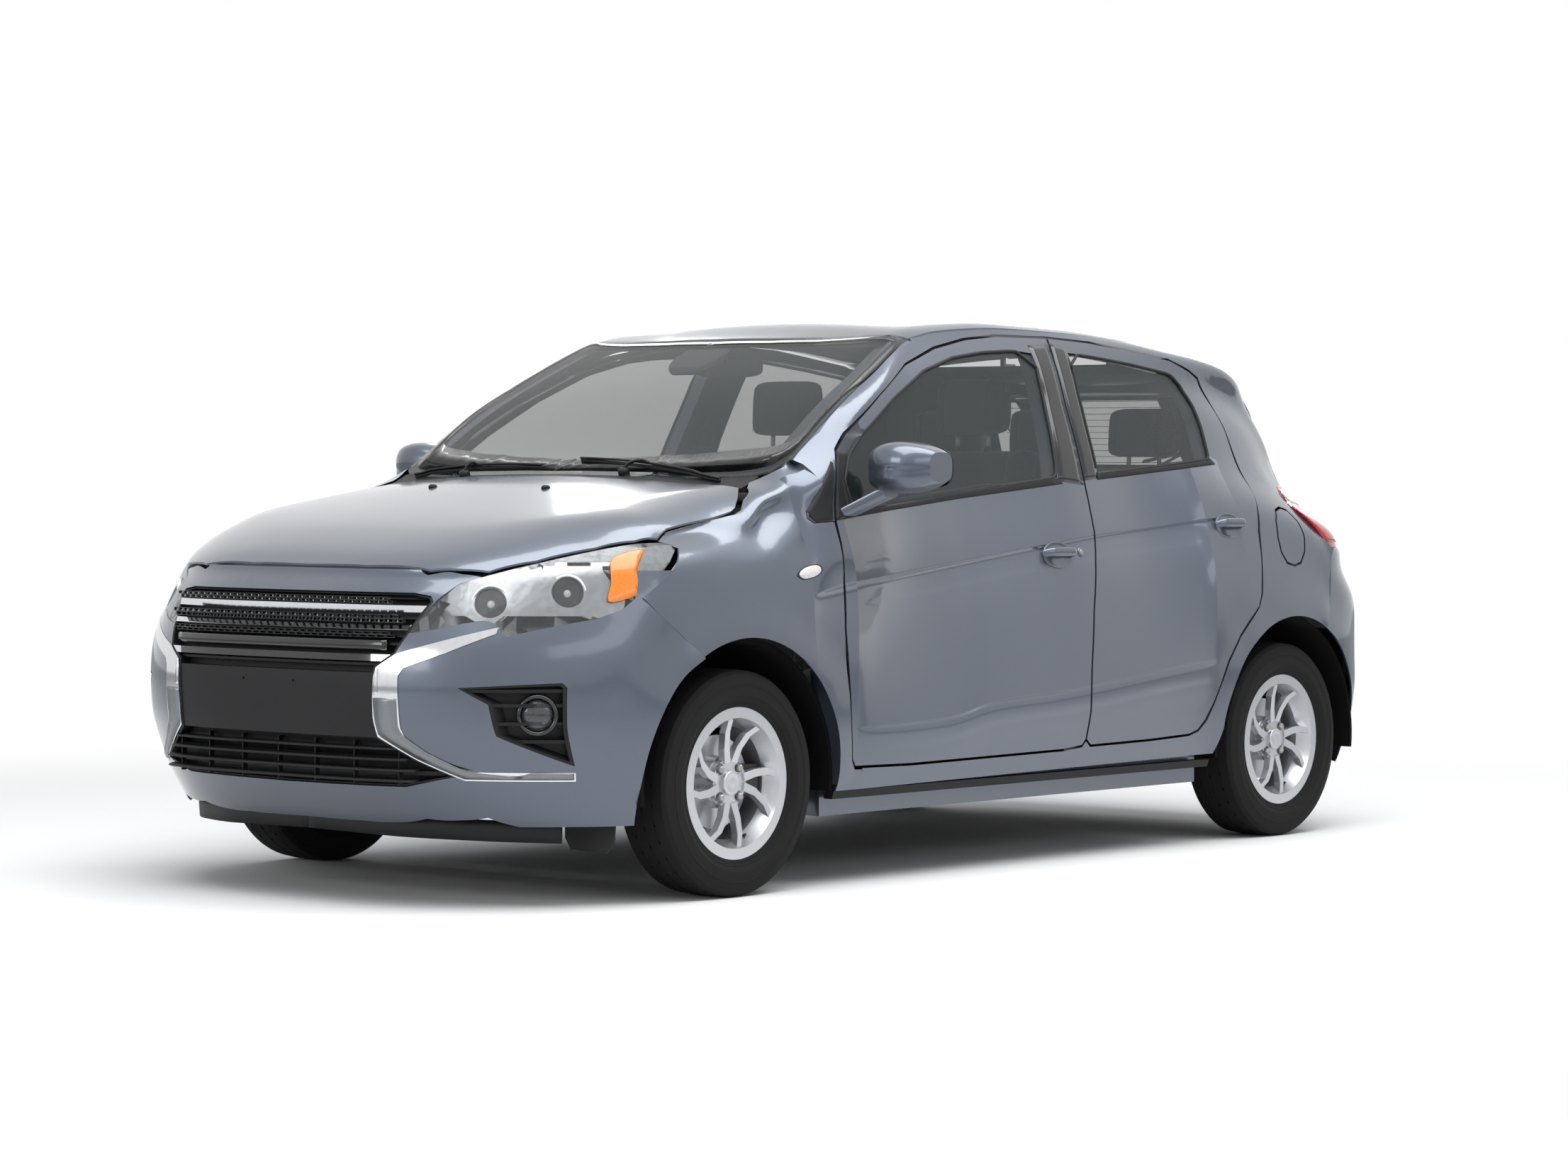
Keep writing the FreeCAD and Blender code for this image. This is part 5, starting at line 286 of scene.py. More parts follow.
def add_piece(name, verts, faces, mat, body, side=1, smooth=True, outward=True):
    """Make a mesh piece from points in metres, mirrored to the right where side is -1."""
    if side < 0:
        verts = [(x, -y, z) for x, y, z in verts]
        faces = [tuple(reversed(face)) for face in faces]
    mesh = bpy.data.meshes.new(name)
    mesh.from_pydata([tuple(v) for v in verts], [], faces)
    mesh.validate()
    mesh.update()
    for face in mesh.polygons:
        face.use_smooth = smooth
    mesh.materials.append(mat)
    piece = bpy.data.objects.new(name, mesh)
    bpy.context.scene.collection.objects.link(piece)
    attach(piece, body)
    if outward:
        work = bmesh.new()
        work.from_mesh(mesh)
        bmesh.ops.recalc_face_normals(work, faces=work.faces)
        work.to_mesh(mesh)
        work.free()
    return piece


def soften(piece, width, segments=2):
    """Round a piece's edges and keep its flat faces even."""
    bevel = piece.modifiers.new("edges", "BEVEL")
    bevel.width = width
    bevel.segments = segments
    bevel.limit_method = "ANGLE"
    bevel.angle_limit = radians(35)
    bevel.harden_normals = True
    return piece


def finer(piece, levels=1):
    level = piece.modifiers.new("finer", "SUBSURF")
    level.levels = levels
    level.render_levels = levels
    return piece


def resample(line, count):
    """Spread count points evenly along a line of points."""
    reach = [0.0]
    for a, b in zip(line, line[1:]):
        reach.append(reach[-1] + (b - a).length)
    result = []
    i = 0
    for step in range(count):
        at = reach[-1] * step / (count - 1)
        while i < len(line) - 2 and at > reach[i + 1]:
            i += 1
        span = reach[i + 1] - reach[i]
        t = (at - reach[i]) / span if span > 0 else 0.0
        result.append(line[i].lerp(line[i + 1], t))
    return result


def curve_through(line, count, closed=False):
    """Spread count points along a smooth curve through a line of points."""
    last = len(line)
    result = []
    spans = last if closed else last - 1
    for step in range(count):
        at = spans * step / (count if closed else count - 1)
        i = min(int(at), spans - 1)
        t = at - i
        near = [i + k for k in (-1, 0, 1, 2)]
        p = [line[k % last if closed else max(0, min(last - 1, k))] for k in near]
        result.append(0.5 * (2 * p[1] + (p[2] - p[0]) * t + (2 * p[0] - 5 * p[1] + 4 * p[2] - p[3]) * t * t
                             + (3 * p[1] - p[0] - 3 * p[2] + p[3]) * t * t * t))
    return result


trees = {}


def surface_of(*names):
    """Search tree over the faces of CAD nodes, built once."""
    if names not in trees:
        verts = []
        faces = []
        for name in names:
            mesh = nodes[name].data
            base = len(verts)
            verts += [v.co.copy() for v in mesh.vertices]
            faces += [[base + i for i in face.vertices] for face in mesh.polygons]
        trees[names] = BVHTree.FromPolygons(verts, faces)
    return trees[names]


def lay(point, tree, way, reach=0.4):
    """Lay a point on a surface along way, and give the surface's outward direction there."""
    hit, normal, _, _ = tree.ray_cast(point - way * reach, way)
    if hit is None:
        hit, normal, _, _ = tree.find_nearest(point)
    if normal.dot(way) > 0:
        normal = -normal
    if -normal.dot(way) < 0.3:
        normal = -way
    return hit, normal


def proud(laid, lift):
    """Points that stand lift millimetres off the surface they are laid on."""
    return [hit + normal * lift * MM for hit, normal in laid]


def ribbon(name, body, mat, first, second, tree, way, lift=0.6, sink=1.0, count=40, across=3, side=1, crown=0.0):
    """Strip between two lines, laid on a surface and standing lift millimetres proud of it."""
    verts = []
    faces = []
    rows = across + 2
    for a, b in zip(resample(first, count), resample(second, count)):
        shares = [j / (across - 1) for j in range(across)]
        laid = [lay(a.lerp(b, t), tree, way) for t in shares]
        verts += proud(laid[:1], -sink)
        for t, place in zip(shares, laid):
            verts += proud([place], lift + crown * 4 * t * (1 - t))
        verts += proud(laid[-1:], -sink)
    for i in range(count - 1):
        for j in range(rows - 1):
            k = i * rows + j
            faces.append((k, k + rows, k + rows + 1, k + 1))
    faces.append(tuple(range(rows)))
    faces.append(tuple(reversed(range((count - 1) * rows, count * rows))))
    return add_piece(name, verts, faces, mat, body, side)


def sections(name, body, mat, rings, side=1, closed=False, smooth=True, caps=True):
    """Skin over rings of points that all have the same count."""
    verts = [p for ring in rings for p in ring]
    count = len(rings[0])
    faces = []
    for i in range(len(rings) if closed else len(rings) - 1):
        after = ((i + 1) % len(rings)) * count
        for j in range(count):
            n = (j + 1) % count
            faces.append((i * count + j, i * count + n, after + n, after + j))
    if caps and not closed:
        faces.append(tuple(reversed(range(count))))
        faces.append(tuple(range((len(rings) - 1) * count, len(rings) * count)))
    return add_piece(name, verts, faces, mat, body, side, smooth)


def domed(name, body, mat, laid, levels, side=1, caps=True):
    """Piece over laid points, drawn in to its middle by share and lifted, level by level."""
    middle = sum((hit for hit, _ in laid), Vector()) / len(laid)
    rings = []
    for share, lift in levels:
        rings.append([middle.lerp(hit, share) + normal * lift * MM for hit, normal in laid])
    return sections(name, body, mat, rings, side, caps=caps)


def tube(name, body, mat, line, radius, side=1, closed=False, corners=8, flat=1.0, up=UP):
    """Round or flattened bar that follows a line of points."""
    rings = []
    last = len(line)
    for i, p in enumerate(line):
        before = line[i - 1] if closed or i > 0 else line[i]
        after = line[(i + 1) % last] if closed or i < last - 1 else line[i]
        along = (after - before).normalized()
        across = along.cross(up)
        if across.length < 0.001:
            across = along.cross(AHEAD)
        across.normalize()
        rise = across.cross(along)
        rings.append([p + (across * u + rise * v) * MM for u, v in oval(corners, radius, radius * flat)])
    return sections(name, body, mat, rings, side, closed)


def turned(name, body, mat, profile, origin, axis, side=1, corners=32, smooth=True):
    """Round piece from pairs of radius and height along axis, in millimetres, left open where it is a ring."""
    axis = axis.normalized()
    across = axis.orthogonal().normalized()
    other = axis.cross(across)
    rings = []
    for radius, height in profile:
        round_ring = oval(corners, max(radius, 0.01), max(radius, 0.01))
        rings.append([origin + (axis * height + across * u + other * v) * MM for u, v in round_ring])
    return sections(name, body, mat, rings, side, smooth=smooth, caps=profile[-1][0] < 1)


def slab(name, body, mat, outline, way, depth, side=1, edge=1.0, segments=2):
    """Plate from an outline of points, depth millimetres thick along way, with rounded edges."""
    count = len(outline)
    verts = list(outline) + [p + way.normalized() * depth * MM for p in outline]
    faces = [tuple(range(count)), tuple(reversed(range(count, 2 * count)))]
    for i in range(count):
        j = (i + 1) % count
        faces.append((i, i + count, j + count, j))
    return soften(add_piece(name, verts, faces, mat, body, side), edge * MM, segments)


def block(name, body, mat, low, high, edge=3.0, segments=3):
    """Rounded block between two corners in millimetres."""
    (x0, y0, z0), (x1, y1, z1) = low, high
    outline = points((x0, y0, z0), (x1, y0, z0), (x1, y1, z0), (x0, y1, z0))
    return slab(name, body, mat, outline, UP, z1 - z0, 1, edge, segments)


# Window surrounds, pillar strips and belt trims, alike on both sides
FRONT_GLASS = side_points(700, (590, 962), (448, 975), (150, 1006), (-313, 1050), (-335, 1160), (-357, 1278),
                          (-374, 1394), (-296, 1400), (-152, 1392), (-7, 1374), (146, 1334), (317, 1256),
                          (486, 1158), (560, 1104), (600, 1040))
REAR_GLASS = side_points(700, (-507, 1060), (-1112, 1105), (-1113, 1198), (-1108, 1270), (-1072, 1331),
                         (-1029, 1352), (-850, 1374), (-660, 1392), (-546, 1400), (-527, 1280), (-512, 1160))
FRONT_PILLAR = (side_points(700, (-377, 1416), (-361, 1278), (-339, 1160), (-317, 1040)),
                side_points(700, (-475, 1423), (-456, 1370), (-440, 1250), (-431, 1100), (-429, 1030)))
REAR_PILLAR = (side_points(700, (-485, 1424), (-468, 1370), (-453, 1250), (-443, 1100), (-440, 1042)),
               side_points(700, (-549, 1418), (-524, 1280), (-509, 1160), (-503, 1048)))
FRONT_BELT = (side_points(760, (-313, 1052), (150, 1008), (448, 977), (604, 960)),
              side_points(760, (-332, 1032), (150, 991), (448, 961), (664, 936)))
REAR_BELT = (side_points(750, (-503, 1062), (-820, 1086), (-1114, 1107)),
             side_points(750, (-499, 1044), (-820, 1068), (-1134, 1090)))
SAIL = (side_points(750, (602, 960), (606, 1040), (566, 1108)),
        side_points(750, (664, 936), (624, 1072), (604, 1112)))
SAIL_CORNER = (side_points(750, (774, 943), (774, 958), (705, 1026), (640, 1088)),
               side_points(750, (754, 932), (700, 935), (678, 937), (636, 1082)))
SEAL_SHARE = 0.45
front_skin = surface_of("door_front_left")
rear_skin = surface_of("door_rear_left")
fender_skin = surface_of("front_fender_left")
for place, side in SIDES:
    for name, row, skin, lines in (
            ("pillar_strip_front_", "front", front_skin, FRONT_PILLAR),
            ("pillar_strip_rear_", "rear", rear_skin, REAR_PILLAR),
            ("belt_trim_front_", "front", front_skin, FRONT_BELT),
            ("belt_trim_rear_", "rear", rear_skin, REAR_BELT),
            ("sail_panel_", "front", front_skin, SAIL),
            ("sail_corner_", None, surface_of("side_frame_left", "front_fender_left"), SAIL_CORNER)):
        body = "door_%s_%s" % (row, place) if row else "body"
        ribbon(name + place, body, GLOSS_BLACK if "pillar" in name else BLACK, *lines, skin, -OUT, lift=1.2,
               sink=3.0, count=24, across=5, side=side, crown=0.4)
    for row, skin, line in (("front", front_skin, FRONT_GLASS), ("rear", rear_skin, REAR_GLASS)):
        seal = []
        for p in resample(line + [line[0]], 90)[:-1]:
            hit, _ = lay(p, skin, -OUT, 0.3)
            seal.append(surface_of("glass_%s_left" % row).find_nearest(hit)[0].lerp(hit, SEAL_SHARE))
        tube("glass_seal_%s_%s" % (row, place), "door_%s_%s" % (row, place), RUBBER, seal, 4.5, side, closed=True)

# Door handles in body colour over shallow cups, with the lock beside the front one
HANDLE_PROUD = 26.0
HANDLE_STEPS = 12
for place, side in SIDES:
    for row, skin, x0, x1, z in (("front", front_skin, -159, -308, 845), ("rear", rear_skin, -1018, -1160, 919)):
        body = "door_%s_%s" % (row, place)
        rings = []
        for i in range(HANDLE_STEPS + 1):
            t = i / HANDLE_STEPS
            laid = lay(mm(x0 + (x1 - x0) * t, 800, z - 2), skin, -OUT)
            stand = HANDLE_PROUD * min(1.0, 2.6 * sin(pi * t)) - 3
            half = 13.0 - 3.5 * abs(2 * t - 1) ** 3
            rings.append([proud([laid], stand)[0] + mm(0, u, v) for u, v in oval(14, 6.5, half)])
        finer(sections("door_handle_%s_%s" % (row, place), body, PAINT, rings, side))
        cup = []
        for share, lift in ((1.0, -1.0), (0.985, 1.6), (0.93, 2.0), (0.88, 0.5), (0.45, 0.5), (0.05, 0.5)):
            around = [mm((x0 + x1) / 2 + u * share, 800, z - 6 + v * share) for u, v in oval(36, 68, 36)]
            cup.append(proud([lay(p, skin, -OUT) for p in around], lift))
        sections("handle_cup_%s_%s" % (row, place), body, PAINT, cup, side)
    hit, normal = lay(mm(-340, 800, 846), front_skin, -OUT)
    turned("door_lock_" + place, "door_front_" + place, PAINT,
           [(13, -2), (13, 1), (12, 2.6), (9, 3.4), (8.6, 2.6), (0, 2.6)], hit, normal, side)
    turned("lock_slot_" + place, "door_front_" + place, STEEL, [(7.5, 1), (7.5, 3.4), (6.5, 4.0), (0, 4.0)],
           hit, normal, side)

# Side repeaters on the fenders, then the mirror glass in its rim
REPEATER = side_points(800, (866, 800), (850, 814), (815, 823), (784, 823), (776, 812), (790, 800), (820, 792),
                       (848, 790))
low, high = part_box("mirror_left")
mirror_middle = Vector((low[0], (low[1] + 0.06 + high[1]) / 2, 1.072))
for place, side in SIDES:
    laid = [lay(p, fender_skin, -OUT) for p in curve_through(REPEATER, 32, True)]
    domed("repeater_rim_" + place, "body", BLACK, laid, ((1.12, -1.5), (1.1, 1.2), (1.0, 1.8), (0.96, 1.2)), side,
          caps=False)
    domed("repeater_lens_" + place, "body", WHITE_LENS, laid,
          ((1.0, 0.4), (0.94, 2.6), (0.75, 4.4), (0.4, 5.4), (0.03, 5.8)), side)
    laid = [(mirror_middle + mm(0, u, v), AHEAD) for u, v in oval(40, 72, 50, 0.6)]
    domed("mirror_rim_" + place, "door_front_" + place, BLACK, laid, ((1.0, 6), (1.0, -3), (0.95, -5), (0.92, -3)),
          side, caps=False)
    domed("mirror_glass_" + place, "door_front_" + place, MIRROR, laid,
          ((0.93, 2), (0.93, -3.2), (0.6, -4), (0.02, -4.2)), side)

# Grille mesh of small open cells in rows between the bars
NOSE_SKIN = surface_of("grille", "front_bumper", "headlamp_lenses", "grille_trim")
NOSE_LEVELS = (0.725, 0.681, 0.612)
NOSE_STEP = 20
NOSE_LAST = 460
MESH_ROWS = ((754, 738, 380), (712, 692, 404), (671, 656, 400))
CELL = 26.0
WALL = 1.7
CELL_SLANT = 3.0
nose_line = {}
for y in range(0, NOSE_LAST + 2 * NOSE_STEP, NOSE_STEP):
    nose_line[y] = max(lay(Vector((2.1, y * MM, z)), NOSE_SKIN, -AHEAD, 0.0)[0].x for z in NOSE_LEVELS)


def front_face(y):
    """Front line of the bars, level with their outermost face."""
    low = min(int(abs(y) // NOSE_STEP) * NOSE_STEP, NOSE_LAST)
    t = abs(y) / NOSE_STEP - low / NOSE_STEP
    return nose_line[low] * (1 - t) + nose_line[low + NOSE_STEP] * t


def face_point(back, y, z):
    """Point back millimetres behind the front line of the bars."""
    return Vector((front_face(y) - back * MM, y * MM, z * MM))


verts = []
faces = []
for top, low, half in MESH_ROWS:
    middle = (top + low) / 2
    for i in range(int(half * 2 // CELL)):
        for y0, z1, z0 in ((-half + i * CELL, top, middle), (-half + (i + 0.5) * CELL, middle, low)):
            y1 = y0 + CELL
            outer = [(y0, z1), (y1, z1), (y1, z0), (y0, z0)]
            inner = [(y0 + WALL, z1 - WALL), (y1 - WALL, z1 - WALL), (y1 - WALL - CELL_SLANT, z0 + WALL),
                     (y0 + WALL + CELL_SLANT, z0 + WALL)]
            base = len(verts)
            verts += [face_point(12.0, y, z) for y, z in outer + inner]
            verts += [face_point(24.0, y, z) for y, z in inner]
            for k in range(4):
                n = (k + 1) % 4
                faces.append((base + k, base + n, base + 4 + n, base + 4 + k))
                faces.append((base + 4 + k, base + 4 + n, base + 8 + n, base + 8 + k))
add_piece("grille_mesh", verts, faces, GLOSS_BLACK, "body", smooth=False, outward=False)

# Upright ribs behind the lower grille and the slot above the plate
for name, z0, z1, half, step in (("lower_ribs", 300, 405, 390, 130), ("slot_ribs", 577, 602, 330, 48)):
    verts = []
    faces = []
    for y in range(-half, half + 1, step):
        base = len(verts)
        for dy, dx in ((-2, 0), (2, 0), (2, -14), (-2, -14)):
            for z in (z0, z1):
                verts.append(Vector((front_face(y), 0, 0)) + mm(dx - 30, y + dy, z))
        for k in range(4):
            n = (k + 1) % 4
            faces.append((base + 2 * k, base + 2 * n, base + 2 * n + 1, base + 2 * k + 1))
    add_piece(name, verts, faces, BLACK, "body", smooth=False, outward=False)


# Level slats in the lower grille and the gloss panel under the second bar
def front_bar(name, mat, profile, half, count=41):
    across = [-half + 2 * half * i / (count - 1) for i in range(count)]
    sections(name, "body", mat, [[face_point(-x, y, z) for x, z in profile] for y in across])


for i, (z, half) in enumerate(((388, 395), (362, 420), (336, 440), (311, 440))):
    front_bar("lower_slat_%d" % (i + 1), BLACK,
              ((-16, z - 3), (-13, z - 1), (-15, z + 3), (-34, z + 6), (-36, z + 2)), half)
front_bar("grille_gloss_panel", GLOSS_BLACK,
          ((-10, 650), (-7, 646), (-6, 632), (-8, 626), (-16, 625), (-18, 651)), 372)

# Lower satin part and bright edge of the grille blades
BLADE_LOW = (end_points(1900, (349, 512), (350, 466), (356, 421), (440, 366), (533, 318), (720, 316)),
             end_points(1900, (412, 512), (412, 441), (420, 422), (468, 383), (547, 339), (723, 332)))
BLADE_EDGE = (end_points(1900, (350, 585), (350, 520)), end_points(1900, (362, 587), (362, 520)))
for place, side in SIDES:
    blade_skin = surface_of("grille_trim")
    ribbon("blade_lower_" + place, "body", SATIN, *BLADE_LOW, blade_skin, -AHEAD, lift=0.8, count=50, side=side,
           crown=0.6)
    ribbon("blade_edge_" + place, "body", CHROME, *BLADE_EDGE, blade_skin, -AHEAD, lift=1.4, count=14, side=side,
           crown=0.8)

# Headlamp insides with bulbs in bright bowls, an amber reflector, and fog lamps in their pockets
LAMP_WAY = Vector((cos(radians(42)), sin(radians(42)), 0))
BOWLS = (("low", mm(1729, 574, 737), 43.0), ("high", mm(1591, 695, 763), 42.0))
BOWL_BACK = 15.0
AMBER_LINE = side_points(900, (1378, 868), (1400, 848), (1420, 812), (1436, 772), (1448, 757), (1512, 743),
                         (1498, 785), (1478, 840), (1430, 862))
LENS_SKIN = surface_of("headlamp_lenses")
fog_middle = mm(1681, 684, 474)
for place, side in SIDES:
    for name, centre, radius in BOWLS:
        profile = [(radius + 5, -4.0), (radius + 5, -1.0), (radius + 1, 0.5), (radius, -2.0)]
        for k in range(1, 9):
            profile.append((radius * cos(pi / 2 * k / 9), -2.0 - radius * 0.95 * sin(pi / 2 * k / 9)))
        start = centre - LAMP_WAY * BOWL_BACK * MM
        turned("lamp_bowl_%s_%s" % (name, place), "body", BOWL, profile, start, LAMP_WAY, side, 40)
        turned("lamp_bulb_%s_%s" % (name, place), "body", WHITE_LENS,
               [(6, -34), (6, -14), (9, -13), (9, -10), (7, -8), (0.01, -7)], start, LAMP_WAY, side, 20)
    edge = [lay(p, LENS_SKIN, -OUT)[0] for p in curve_through(AMBER_LINE, 30, True)]
    middle = sum(edge, Vector()) / len(edge)
    rings = []
    for share, lift in ((1.0, 1.2), (0.97, 2.0), (0.6, 2.4), (0.3, 2.6), (0.03, 2.8)):
        rings.append(proud([lay(middle.lerp(p, share), LENS_SKIN, -OUT) for p in edge], lift))
    sections("amber_reflector_" + place, "body", AMBER, rings, side)
    for name, mat, profile, corners in (
            ("fog_ring_", GLOSS_BLACK, [(50, -26), (50, -3), (48, 1), (43, 1.5), (40, -2), (38, -12)], 40),
            ("fog_lens_", SCREEN, [(38.5, -14), (36, -9), (26, -5), (12, -3), (0.01, -2.6)], 32),
            ("fog_cover_", LENS, [(38.5, -12), (37, -4), (26, 0.5), (12, 2.4), (0.01, 3)], 32)):
        turned(name + place, "body", mat, profile, fog_middle, LAMP_WAY, side, corners)

# Windscreen wipers, washer jets and the dark border printed on the windscreen
SCREEN_SKIN = surface_of("windscreen", "cowl_panel", "bonnet")
WIPER_STEPS = 16
for name, pivot, blade_in, blade_out in (("driver", (905, 250), (880, 560), (838, 40)),
                                         ("passenger", (905, -330), (885, -60), (860, -560))):
    foot, _ = lay(mm(*pivot, 1300), SCREEN_SKIN, -UP, 0.0)
    turned("wiper_pivot_" + name, "body", BLACK, [(15, -12), (15, 8), (13, 14), (8, 16), (0.01, 17)], foot,
           Vector((0.35, 0, 1)), 1, 20)
    start, end = mm(*blade_in, 1300), mm(*blade_out, 1300)
    rubber = []
    spine = []
    for i in range(WIPER_STEPS + 1):
        laid = [lay(start.lerp(end, i / WIPER_STEPS), SCREEN_SKIN, -UP, 0.0)]
        rubber += proud(laid, 5)
        spine += proud(laid, 11 + 5 * sin(pi * i / WIPER_STEPS))
    tube("wiper_rubber_" + name, "body", RUBBER, rubber, 4.5, corners=6, flat=1.1)
    tube("wiper_spine_" + name, "body", BLACK, spine, 6.0, corners=6, flat=0.6)
    middle = spine[8]
    arm = [foot + UP * 0.014, foot.lerp(middle, 0.25) + UP * 0.022, foot.lerp(middle, 0.7) + UP * 0.016, middle]
    tube("wiper_arm_" + name, "body", BLACK, curve_through(arm, 12), 8.0, flat=0.55)
for i, y in enumerate((204, -204)):
    hit, _ = lay(mm(1151, y, 1300), surface_of("bonnet"), -UP, 0.0)
    laid = [(hit + mm(u, v, 0), UP) for u, v in oval(16, 14, 9)]
    domed("washer_jet_%d" % (i + 1), "bonnet", BLACK, laid, ((1.0, -2), (1.0, 3), (0.7, 7), (0.2, 8)))

PANE_SKIN = surface_of("windscreen")
BORDER_OUTER = ((935, 0), (922, 200), (895, 400), (850, 560), (824, 624), (795, 660), (732, 676), (522, 653),
                (333, 623), (150, 580), (165, 530), (195, 460), (222, 350), (240, 200), (248, 0))
BORDER_INNER = ((885, 0), (872, 200), (846, 395), (806, 540), (782, 596), (752, 628), (700, 645), (512, 624),
                (335, 596), (188, 560), (205, 515), (232, 450), (262, 350), (282, 200), (290, 0))
for place, side in SIDES:
    outer, inner = (points(*((x, y, 1300) for x, y in line)) for line in (BORDER_OUTER, BORDER_INNER))
    ribbon("screen_border_" + place, "body", FRIT, outer, inner, PANE_SKIN, -UP, lift=0.5, sink=0.2, count=110,
           side=side)


# Rear-view mirror and sensor housing inside the windscreen
def inside_screen(x, y, below):
    return proud([lay(mm(x, y, 1600), PANE_SKIN, -UP, 0.0)], -below)[0]


rings = []
for x, wide, deep in ((262, 60, 14), (300, 78, 20), (345, 82, 34), (385, 66, 30), (402, 50, 16)):
    centre = inside_screen(x, 0, 9)
    corners = ((-1, 0), (1, 0), (1, -0.6), (0.8, -1), (-0.8, -1), (-1, -0.6))
    rings.append([centre + mm(0, u * wide, v * deep) for u, v in corners])
soften(sections("sensor_housing", "body", INTERIOR, rings), 0.004)
stem = inside_screen(262, 0, 20)
middle = mm(205, 0, 1352)
tube("mirror_stem", "body", INTERIOR, [stem, stem.lerp(middle, 0.5) + UP * 0.006, middle], 7, corners=10)
for name, mat, wide, tall, levels in (
        ("shell", INTERIOR, 118, 31, ((0.82, 14), (0.97, 10), (1.0, -4), (0.97, -11), (0.93, -12))),
        ("glass", MIRROR, 112, 27, ((0.93, -12), (0.93, -13), (0.5, -13.4), (0.02, -13.5)))):
    laid = [(middle + mm(0, u, v), AHEAD) for u, v in oval(36, wide, tall, 0.5)]
    domed("cabin_mirror_" + name, "body", mat, laid, levels)

# Wheels: tread blocks, sidewall ribs, nuts, cap and valve
WHEEL_Z = 0.284
TREAD_ROWS = ((-58, 22, 40, 0.05), (-30, 22, 36, 0.05), (0, 26, 36, 0.0), (30, 22, 36, -0.05), (58, 22, 40, -0.05))
TREAD_FILL = 0.78
TREAD_RADII = (278.0, 283.6)
SHOULDER_DROP = 3.5
LUG_CIRCLE = 0.05
VALVE_CIRCLE = 0.15


def turned_on_wheel(name, mat, skin, at, profile, corners, smooth=True):
    """Round piece whose heights start at the wheel's outer face at this place."""
    height = (lay(at + OUT * 0.3, skin, -OUT, 0.1)[0].y - at.y) / MM
    profile = [(radius, height + rise) for radius, rise in profile]
    turned(name, body, mat, profile, at, OUT, side, corners, smooth)


for row, x0, y0 in (("front", 1.0675, 0.715), ("rear", -1.3825, 0.7075)):
    for place, side in SIDES:
        body = "wheel_%s_%s" % (row, place)
        tag = row + "_" + place
        hub = Vector((x0, y0, WHEEL_Z))
        verts = []
        faces = []
        for r, (offset, wide, count, slant) in enumerate(TREAD_ROWS):
            for i in range(count):
                start = 2 * pi * (i + 0.5 * (r % 2)) / count
                end = start + 2 * pi / count * TREAD_FILL
                base = len(verts)
                low, high = -wide / 2, wide / 2
                for radius in TREAD_RADII:
                    for a, dy in ((start, low), (end, low), (end + slant, high), (start + slant, high)):
                        drop = SHOULDER_DROP * (abs(offset) / 58) ** 4 if abs(offset + dy) > 50 else 0.0
                        verts.append(hub + mm((radius - drop) * cos(a), offset + dy, (radius - drop) * sin(a)))
                for k in range(4):
                    n = (k + 1) % 4
                    faces.append((base + k, base + n, base + 4 + n, base + 4 + k))
                faces.append((base + 4, base + 5, base + 6, base + 7))
        add_piece("tread_blocks_" + tag, verts, faces, TYRE, body, side, smooth=False)
        tyre_skin = surface_of("tyre_%s_left" % row)
        for k, radius in enumerate((196.0, 206.0, 246.0)):
            hit, _ = lay(hub + mm(0, 200, radius), tyre_skin, -OUT, 0.1)
            rib = [(-2.6, -3), (-1.4, 0.9), (0, 1.2), (1.4, 0.9), (2.6, -3)]
            turned("sidewall_rib_%d_%s" % (k + 1, tag), body, TYRE,
                   [(radius + wide, (hit.y - y0) / MM + rise) for wide, rise in rib], hub, OUT, side, 72)
        rim_skin = surface_of("rim_%s_left" % row)
        turned_on_wheel("hub_cap_" + tag, ALLOY, rim_skin, hub,
                        [(31, -4), (31, 0.5), (29.5, 2), (24, 3.4), (22, 2.6), (10, 3.4), (0.01, 3.8)], 40)
        for i in range(4):
            angle = pi / 4 + pi / 2 * i
            spot = hub + Vector((cos(angle), 0, sin(angle))) * LUG_CIRCLE
            turned_on_wheel("wheel_nut_%d_%s" % (i + 1, tag), STEEL, rim_skin, spot,
                            [(10.5, -10), (10.5, 2), (9.2, 4.5), (6.5, 7), (0.01, 7.6)], 6, smooth=False)
        spoke = Vector((cos(radians(247)), 0, sin(radians(247))))
        turned("valve_" + tag, body, RUBBER, [(5, -22), (4.5, 6), (3.5, 8), (3.5, 16), (0.01, 17)],
               hub + spoke * VALVE_CIRCLE + OUT * 0.035, OUT - spoke * 0.45, side, 12)


# Seats: crowned cushions with side bolsters, seams and sewn channels
def full_row(*half):
    """Whole row of share, swell and bolster from one edge to the other, given up to the middle."""
    return half + tuple((-share, swell, bolster) for share, swell, bolster in reversed(half[:-1]))


SEAT_ROW = full_row((-1.0, -30, 0), (-0.985, -13, 0), (-0.94, -1, 2), (-0.86, 1, 19), (-0.74, 0, 22),
                    (-0.655, 0, 9), (-0.63, 0, -6), (-0.605, 0, 2), (-0.35, 0, 6), (0.0, 0, 8))
BENCH_ROW = full_row((-1.0, -30, 0), (-0.985, -12, 0), (-0.95, 0, 2), (-0.85, 0, 12), (-0.6, 0, 10),
                     (-0.36, 0, 12), (-0.26, 0, 8), (-0.245, 0, -6), (-0.23, 0, 6), (0.0, 0, 10))
REST_ROW = full_row((-1.0, -30, 0), (-0.96, -15, 0), (-0.86, -4, 1), (-0.6, 0, 5), (-0.3, 0, 8), (0.0, 0, 9))
CHANNEL_DEPTH = 9.0
CHANNEL_REACH = 22.0
PAD_CORNERS = 84


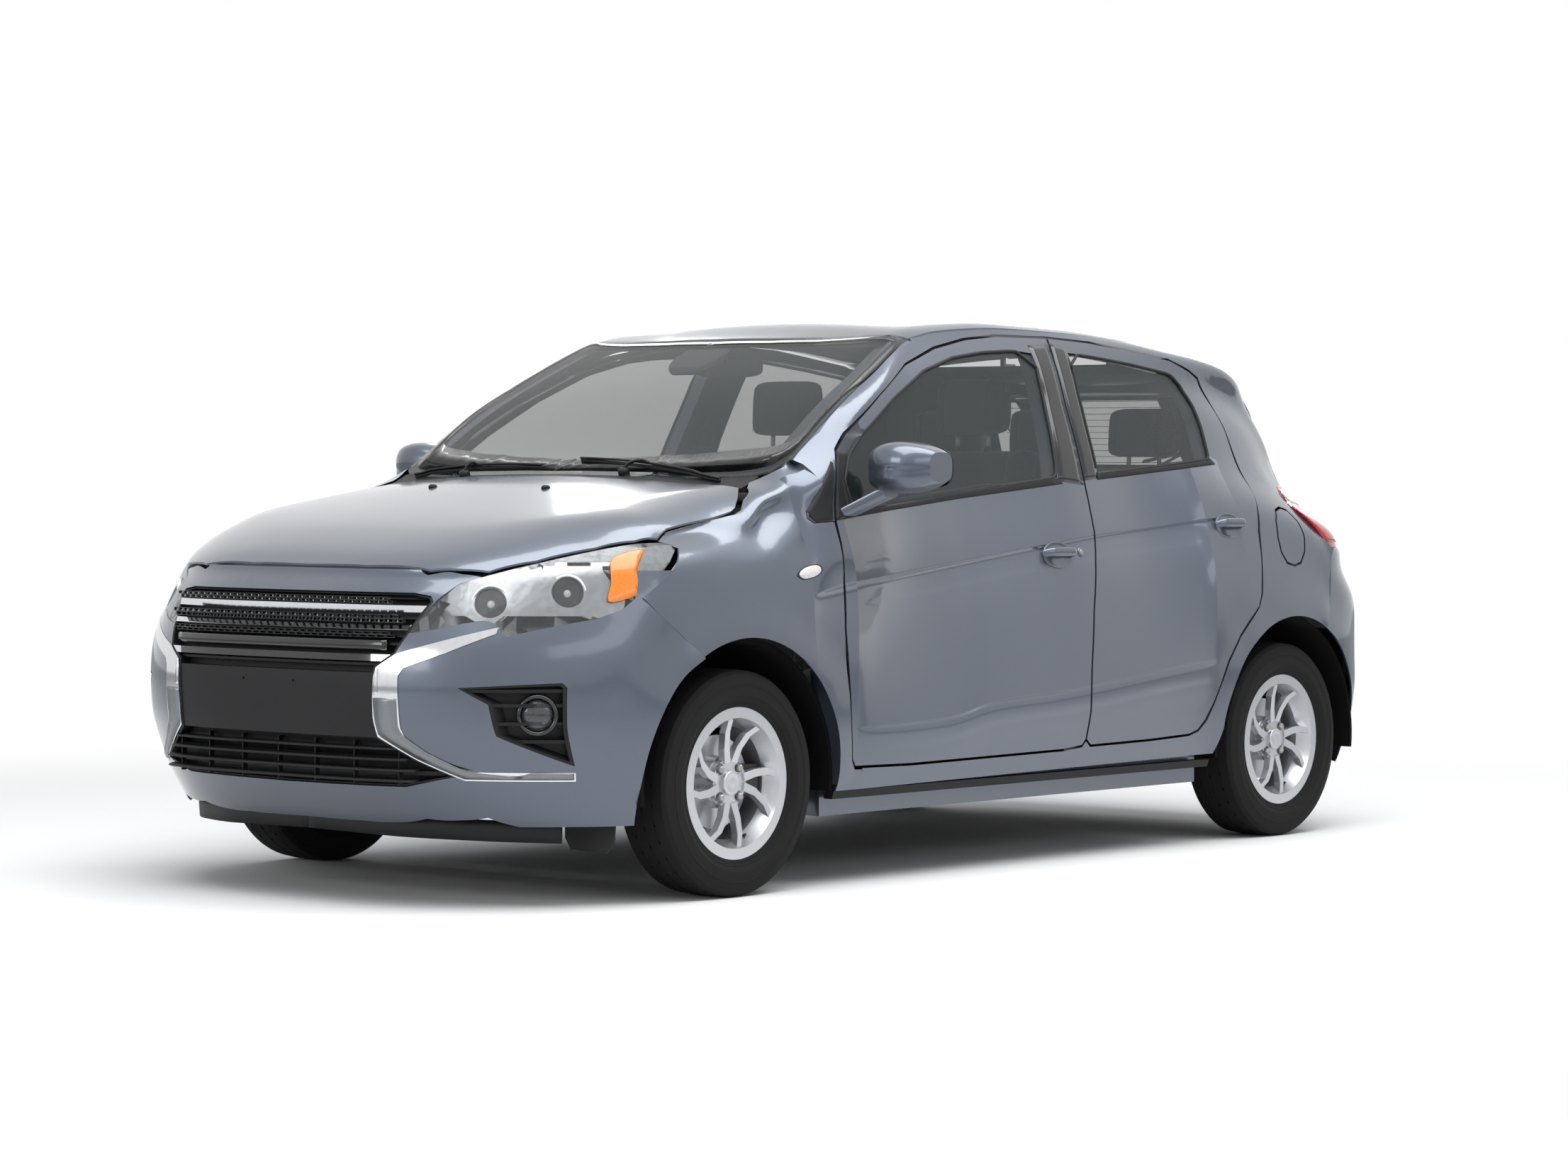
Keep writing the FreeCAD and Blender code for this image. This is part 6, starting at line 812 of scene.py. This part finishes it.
def pad(name, outline, way, middle, half, row, channels=(), panel=0.64):
    """Stuffed pad from a closed outline of X and Z, swollen along its seat face."""
    way = Vector((way[0], 0, way[1])).normalized()
    ring = curve_through([Vector((x, 0, z)) for x, z in outline], PAD_CORNERS, True)
    turn = 1 if sum(a.x * b.z - b.x * a.z for a, b in zip(ring, ring[1:] + ring[:1])) > 0 else -1
    rings = []
    for share, swell, bolster in row:
        line = []
        for i, p in enumerate(ring):
            along = (ring[(i + 1) % PAD_CORNERS] - ring[i - 1]).normalized()
            normal = Vector((along.z, 0, -along.x)) * turn
            face = max(0.0, normal.dot(way)) ** 2
            grow = swell + bolster * face
            if abs(share) < panel:
                for x, z in channels:
                    near = max(0.0, 1 - (p - Vector((x, 0, z))).length / CHANNEL_REACH)
                    grow -= CHANNEL_DEPTH * face * near * min(1.0, (panel - abs(share)) * 12)
            line.append((p + normal * grow + OUT * (middle + half * share)) * MM)
        rings.append(line)
    piece = sections(name, "body", SIDE_FABRIC, rings)
    piece.data.materials.append(FABRIC)
    for face in piece.data.polygons:
        if abs(face.center.y / MM - middle) < half * panel and Vector(face.normal).dot(way) > 0.1:
            face.material_index = 1
    finer(piece)
    return piece


CUSHION = ((-392, 350), (-300, 342), (-150, 340), (0, 345), (60, 372), (82, 420), (76, 468), (48, 496), (-20, 498),
           (-120, 490), (-230, 482), (-330, 480), (-388, 470), (-398, 420))
BACKREST = ((-318, 470), (-322, 530), (-336, 620), (-352, 720), (-372, 830), (-392, 940), (-412, 1050),
            (-432, 1112), (-470, 1122), (-497, 1090), (-492, 1000), (-474, 850), (-455, 700), (-440, 560),
            (-428, 480), (-380, 460))
HEADREST = ((-419, 1180), (-416, 1250), (-424, 1310), (-450, 1328), (-484, 1318), (-494, 1260), (-488, 1190),
            (-455, 1170))
SHIELD = ((-400, 356), (-300, 345), (-40, 345), (20, 362), (28, 392), (-60, 412), (-250, 420), (-380, 428),
          (-408, 400))
CUSHION_SEAMS = ((-20, 500), (-130, 490), (-240, 484))
BACK_SEAMS = ((-345, 680), (-362, 780), (-382, 880), (-402, 990))
SEAT_HALF = 226
for place, side in SIDES:
    middle = 345 * side
    seat = "front_seat_" + place
    cushion = pad(seat + "_cushion", CUSHION, (0.1, 1), middle, SEAT_HALF, SEAT_ROW, CUSHION_SEAMS)
    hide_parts(seat)
    pad(seat + "_back", BACKREST, (1, 0.15), middle, 224, SEAT_ROW, BACK_SEAMS)
    pad(seat + "_headrest", HEADREST, (1, 0), middle, 121, REST_ROW)
    for i, sign in enumerate((-1, 1)):
        post, rail = middle + 55 * sign, middle + 175 * sign
        number = "_%d" % (i + 1)
        bar, collar = points((-452, post, 1095), (-455, post, 1200)), points((-452, post, 1108), (-454, post, 1136))
        tube(seat + "_post" + number, "body", STEEL, bar, 6.5, corners=10)
        tube(seat + "_post_collar" + number, "body", BLACK, collar, 13, corners=14)
        block(seat + "_rail" + number, "body", STEEL, (-355, rail - 17, 262), (15, rail + 17, 290), 4)
        for k, x in enumerate((-320, -30)):
            block("%s_foot%s_%d" % (seat, number, k + 1), "body", DARK_METAL, (x - 18, rail - 12, 288),
                  (x + 18, rail + 12, 352), 4)
    outer = middle + side * SEAT_HALF
    slab(seat + "_side_shield", "body", INTERIOR, side_points(outer - side * 2, *SHIELD), OUT * side, 8, edge=2.5)
    turned(seat + "_recline_knob", "body", INTERIOR, [(24, 0), (26, 6), (24, 14), (12, 17), (0.01, 17)],
           mm(-372, outer + side * 5, 446), OUT * side, 1, 20)
    low, high = middle - side * 232, middle - side * 236
    buckle = points((-270, low, 330), (-262, high, 420), (-256, high, 520))
    tube(seat + "_buckle", "body", BLACK, buckle, 13, flat=0.45)

BENCH_SEAT = ((-1165, 340), (-1000, 332), (-820, 335), (-745, 350), (-722, 400), (-722, 460), (-742, 502),
              (-790, 512), (-900, 508), (-1010, 500), (-1110, 492), (-1160, 480), (-1172, 420))
BENCH_BACK = ((-1108, 480), (-1118, 560), (-1138, 680), (-1160, 800), (-1182, 920), (-1204, 1030), (-1225, 1068),
              (-1262, 1076), (-1300, 1056), (-1300, 980), (-1282, 860), (-1262, 720), (-1245, 600), (-1236, 500),
              (-1200, 470), (-1150, 465))
REAR_REST = ((-1216, 1122), (-1213, 1180), (-1222, 1240), (-1248, 1256), (-1282, 1246), (-1294, 1190),
             (-1288, 1130), (-1255, 1113))
bench = pad("rear_bench_cushion", BENCH_SEAT, (0.05, 1), 0, 580, BENCH_ROW, ((-830, 512), (-960, 505)), 0.93)
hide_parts("rear_bench")
pad("rear_bench_back", BENCH_BACK, (1, 0.1), 0, 580, BENCH_ROW, ((-1150, 740), (-1178, 890)), 0.93)
for i, y in enumerate((370, 0, -370)):
    pad("rear_headrest_%d" % (i + 1), REAR_REST, (1, 0), y, 118, REST_ROW)
    for k, post in enumerate((y - 55, y + 55)):
        bar = points((-1252, post, 1050), (-1255, post, 1145))
        tube("rear_post_%d_%d" % (i + 1, k + 1), "body", STEEL, bar, 6.5, corners=10)
for i, y in enumerate((-470, -200, 200, 470)):
    block("bench_foot_%d" % (i + 1), "body", DARK_METAL, (-1120, y - 30, 300), (-800, y + 30, 345), 5)

# Seat belts down the middle pillars, with their loops
frame_skin = surface_of("side_frame_left")
for place, side in SIDES:
    lines = [points((x, 500, 1150), (x - 4, 500, 800), (x - 12, 500, 420)) for x in (-400, -446)]
    ribbon("belt_" + place, "body", BELT, *lines, frame_skin, OUT, lift=6, sink=0.5, count=24, side=side)
    hit, normal = lay(mm(-423, 500, 1165), frame_skin, OUT)
    turned("belt_loop_" + place, "body", BLACK, [(30, -3), (32, 6), (26, 14), (12, 16), (0.01, 16)], hit, normal,
           side, 20)

# Dashboard: crowned pad, instruments, vents, screen, glove box and controls
HOOD_MIDDLE = 370
rings = []
for share in (-1, -0.985, -0.94, -0.7, -0.45, -0.3, -0.14, 0, 0.14, 0.3, 0.45, 0.7, 0.94, 0.985, 1):
    y = share * 628
    end = 18 if abs(share) == 1 else (6 if abs(share) > 0.98 else 0)
    hood = 14 * exp(-((y - HOOD_MIDDLE) / 150) ** 4)
    ring = [(516 + end, 905), (512 + end, 940), (524 + end, 975 + hood * 0.7), (556 + end, 994 + hood),
            (640, 1000 + hood * 0.5), (740, 996), (786, 990), (786, 975), (700, 965), (600, 950), (540 + end, 905)]
    rings.append([mm(x, y, z - end) for x, z in ring])
finer(sections("dashboard_top", "body", PAD_SOFT, rings), 2)
for i, y in enumerate((560, 118, -118, -560)):
    outline = end_points(511, (y - 55, 858), (y + 55, 858), (y + 50, 918), (y - 50, 918))
    slab("dash_vent_frame_%d" % (i + 1), "body", GLOSS_BLACK, outline, AHEAD, 14, edge=4)
    for k, z in enumerate((868, 880, 892, 904)):
        block("dash_vent_slat_%d_%d" % (i + 1, k + 1), "body", SATIN, (505, y - 46, z), (516, y + 46, z + 2), 0.8, 1)
display = end_points(507, (-92, 748), (92, 748), (92, 846), (-92, 846))
slab("dash_display", "body", SCREEN, display, AHEAD, 16, edge=4)
glove_lid = end_points(512, (-560, 722), (-190, 722), (-190, 838), (-560, 838))
slab("glove_box", "body", INTERIOR, glove_lid, AHEAD, 12, edge=4)
block("glove_box_latch", "body", BLACK, (506, -400, 812), (516, -350, 826), 2)
KNOB = [(24, -4), (23, 14), (20, 18), (0.01, 18)]
KNOB_RING = [(26, -4), (27, 3), (24.5, 5), (23.5, 0)]
DIAL = [(46, 0), (46, 3), (0.01, 3.5)]
DIAL_RING = [(50, -2), (50, 8), (46, 9), (46, 1)]
for kind, rim, places, face, edge, x, z, corners in (
        ("climate_knob_", "climate_ring_", (-60, 0, 60), (BLACK, KNOB), KNOB_RING, 549, 712, 24),
        ("instrument_dial_", "instrument_ring_", (440, 330), (SCREEN, DIAL), DIAL_RING, 521, 925, 32)):
    for i, y in enumerate(places):
        turned(kind + str(i + 1), "body", *face, mm(x, y, z), -AHEAD, 1, corners)
        turned(rim + str(i + 1), "body", CHROME, edge, mm(x, y, z), -AHEAD, 1, corners)

# Steering wheel with its stalks, in directions along the column, up the wheel and across
centre = mm(322, 370, 925)
column = Vector((cos(radians(25)), 0, -sin(radians(25))))
wheel_up = Vector((sin(radians(25)), 0, cos(radians(25))))


def at_wheel(across, up, back):
    """Place in metres from the middle of the steering wheel."""
    return centre + OUT * across + wheel_up * up + column * back


grip = [at_wheel(u, v, 0) for u, v in oval(64, 0.183, 0.183)]
tube("steering_wheel_cover", "steering_wheel", PAD_SOFT, grip, 15.5, closed=True, corners=14, up=column)
turned("steering_wheel_boss", "steering_wheel", PAD_SOFT,
       [(74, 12), (78, 0), (74, -14), (58, -22), (30, -26), (0.01, -27)], centre, column, 1, 40)
for i, (y, z) in enumerate(((-1, 0.12), (1, 0.12), (-0.35, -1), (0.35, -1))):
    reach = (OUT * y + wheel_up * z).normalized()
    spoke = [at_wheel(0.06 * y, 0.06 * z, 0.004), centre + reach * 0.12 + column * 0.008, centre + reach * 0.178]
    tube("steering_spoke_%d" % (i + 1), "steering_wheel", SATIN, spoke, 15, corners=10, flat=0.5)
for name, sign in (("light", 1), ("wiper", -1)):
    stalk = [at_wheel(y * sign, up, back) for y, up, back in ((0.03, 0, 0.075), (0.10, 0.012, 0.07), (0.165, 0.022, 0.066))]
    tube(name + "_stalk", "body", BLACK, stalk, 8, corners=10)

# Gear lever with its boot, hand brake and pedals
tube("gear_boot", "body", PAD_SOFT, points((420, 0, 470), (423, 0, 520), (428, 0, 548)), 48, corners=4)
tube("gear_lever", "body", STEEL, points((425, 0, 540), (436, 0, 640)), 7, corners=10)
turned("gear_knob", "body", GLOSS_BLACK, [(10, -4), (22, 6), (25, 22), (24, 38), (16, 50), (0.01, 54)],
       mm(435, 0, 632), Vector((0.1, 0, 1)), 1, 24)
tube("hand_brake", "body", INTERIOR, points((-40, 40, 400), (30, 40, 418), (110, 40, 452), (180, 40, 488)), 15,
     corners=12, flat=0.8)
for name, y, wide in (("clutch", 465, 32), ("brake", 385, 36), ("throttle", 300, 24)):
    tube(name + "_arm", "body", DARK_METAL, points((700, y, 690), (672, y, 560), (655, y, 440)), 7)
    block(name + "_pedal", "body", RUBBER, (642, y - wide, 395), (654, y + wide, 450), 4)

# Door cards: arm rest, pull, speaker, fabric insert and pocket on each door, then the floor mats
ARM_REST = ((0.22, 0.018), (0.3, 0.034), (0.5, 0.04), (0.72, 0.04), (0.84, 0.026))
PULL = ((0.34, 0.006), (0.38, 0.03), (0.5, 0.034), (0.56, 0.006))
SPEAKER = [(72, -3), (74, 6), (64, 9), (40, 6), (0.01, 9)]
CARD_PARTS = (
    ("_card_insert", SIDE_FABRIC, ((0.1, 620), (0.5, 640), (0.94, 660)), ((0.1, 820), (0.5, 830), (0.94, 838)), 24, 3, 3),
    ("_pocket", INTERIOR, ((0.42, 372), (0.6, 372), (0.9, 372)), ((0.42, 470), (0.6, 470), (0.9, 470)), 20, 6, 14))
for part, x_front, x_rear, z_arm in (("front", 520, -330, 700), ("rear", -500, -1050, 740)):
    card_skin = surface_of("door_%s_left" % part)

    def card(share, z):
        """Place on the door at this share of its length."""
        return mm(x_front - (x_front - x_rear) * share, 560, z)

    def on_card(share, z):
        return lay(card(share, z), card_skin, OUT, 0.1)

    for place, side in SIDES:
        body = "door_%s_%s" % (part, place)
        arm = [on_card(s, z_arm + 20 * s)[0] - OUT * d for s, d in ARM_REST]
        tube(body + "_arm_rest", body, PAD_SOFT, curve_through(arm, 16), 30, side, corners=12, flat=0.75)
        pull = [on_card(s, z_arm + 62)[0] - OUT * d for s, d in PULL]
        tube(body + "_pull", body, SATIN, curve_through(pull, 12), 9, side)
        turned(body + "_speaker", body, BLACK, SPEAKER, *on_card(0.24, 470), side, 32)
        for name, mat, low, high, count, lift, crown in CARD_PARTS:
            lines = [[card(*pair) for pair in line] for line in (low, high)]
            ribbon(body + name, body, mat, *lines, card_skin, OUT, lift=lift, sink=0.5, count=count, across=5,
                   side=side, crown=crown)
for i, (x0, x1, y) in enumerate(((180, 560, 345), (180, 560, -345), (-680, -480, 345), (-680, -480, -345))):
    block("floor_mat_%d" % (i + 1), "body", CARPET, (x0, y - 200, 251), (x1, y + 200, 257), 2)

# Tail lamps: red lower part and clear upper part
TAIL_WAY = Vector((cos(radians(42)), -sin(radians(42)), 0))
LAMP_LINES = (
    ("reverse", WHITE_LENS, points((-1490, 760, 1018), (-1640, 650, 1018), (-1690, 590, 1016)),
     points((-1486, 762, 990), (-1660, 650, 966), (-1720, 590, 958))),
    ("stop", RED, points((-1492, 768, 975), (-1665, 650, 950), (-1730, 590, 942)),
     points((-1600, 800, 862), (-1720, 690, 858), (-1780, 592, 858))))
for place, side in SIDES:
    for name, finish, upper, lower in LAMP_LINES:
        ribbon("tail_%s_%s" % (name, place), "body", finish, upper, lower, surface_of("tail_lamps"), TAIL_WAY,
               lift=1.6, sink=1.5, count=26, across=8, side=side, crown=1.5)

# Spoiler over the rear window, with its high stop lamp
BEHIND = -2400
GATE_SKIN = surface_of("tailgate", "tailgate_glass")
SPOILER_SECTIONS = ((0, -1350, -1634, 1331), (150, -1352, -1634, 1330), (300, -1354, -1628, 1329),
                    (400, -1362, -1616, 1328), (460, -1375, -1600, 1327), (490, -1400, -1575, 1325),
                    (504, -1425, -1540, 1320))
rings = []
for sign, half in ((-1, reversed(SPOILER_SECTIONS)), (1, SPOILER_SECTIONS[1:])):
    for y, x_root, x_tip, z_tip in half:
        root, _ = lay(mm(x_root, y * sign, 1800), GATE_SKIN, -UP, 0.0)
        under, _ = lay(mm(BEHIND, y * sign, 1300), GATE_SKIN, AHEAD, 0.0)
        tip = mm(x_tip, y * sign, z_tip)
        top = [root.lerp(tip, t) + UP * (0.018 * sin(pi * t) + 0.002) for t in (0.0, 0.2, 0.4, 0.6, 0.8, 0.95)]
        edge = [tip + mm(-1, 0, -2), tip + mm(0, 0, -10), tip + mm(6, 0, -14)]
        lower = [tip.lerp(under, t) + mm(0, 0, -12) for t in (0.35, 0.7)]
        rings.append(top + edge + lower + [under + mm(15, 0, 0), root + mm(0, 0, -20)])
finer(sections("rear_spoiler", "tailgate", PAINT, rings))
stop = points((-1630, -110, 1318), (-1630, 110, 1318), (-1628, 110, 1325), (-1628, -110, 1325))
slab("high_stop_lamp", "tailgate", RED, stop, -AHEAD, 6.5, edge=1.5)

# Rear window: heating lines and a dark printed border
PANE_REAR = surface_of("tailgate_glass")
for i in range(11):
    half = 455 - 2.0 * i
    line = [lay(mm(BEHIND, half * (k / 7 - 1), 1100 + i * 19), PANE_REAR, AHEAD, 0.0) for k in range(15)]
    tube("heating_line_%d" % (i + 1), "tailgate", DARK_METAL, proud(line, -4.6), 0.9, corners=4)
REAR_BORDER = (
    ("low", ((0, 1070), (300, 1071), (496, 1074)), ((0, 1092), (300, 1093), (474, 1098))),
    ("side", ((498, 1074), (509, 1092), (498, 1180), (476, 1288)), ((474, 1096), (482, 1104), (474, 1180), (454, 1280))),
    ("top", ((0, 1310), (300, 1308), (474, 1302)), ((0, 1290), (300, 1289), (452, 1282))))
for place, side in SIDES:
    for name, *lines in REAR_BORDER:
        first, second = (end_points(BEHIND, *line) for line in lines)
        ribbon("rear_border_%s_%s" % (name, place), "tailgate", FRIT, first, second, PANE_REAR, AHEAD, lift=0.4,
               sink=0.2, count=22, side=side)

# Rear wiper, blank number plate, the strip over it, bumper reflectors and lower trim
pivot, normal = lay(mm(BEHIND, 0, 1048), GATE_SKIN, AHEAD, 0.0)
turned("rear_wiper_pivot", "tailgate", BLACK, [(19, -4), (19, 10), (16, 18), (8, 22), (0.01, 22)], pivot, normal,
       1, 24)
laid = [lay(mm(BEHIND, 20 + 34 * i, 1098 + 6 * i), PANE_REAR, AHEAD, 0.0) for i in range(11)]
normal = laid[-1][1]
blade = proud(laid, 12)
tube("rear_wiper_blade", "tailgate", RUBBER, proud(laid, 5), 4.5, corners=6)
tube("rear_wiper_spine", "tailgate", BLACK, blade, 5.5, corners=6)
arm = [pivot + normal * 0.016, pivot.lerp(blade[5], 0.5) + normal * 0.022, blade[5]]
tube("rear_wiper_arm", "tailgate", BLACK, curve_through(arm, 10), 7.5, flat=0.6)
gate = surface_of("tailgate")
face_x = min(lay(mm(BEHIND, y, z), gate, AHEAD, 0.0)[0].x for y in (-150, 0, 150) for z in (770, 920))
plate = [Vector((face_x, 0, 0)) + mm(-4, u, 845 + v) for u, v in oval(48, 152.5, 77.5, 0.25)]
slab("blank_plate_rear", "tailgate", PLATE, plate, -AHEAD, 1.6, edge=0.5)
for i, y in enumerate((-89, 89)):
    turned("plate_screw_%d" % (i + 1), "tailgate", STEEL, [(5.5, 0), (5.5, 2.5), (4, 4), (0.01, 4.4)],
           Vector((face_x, 0, 0)) + mm(-5, y, 900), -AHEAD, 1, 6, smooth=False)
upper = end_points(BEHIND, (-330, 968), (0, 968), (330, 968))
lower = end_points(BEHIND, (-360, 938), (0, 938), (360, 938))
ribbon("tailgate_garnish", "tailgate", PAINT, upper, lower, gate, AHEAD, lift=6, sink=2, count=24, across=5, crown=8)
bumper = surface_of("rear_bumper")
upper = end_points(BEHIND, (500, 402), (640, 402))
lower = end_points(BEHIND, (500, 374), (640, 374))
for place, side in SIDES:
    ribbon("reflector_" + place, "body", RED, upper, lower, bumper, AHEAD, lift=2.0, count=20, across=4, side=side,
           crown=1.0)
upper = end_points(BEHIND, (-600, 290), (-400, 315), (400, 315), (600, 290))
lower = end_points(BEHIND, (-620, 215), (-400, 214), (400, 214), (620, 215))
ribbon("bumper_lower_trim", "body", BLACK, upper, lower, bumper, AHEAD, lift=2.0, count=60, across=4, crown=1.0)

# Foot of the roof aerial at the rear edge of the roof
foot, _ = lay(mm(-1200, 0, 1800), surface_of("roof"), -UP, 0.0)
rings = []
for rise, long, wide in ((-2, 34, 15), (2, 34, 15), (8, 26, 11), (13, 12, 7), (15, 3, 3)):
    rings.append([foot + mm(u - 4, v, rise) for u, v in oval(20, long, wide)])
sections("aerial_foot", "body", BLACK, rings)

# Black deflector under the bumper and the flaps ahead of the front wheels
EDGE_LINE = points((1780, 0, 214), (1776, 200, 211), (1760, 320, 208), (1700, 470, 205), (1640, 560, 202),
                   (1560, 650, 199))
LIP = ((-4, 10), (4, 10), (5, -8), (2, -42), (-3, -42), (-4, -8))
FLAP = end_points(1448, (560, 240), (700, 240), (726, 200), (722, 150), (700, 128), (580, 132), (560, 160))
FLAP[2].x = FLAP[3].x = 1.446
for place, side in SIDES:
    rings = [[p + mm(dx, 0, dz) for dx, dz in LIP] for p in resample(curve_through(EDGE_LINE, 24), 24)]
    sections("bumper_deflector_" + place, "body", BLACK, rings, side)
    slab("wheel_flap_" + place, "body", RUBBER, FLAP, AHEAD, 5, side, edge=1.5)

# Floor, light and camera
FADE_START = 2.3
FADE_END = 5.0
FLOOR_HALF = 40
for name, place, target, width, height, power in (
        ("sky", (0.8, 1.6, 5.2), (0.2, 0, 0), 8.0, 4.5, 500),
        ("front", (8.0, -0.5, 2.6), (1.0, 0, 0.6), 4.0, 2.2, 120),
        ("side", (1.5, 8.0, 3.0), (0, 0, 0.6), 8.0, 1.6, 60),
        ("back", (-6.5, -4.0, 3.5), (0, 0, 0.6), 5.0, 2.5, 160)):
    data = bpy.data.lights.new(name, "AREA")
    data.shape = "RECTANGLE"
    data.size = width
    data.size_y = height
    data.energy = power
    light = bpy.data.objects.new(name, data)
    bpy.context.scene.collection.objects.link(light)
    light.location = place
    light.rotation_euler = (Vector(target) - Vector(place)).to_track_quat("-Z", "Y").to_euler()


def mix_in(tree, share, usual, other, output):
    """Let one shader change to another by share, and send the result to the output."""
    mix = add_node(tree, "MixShader", {"Fac": share, 1: usual, 2: other})
    tree.links.new(mix.outputs["Shader"], tree.nodes[output].inputs["Surface"])


mesh = bpy.data.meshes.new("studio_floor")
corners = [(x * FLOOR_HALF, y * FLOOR_HALF, 0) for x, y in ((-1, -1), (1, -1), (1, 1), (-1, 1))]
mesh.from_pydata(corners, [], [(0, 1, 2, 3)])
floor = bpy.data.objects.new("studio_floor", mesh)
bpy.context.scene.collection.objects.link(floor)
mesh.materials.append(material("floor_pale", (0.8, 0.8, 0.8), rough=0.9, bump=0.02, scale=30.0, change=0.01))
tree = mesh.materials[0].node_tree
reach = add_node(tree, "VectorMath", {0: add_node(tree, "TexCoord").outputs["Object"]})
reach.operation = "LENGTH"
fade = add_node(tree, "MapRange", {"From Min": FADE_START, "From Max": FADE_END, "Value": reach.outputs["Value"]})
fade.interpolation_type = "SMOOTHSTEP"
path = add_node(tree, "LightPath").outputs
seen = math_node(tree, "MAXIMUM", path["Is Camera Ray"], path["Is Transmission Ray"])
share = math_node(tree, "MULTIPLY", fade.outputs["Result"], seen)
mix_in(tree, share, tree.nodes["Principled BSDF"].outputs["BSDF"], add_node(tree, "Emission").outputs["Emission"],
       "Material Output")

world = bpy.data.worlds.new("studio")
bpy.context.scene.world = world
world.use_nodes = True
tree = world.node_tree
soft = tree.nodes["Background"]
soft.inputs["Color"].default_value = (0.62, 0.64, 0.67, 1)
soft.inputs["Strength"].default_value = 0.5
path = add_node(tree, "LightPath").outputs
seen = math_node(tree, "MAXIMUM", path["Is Camera Ray"], path["Is Transmission Ray"])
seen = math_node(tree, "MAXIMUM", seen, path["Is Glossy Ray"])
mix_in(tree, seen, soft.outputs["Background"],
       add_node(tree, "Background", {"Color": (1, 1, 1, 1)}).outputs["Background"], "World Output")

CAMERA_PLACE = (8.7925, 7.4826, 1.0434)
YAW, PITCH, ROLL = radians(220.286), radians(-1.526), radians(0.296)
data = bpy.data.cameras.new("camera")
data.sensor_width = 36.0
data.lens = 94.48
data.clip_end = 200.0
camera = bpy.data.objects.new("camera", data)
bpy.context.scene.collection.objects.link(camera)
forward = Vector((cos(YAW) * cos(PITCH), sin(YAW) * cos(PITCH), sin(PITCH)))
turn = forward.to_track_quat("-Z", "Y").to_matrix().to_4x4()
camera.matrix_world = Matrix.Translation(CAMERA_PLACE) @ turn @ Matrix.Rotation(ROLL, 4, "Z")
bpy.context.scene.camera = camera
bpy.context.scene.view_settings.view_transform = "Standard"
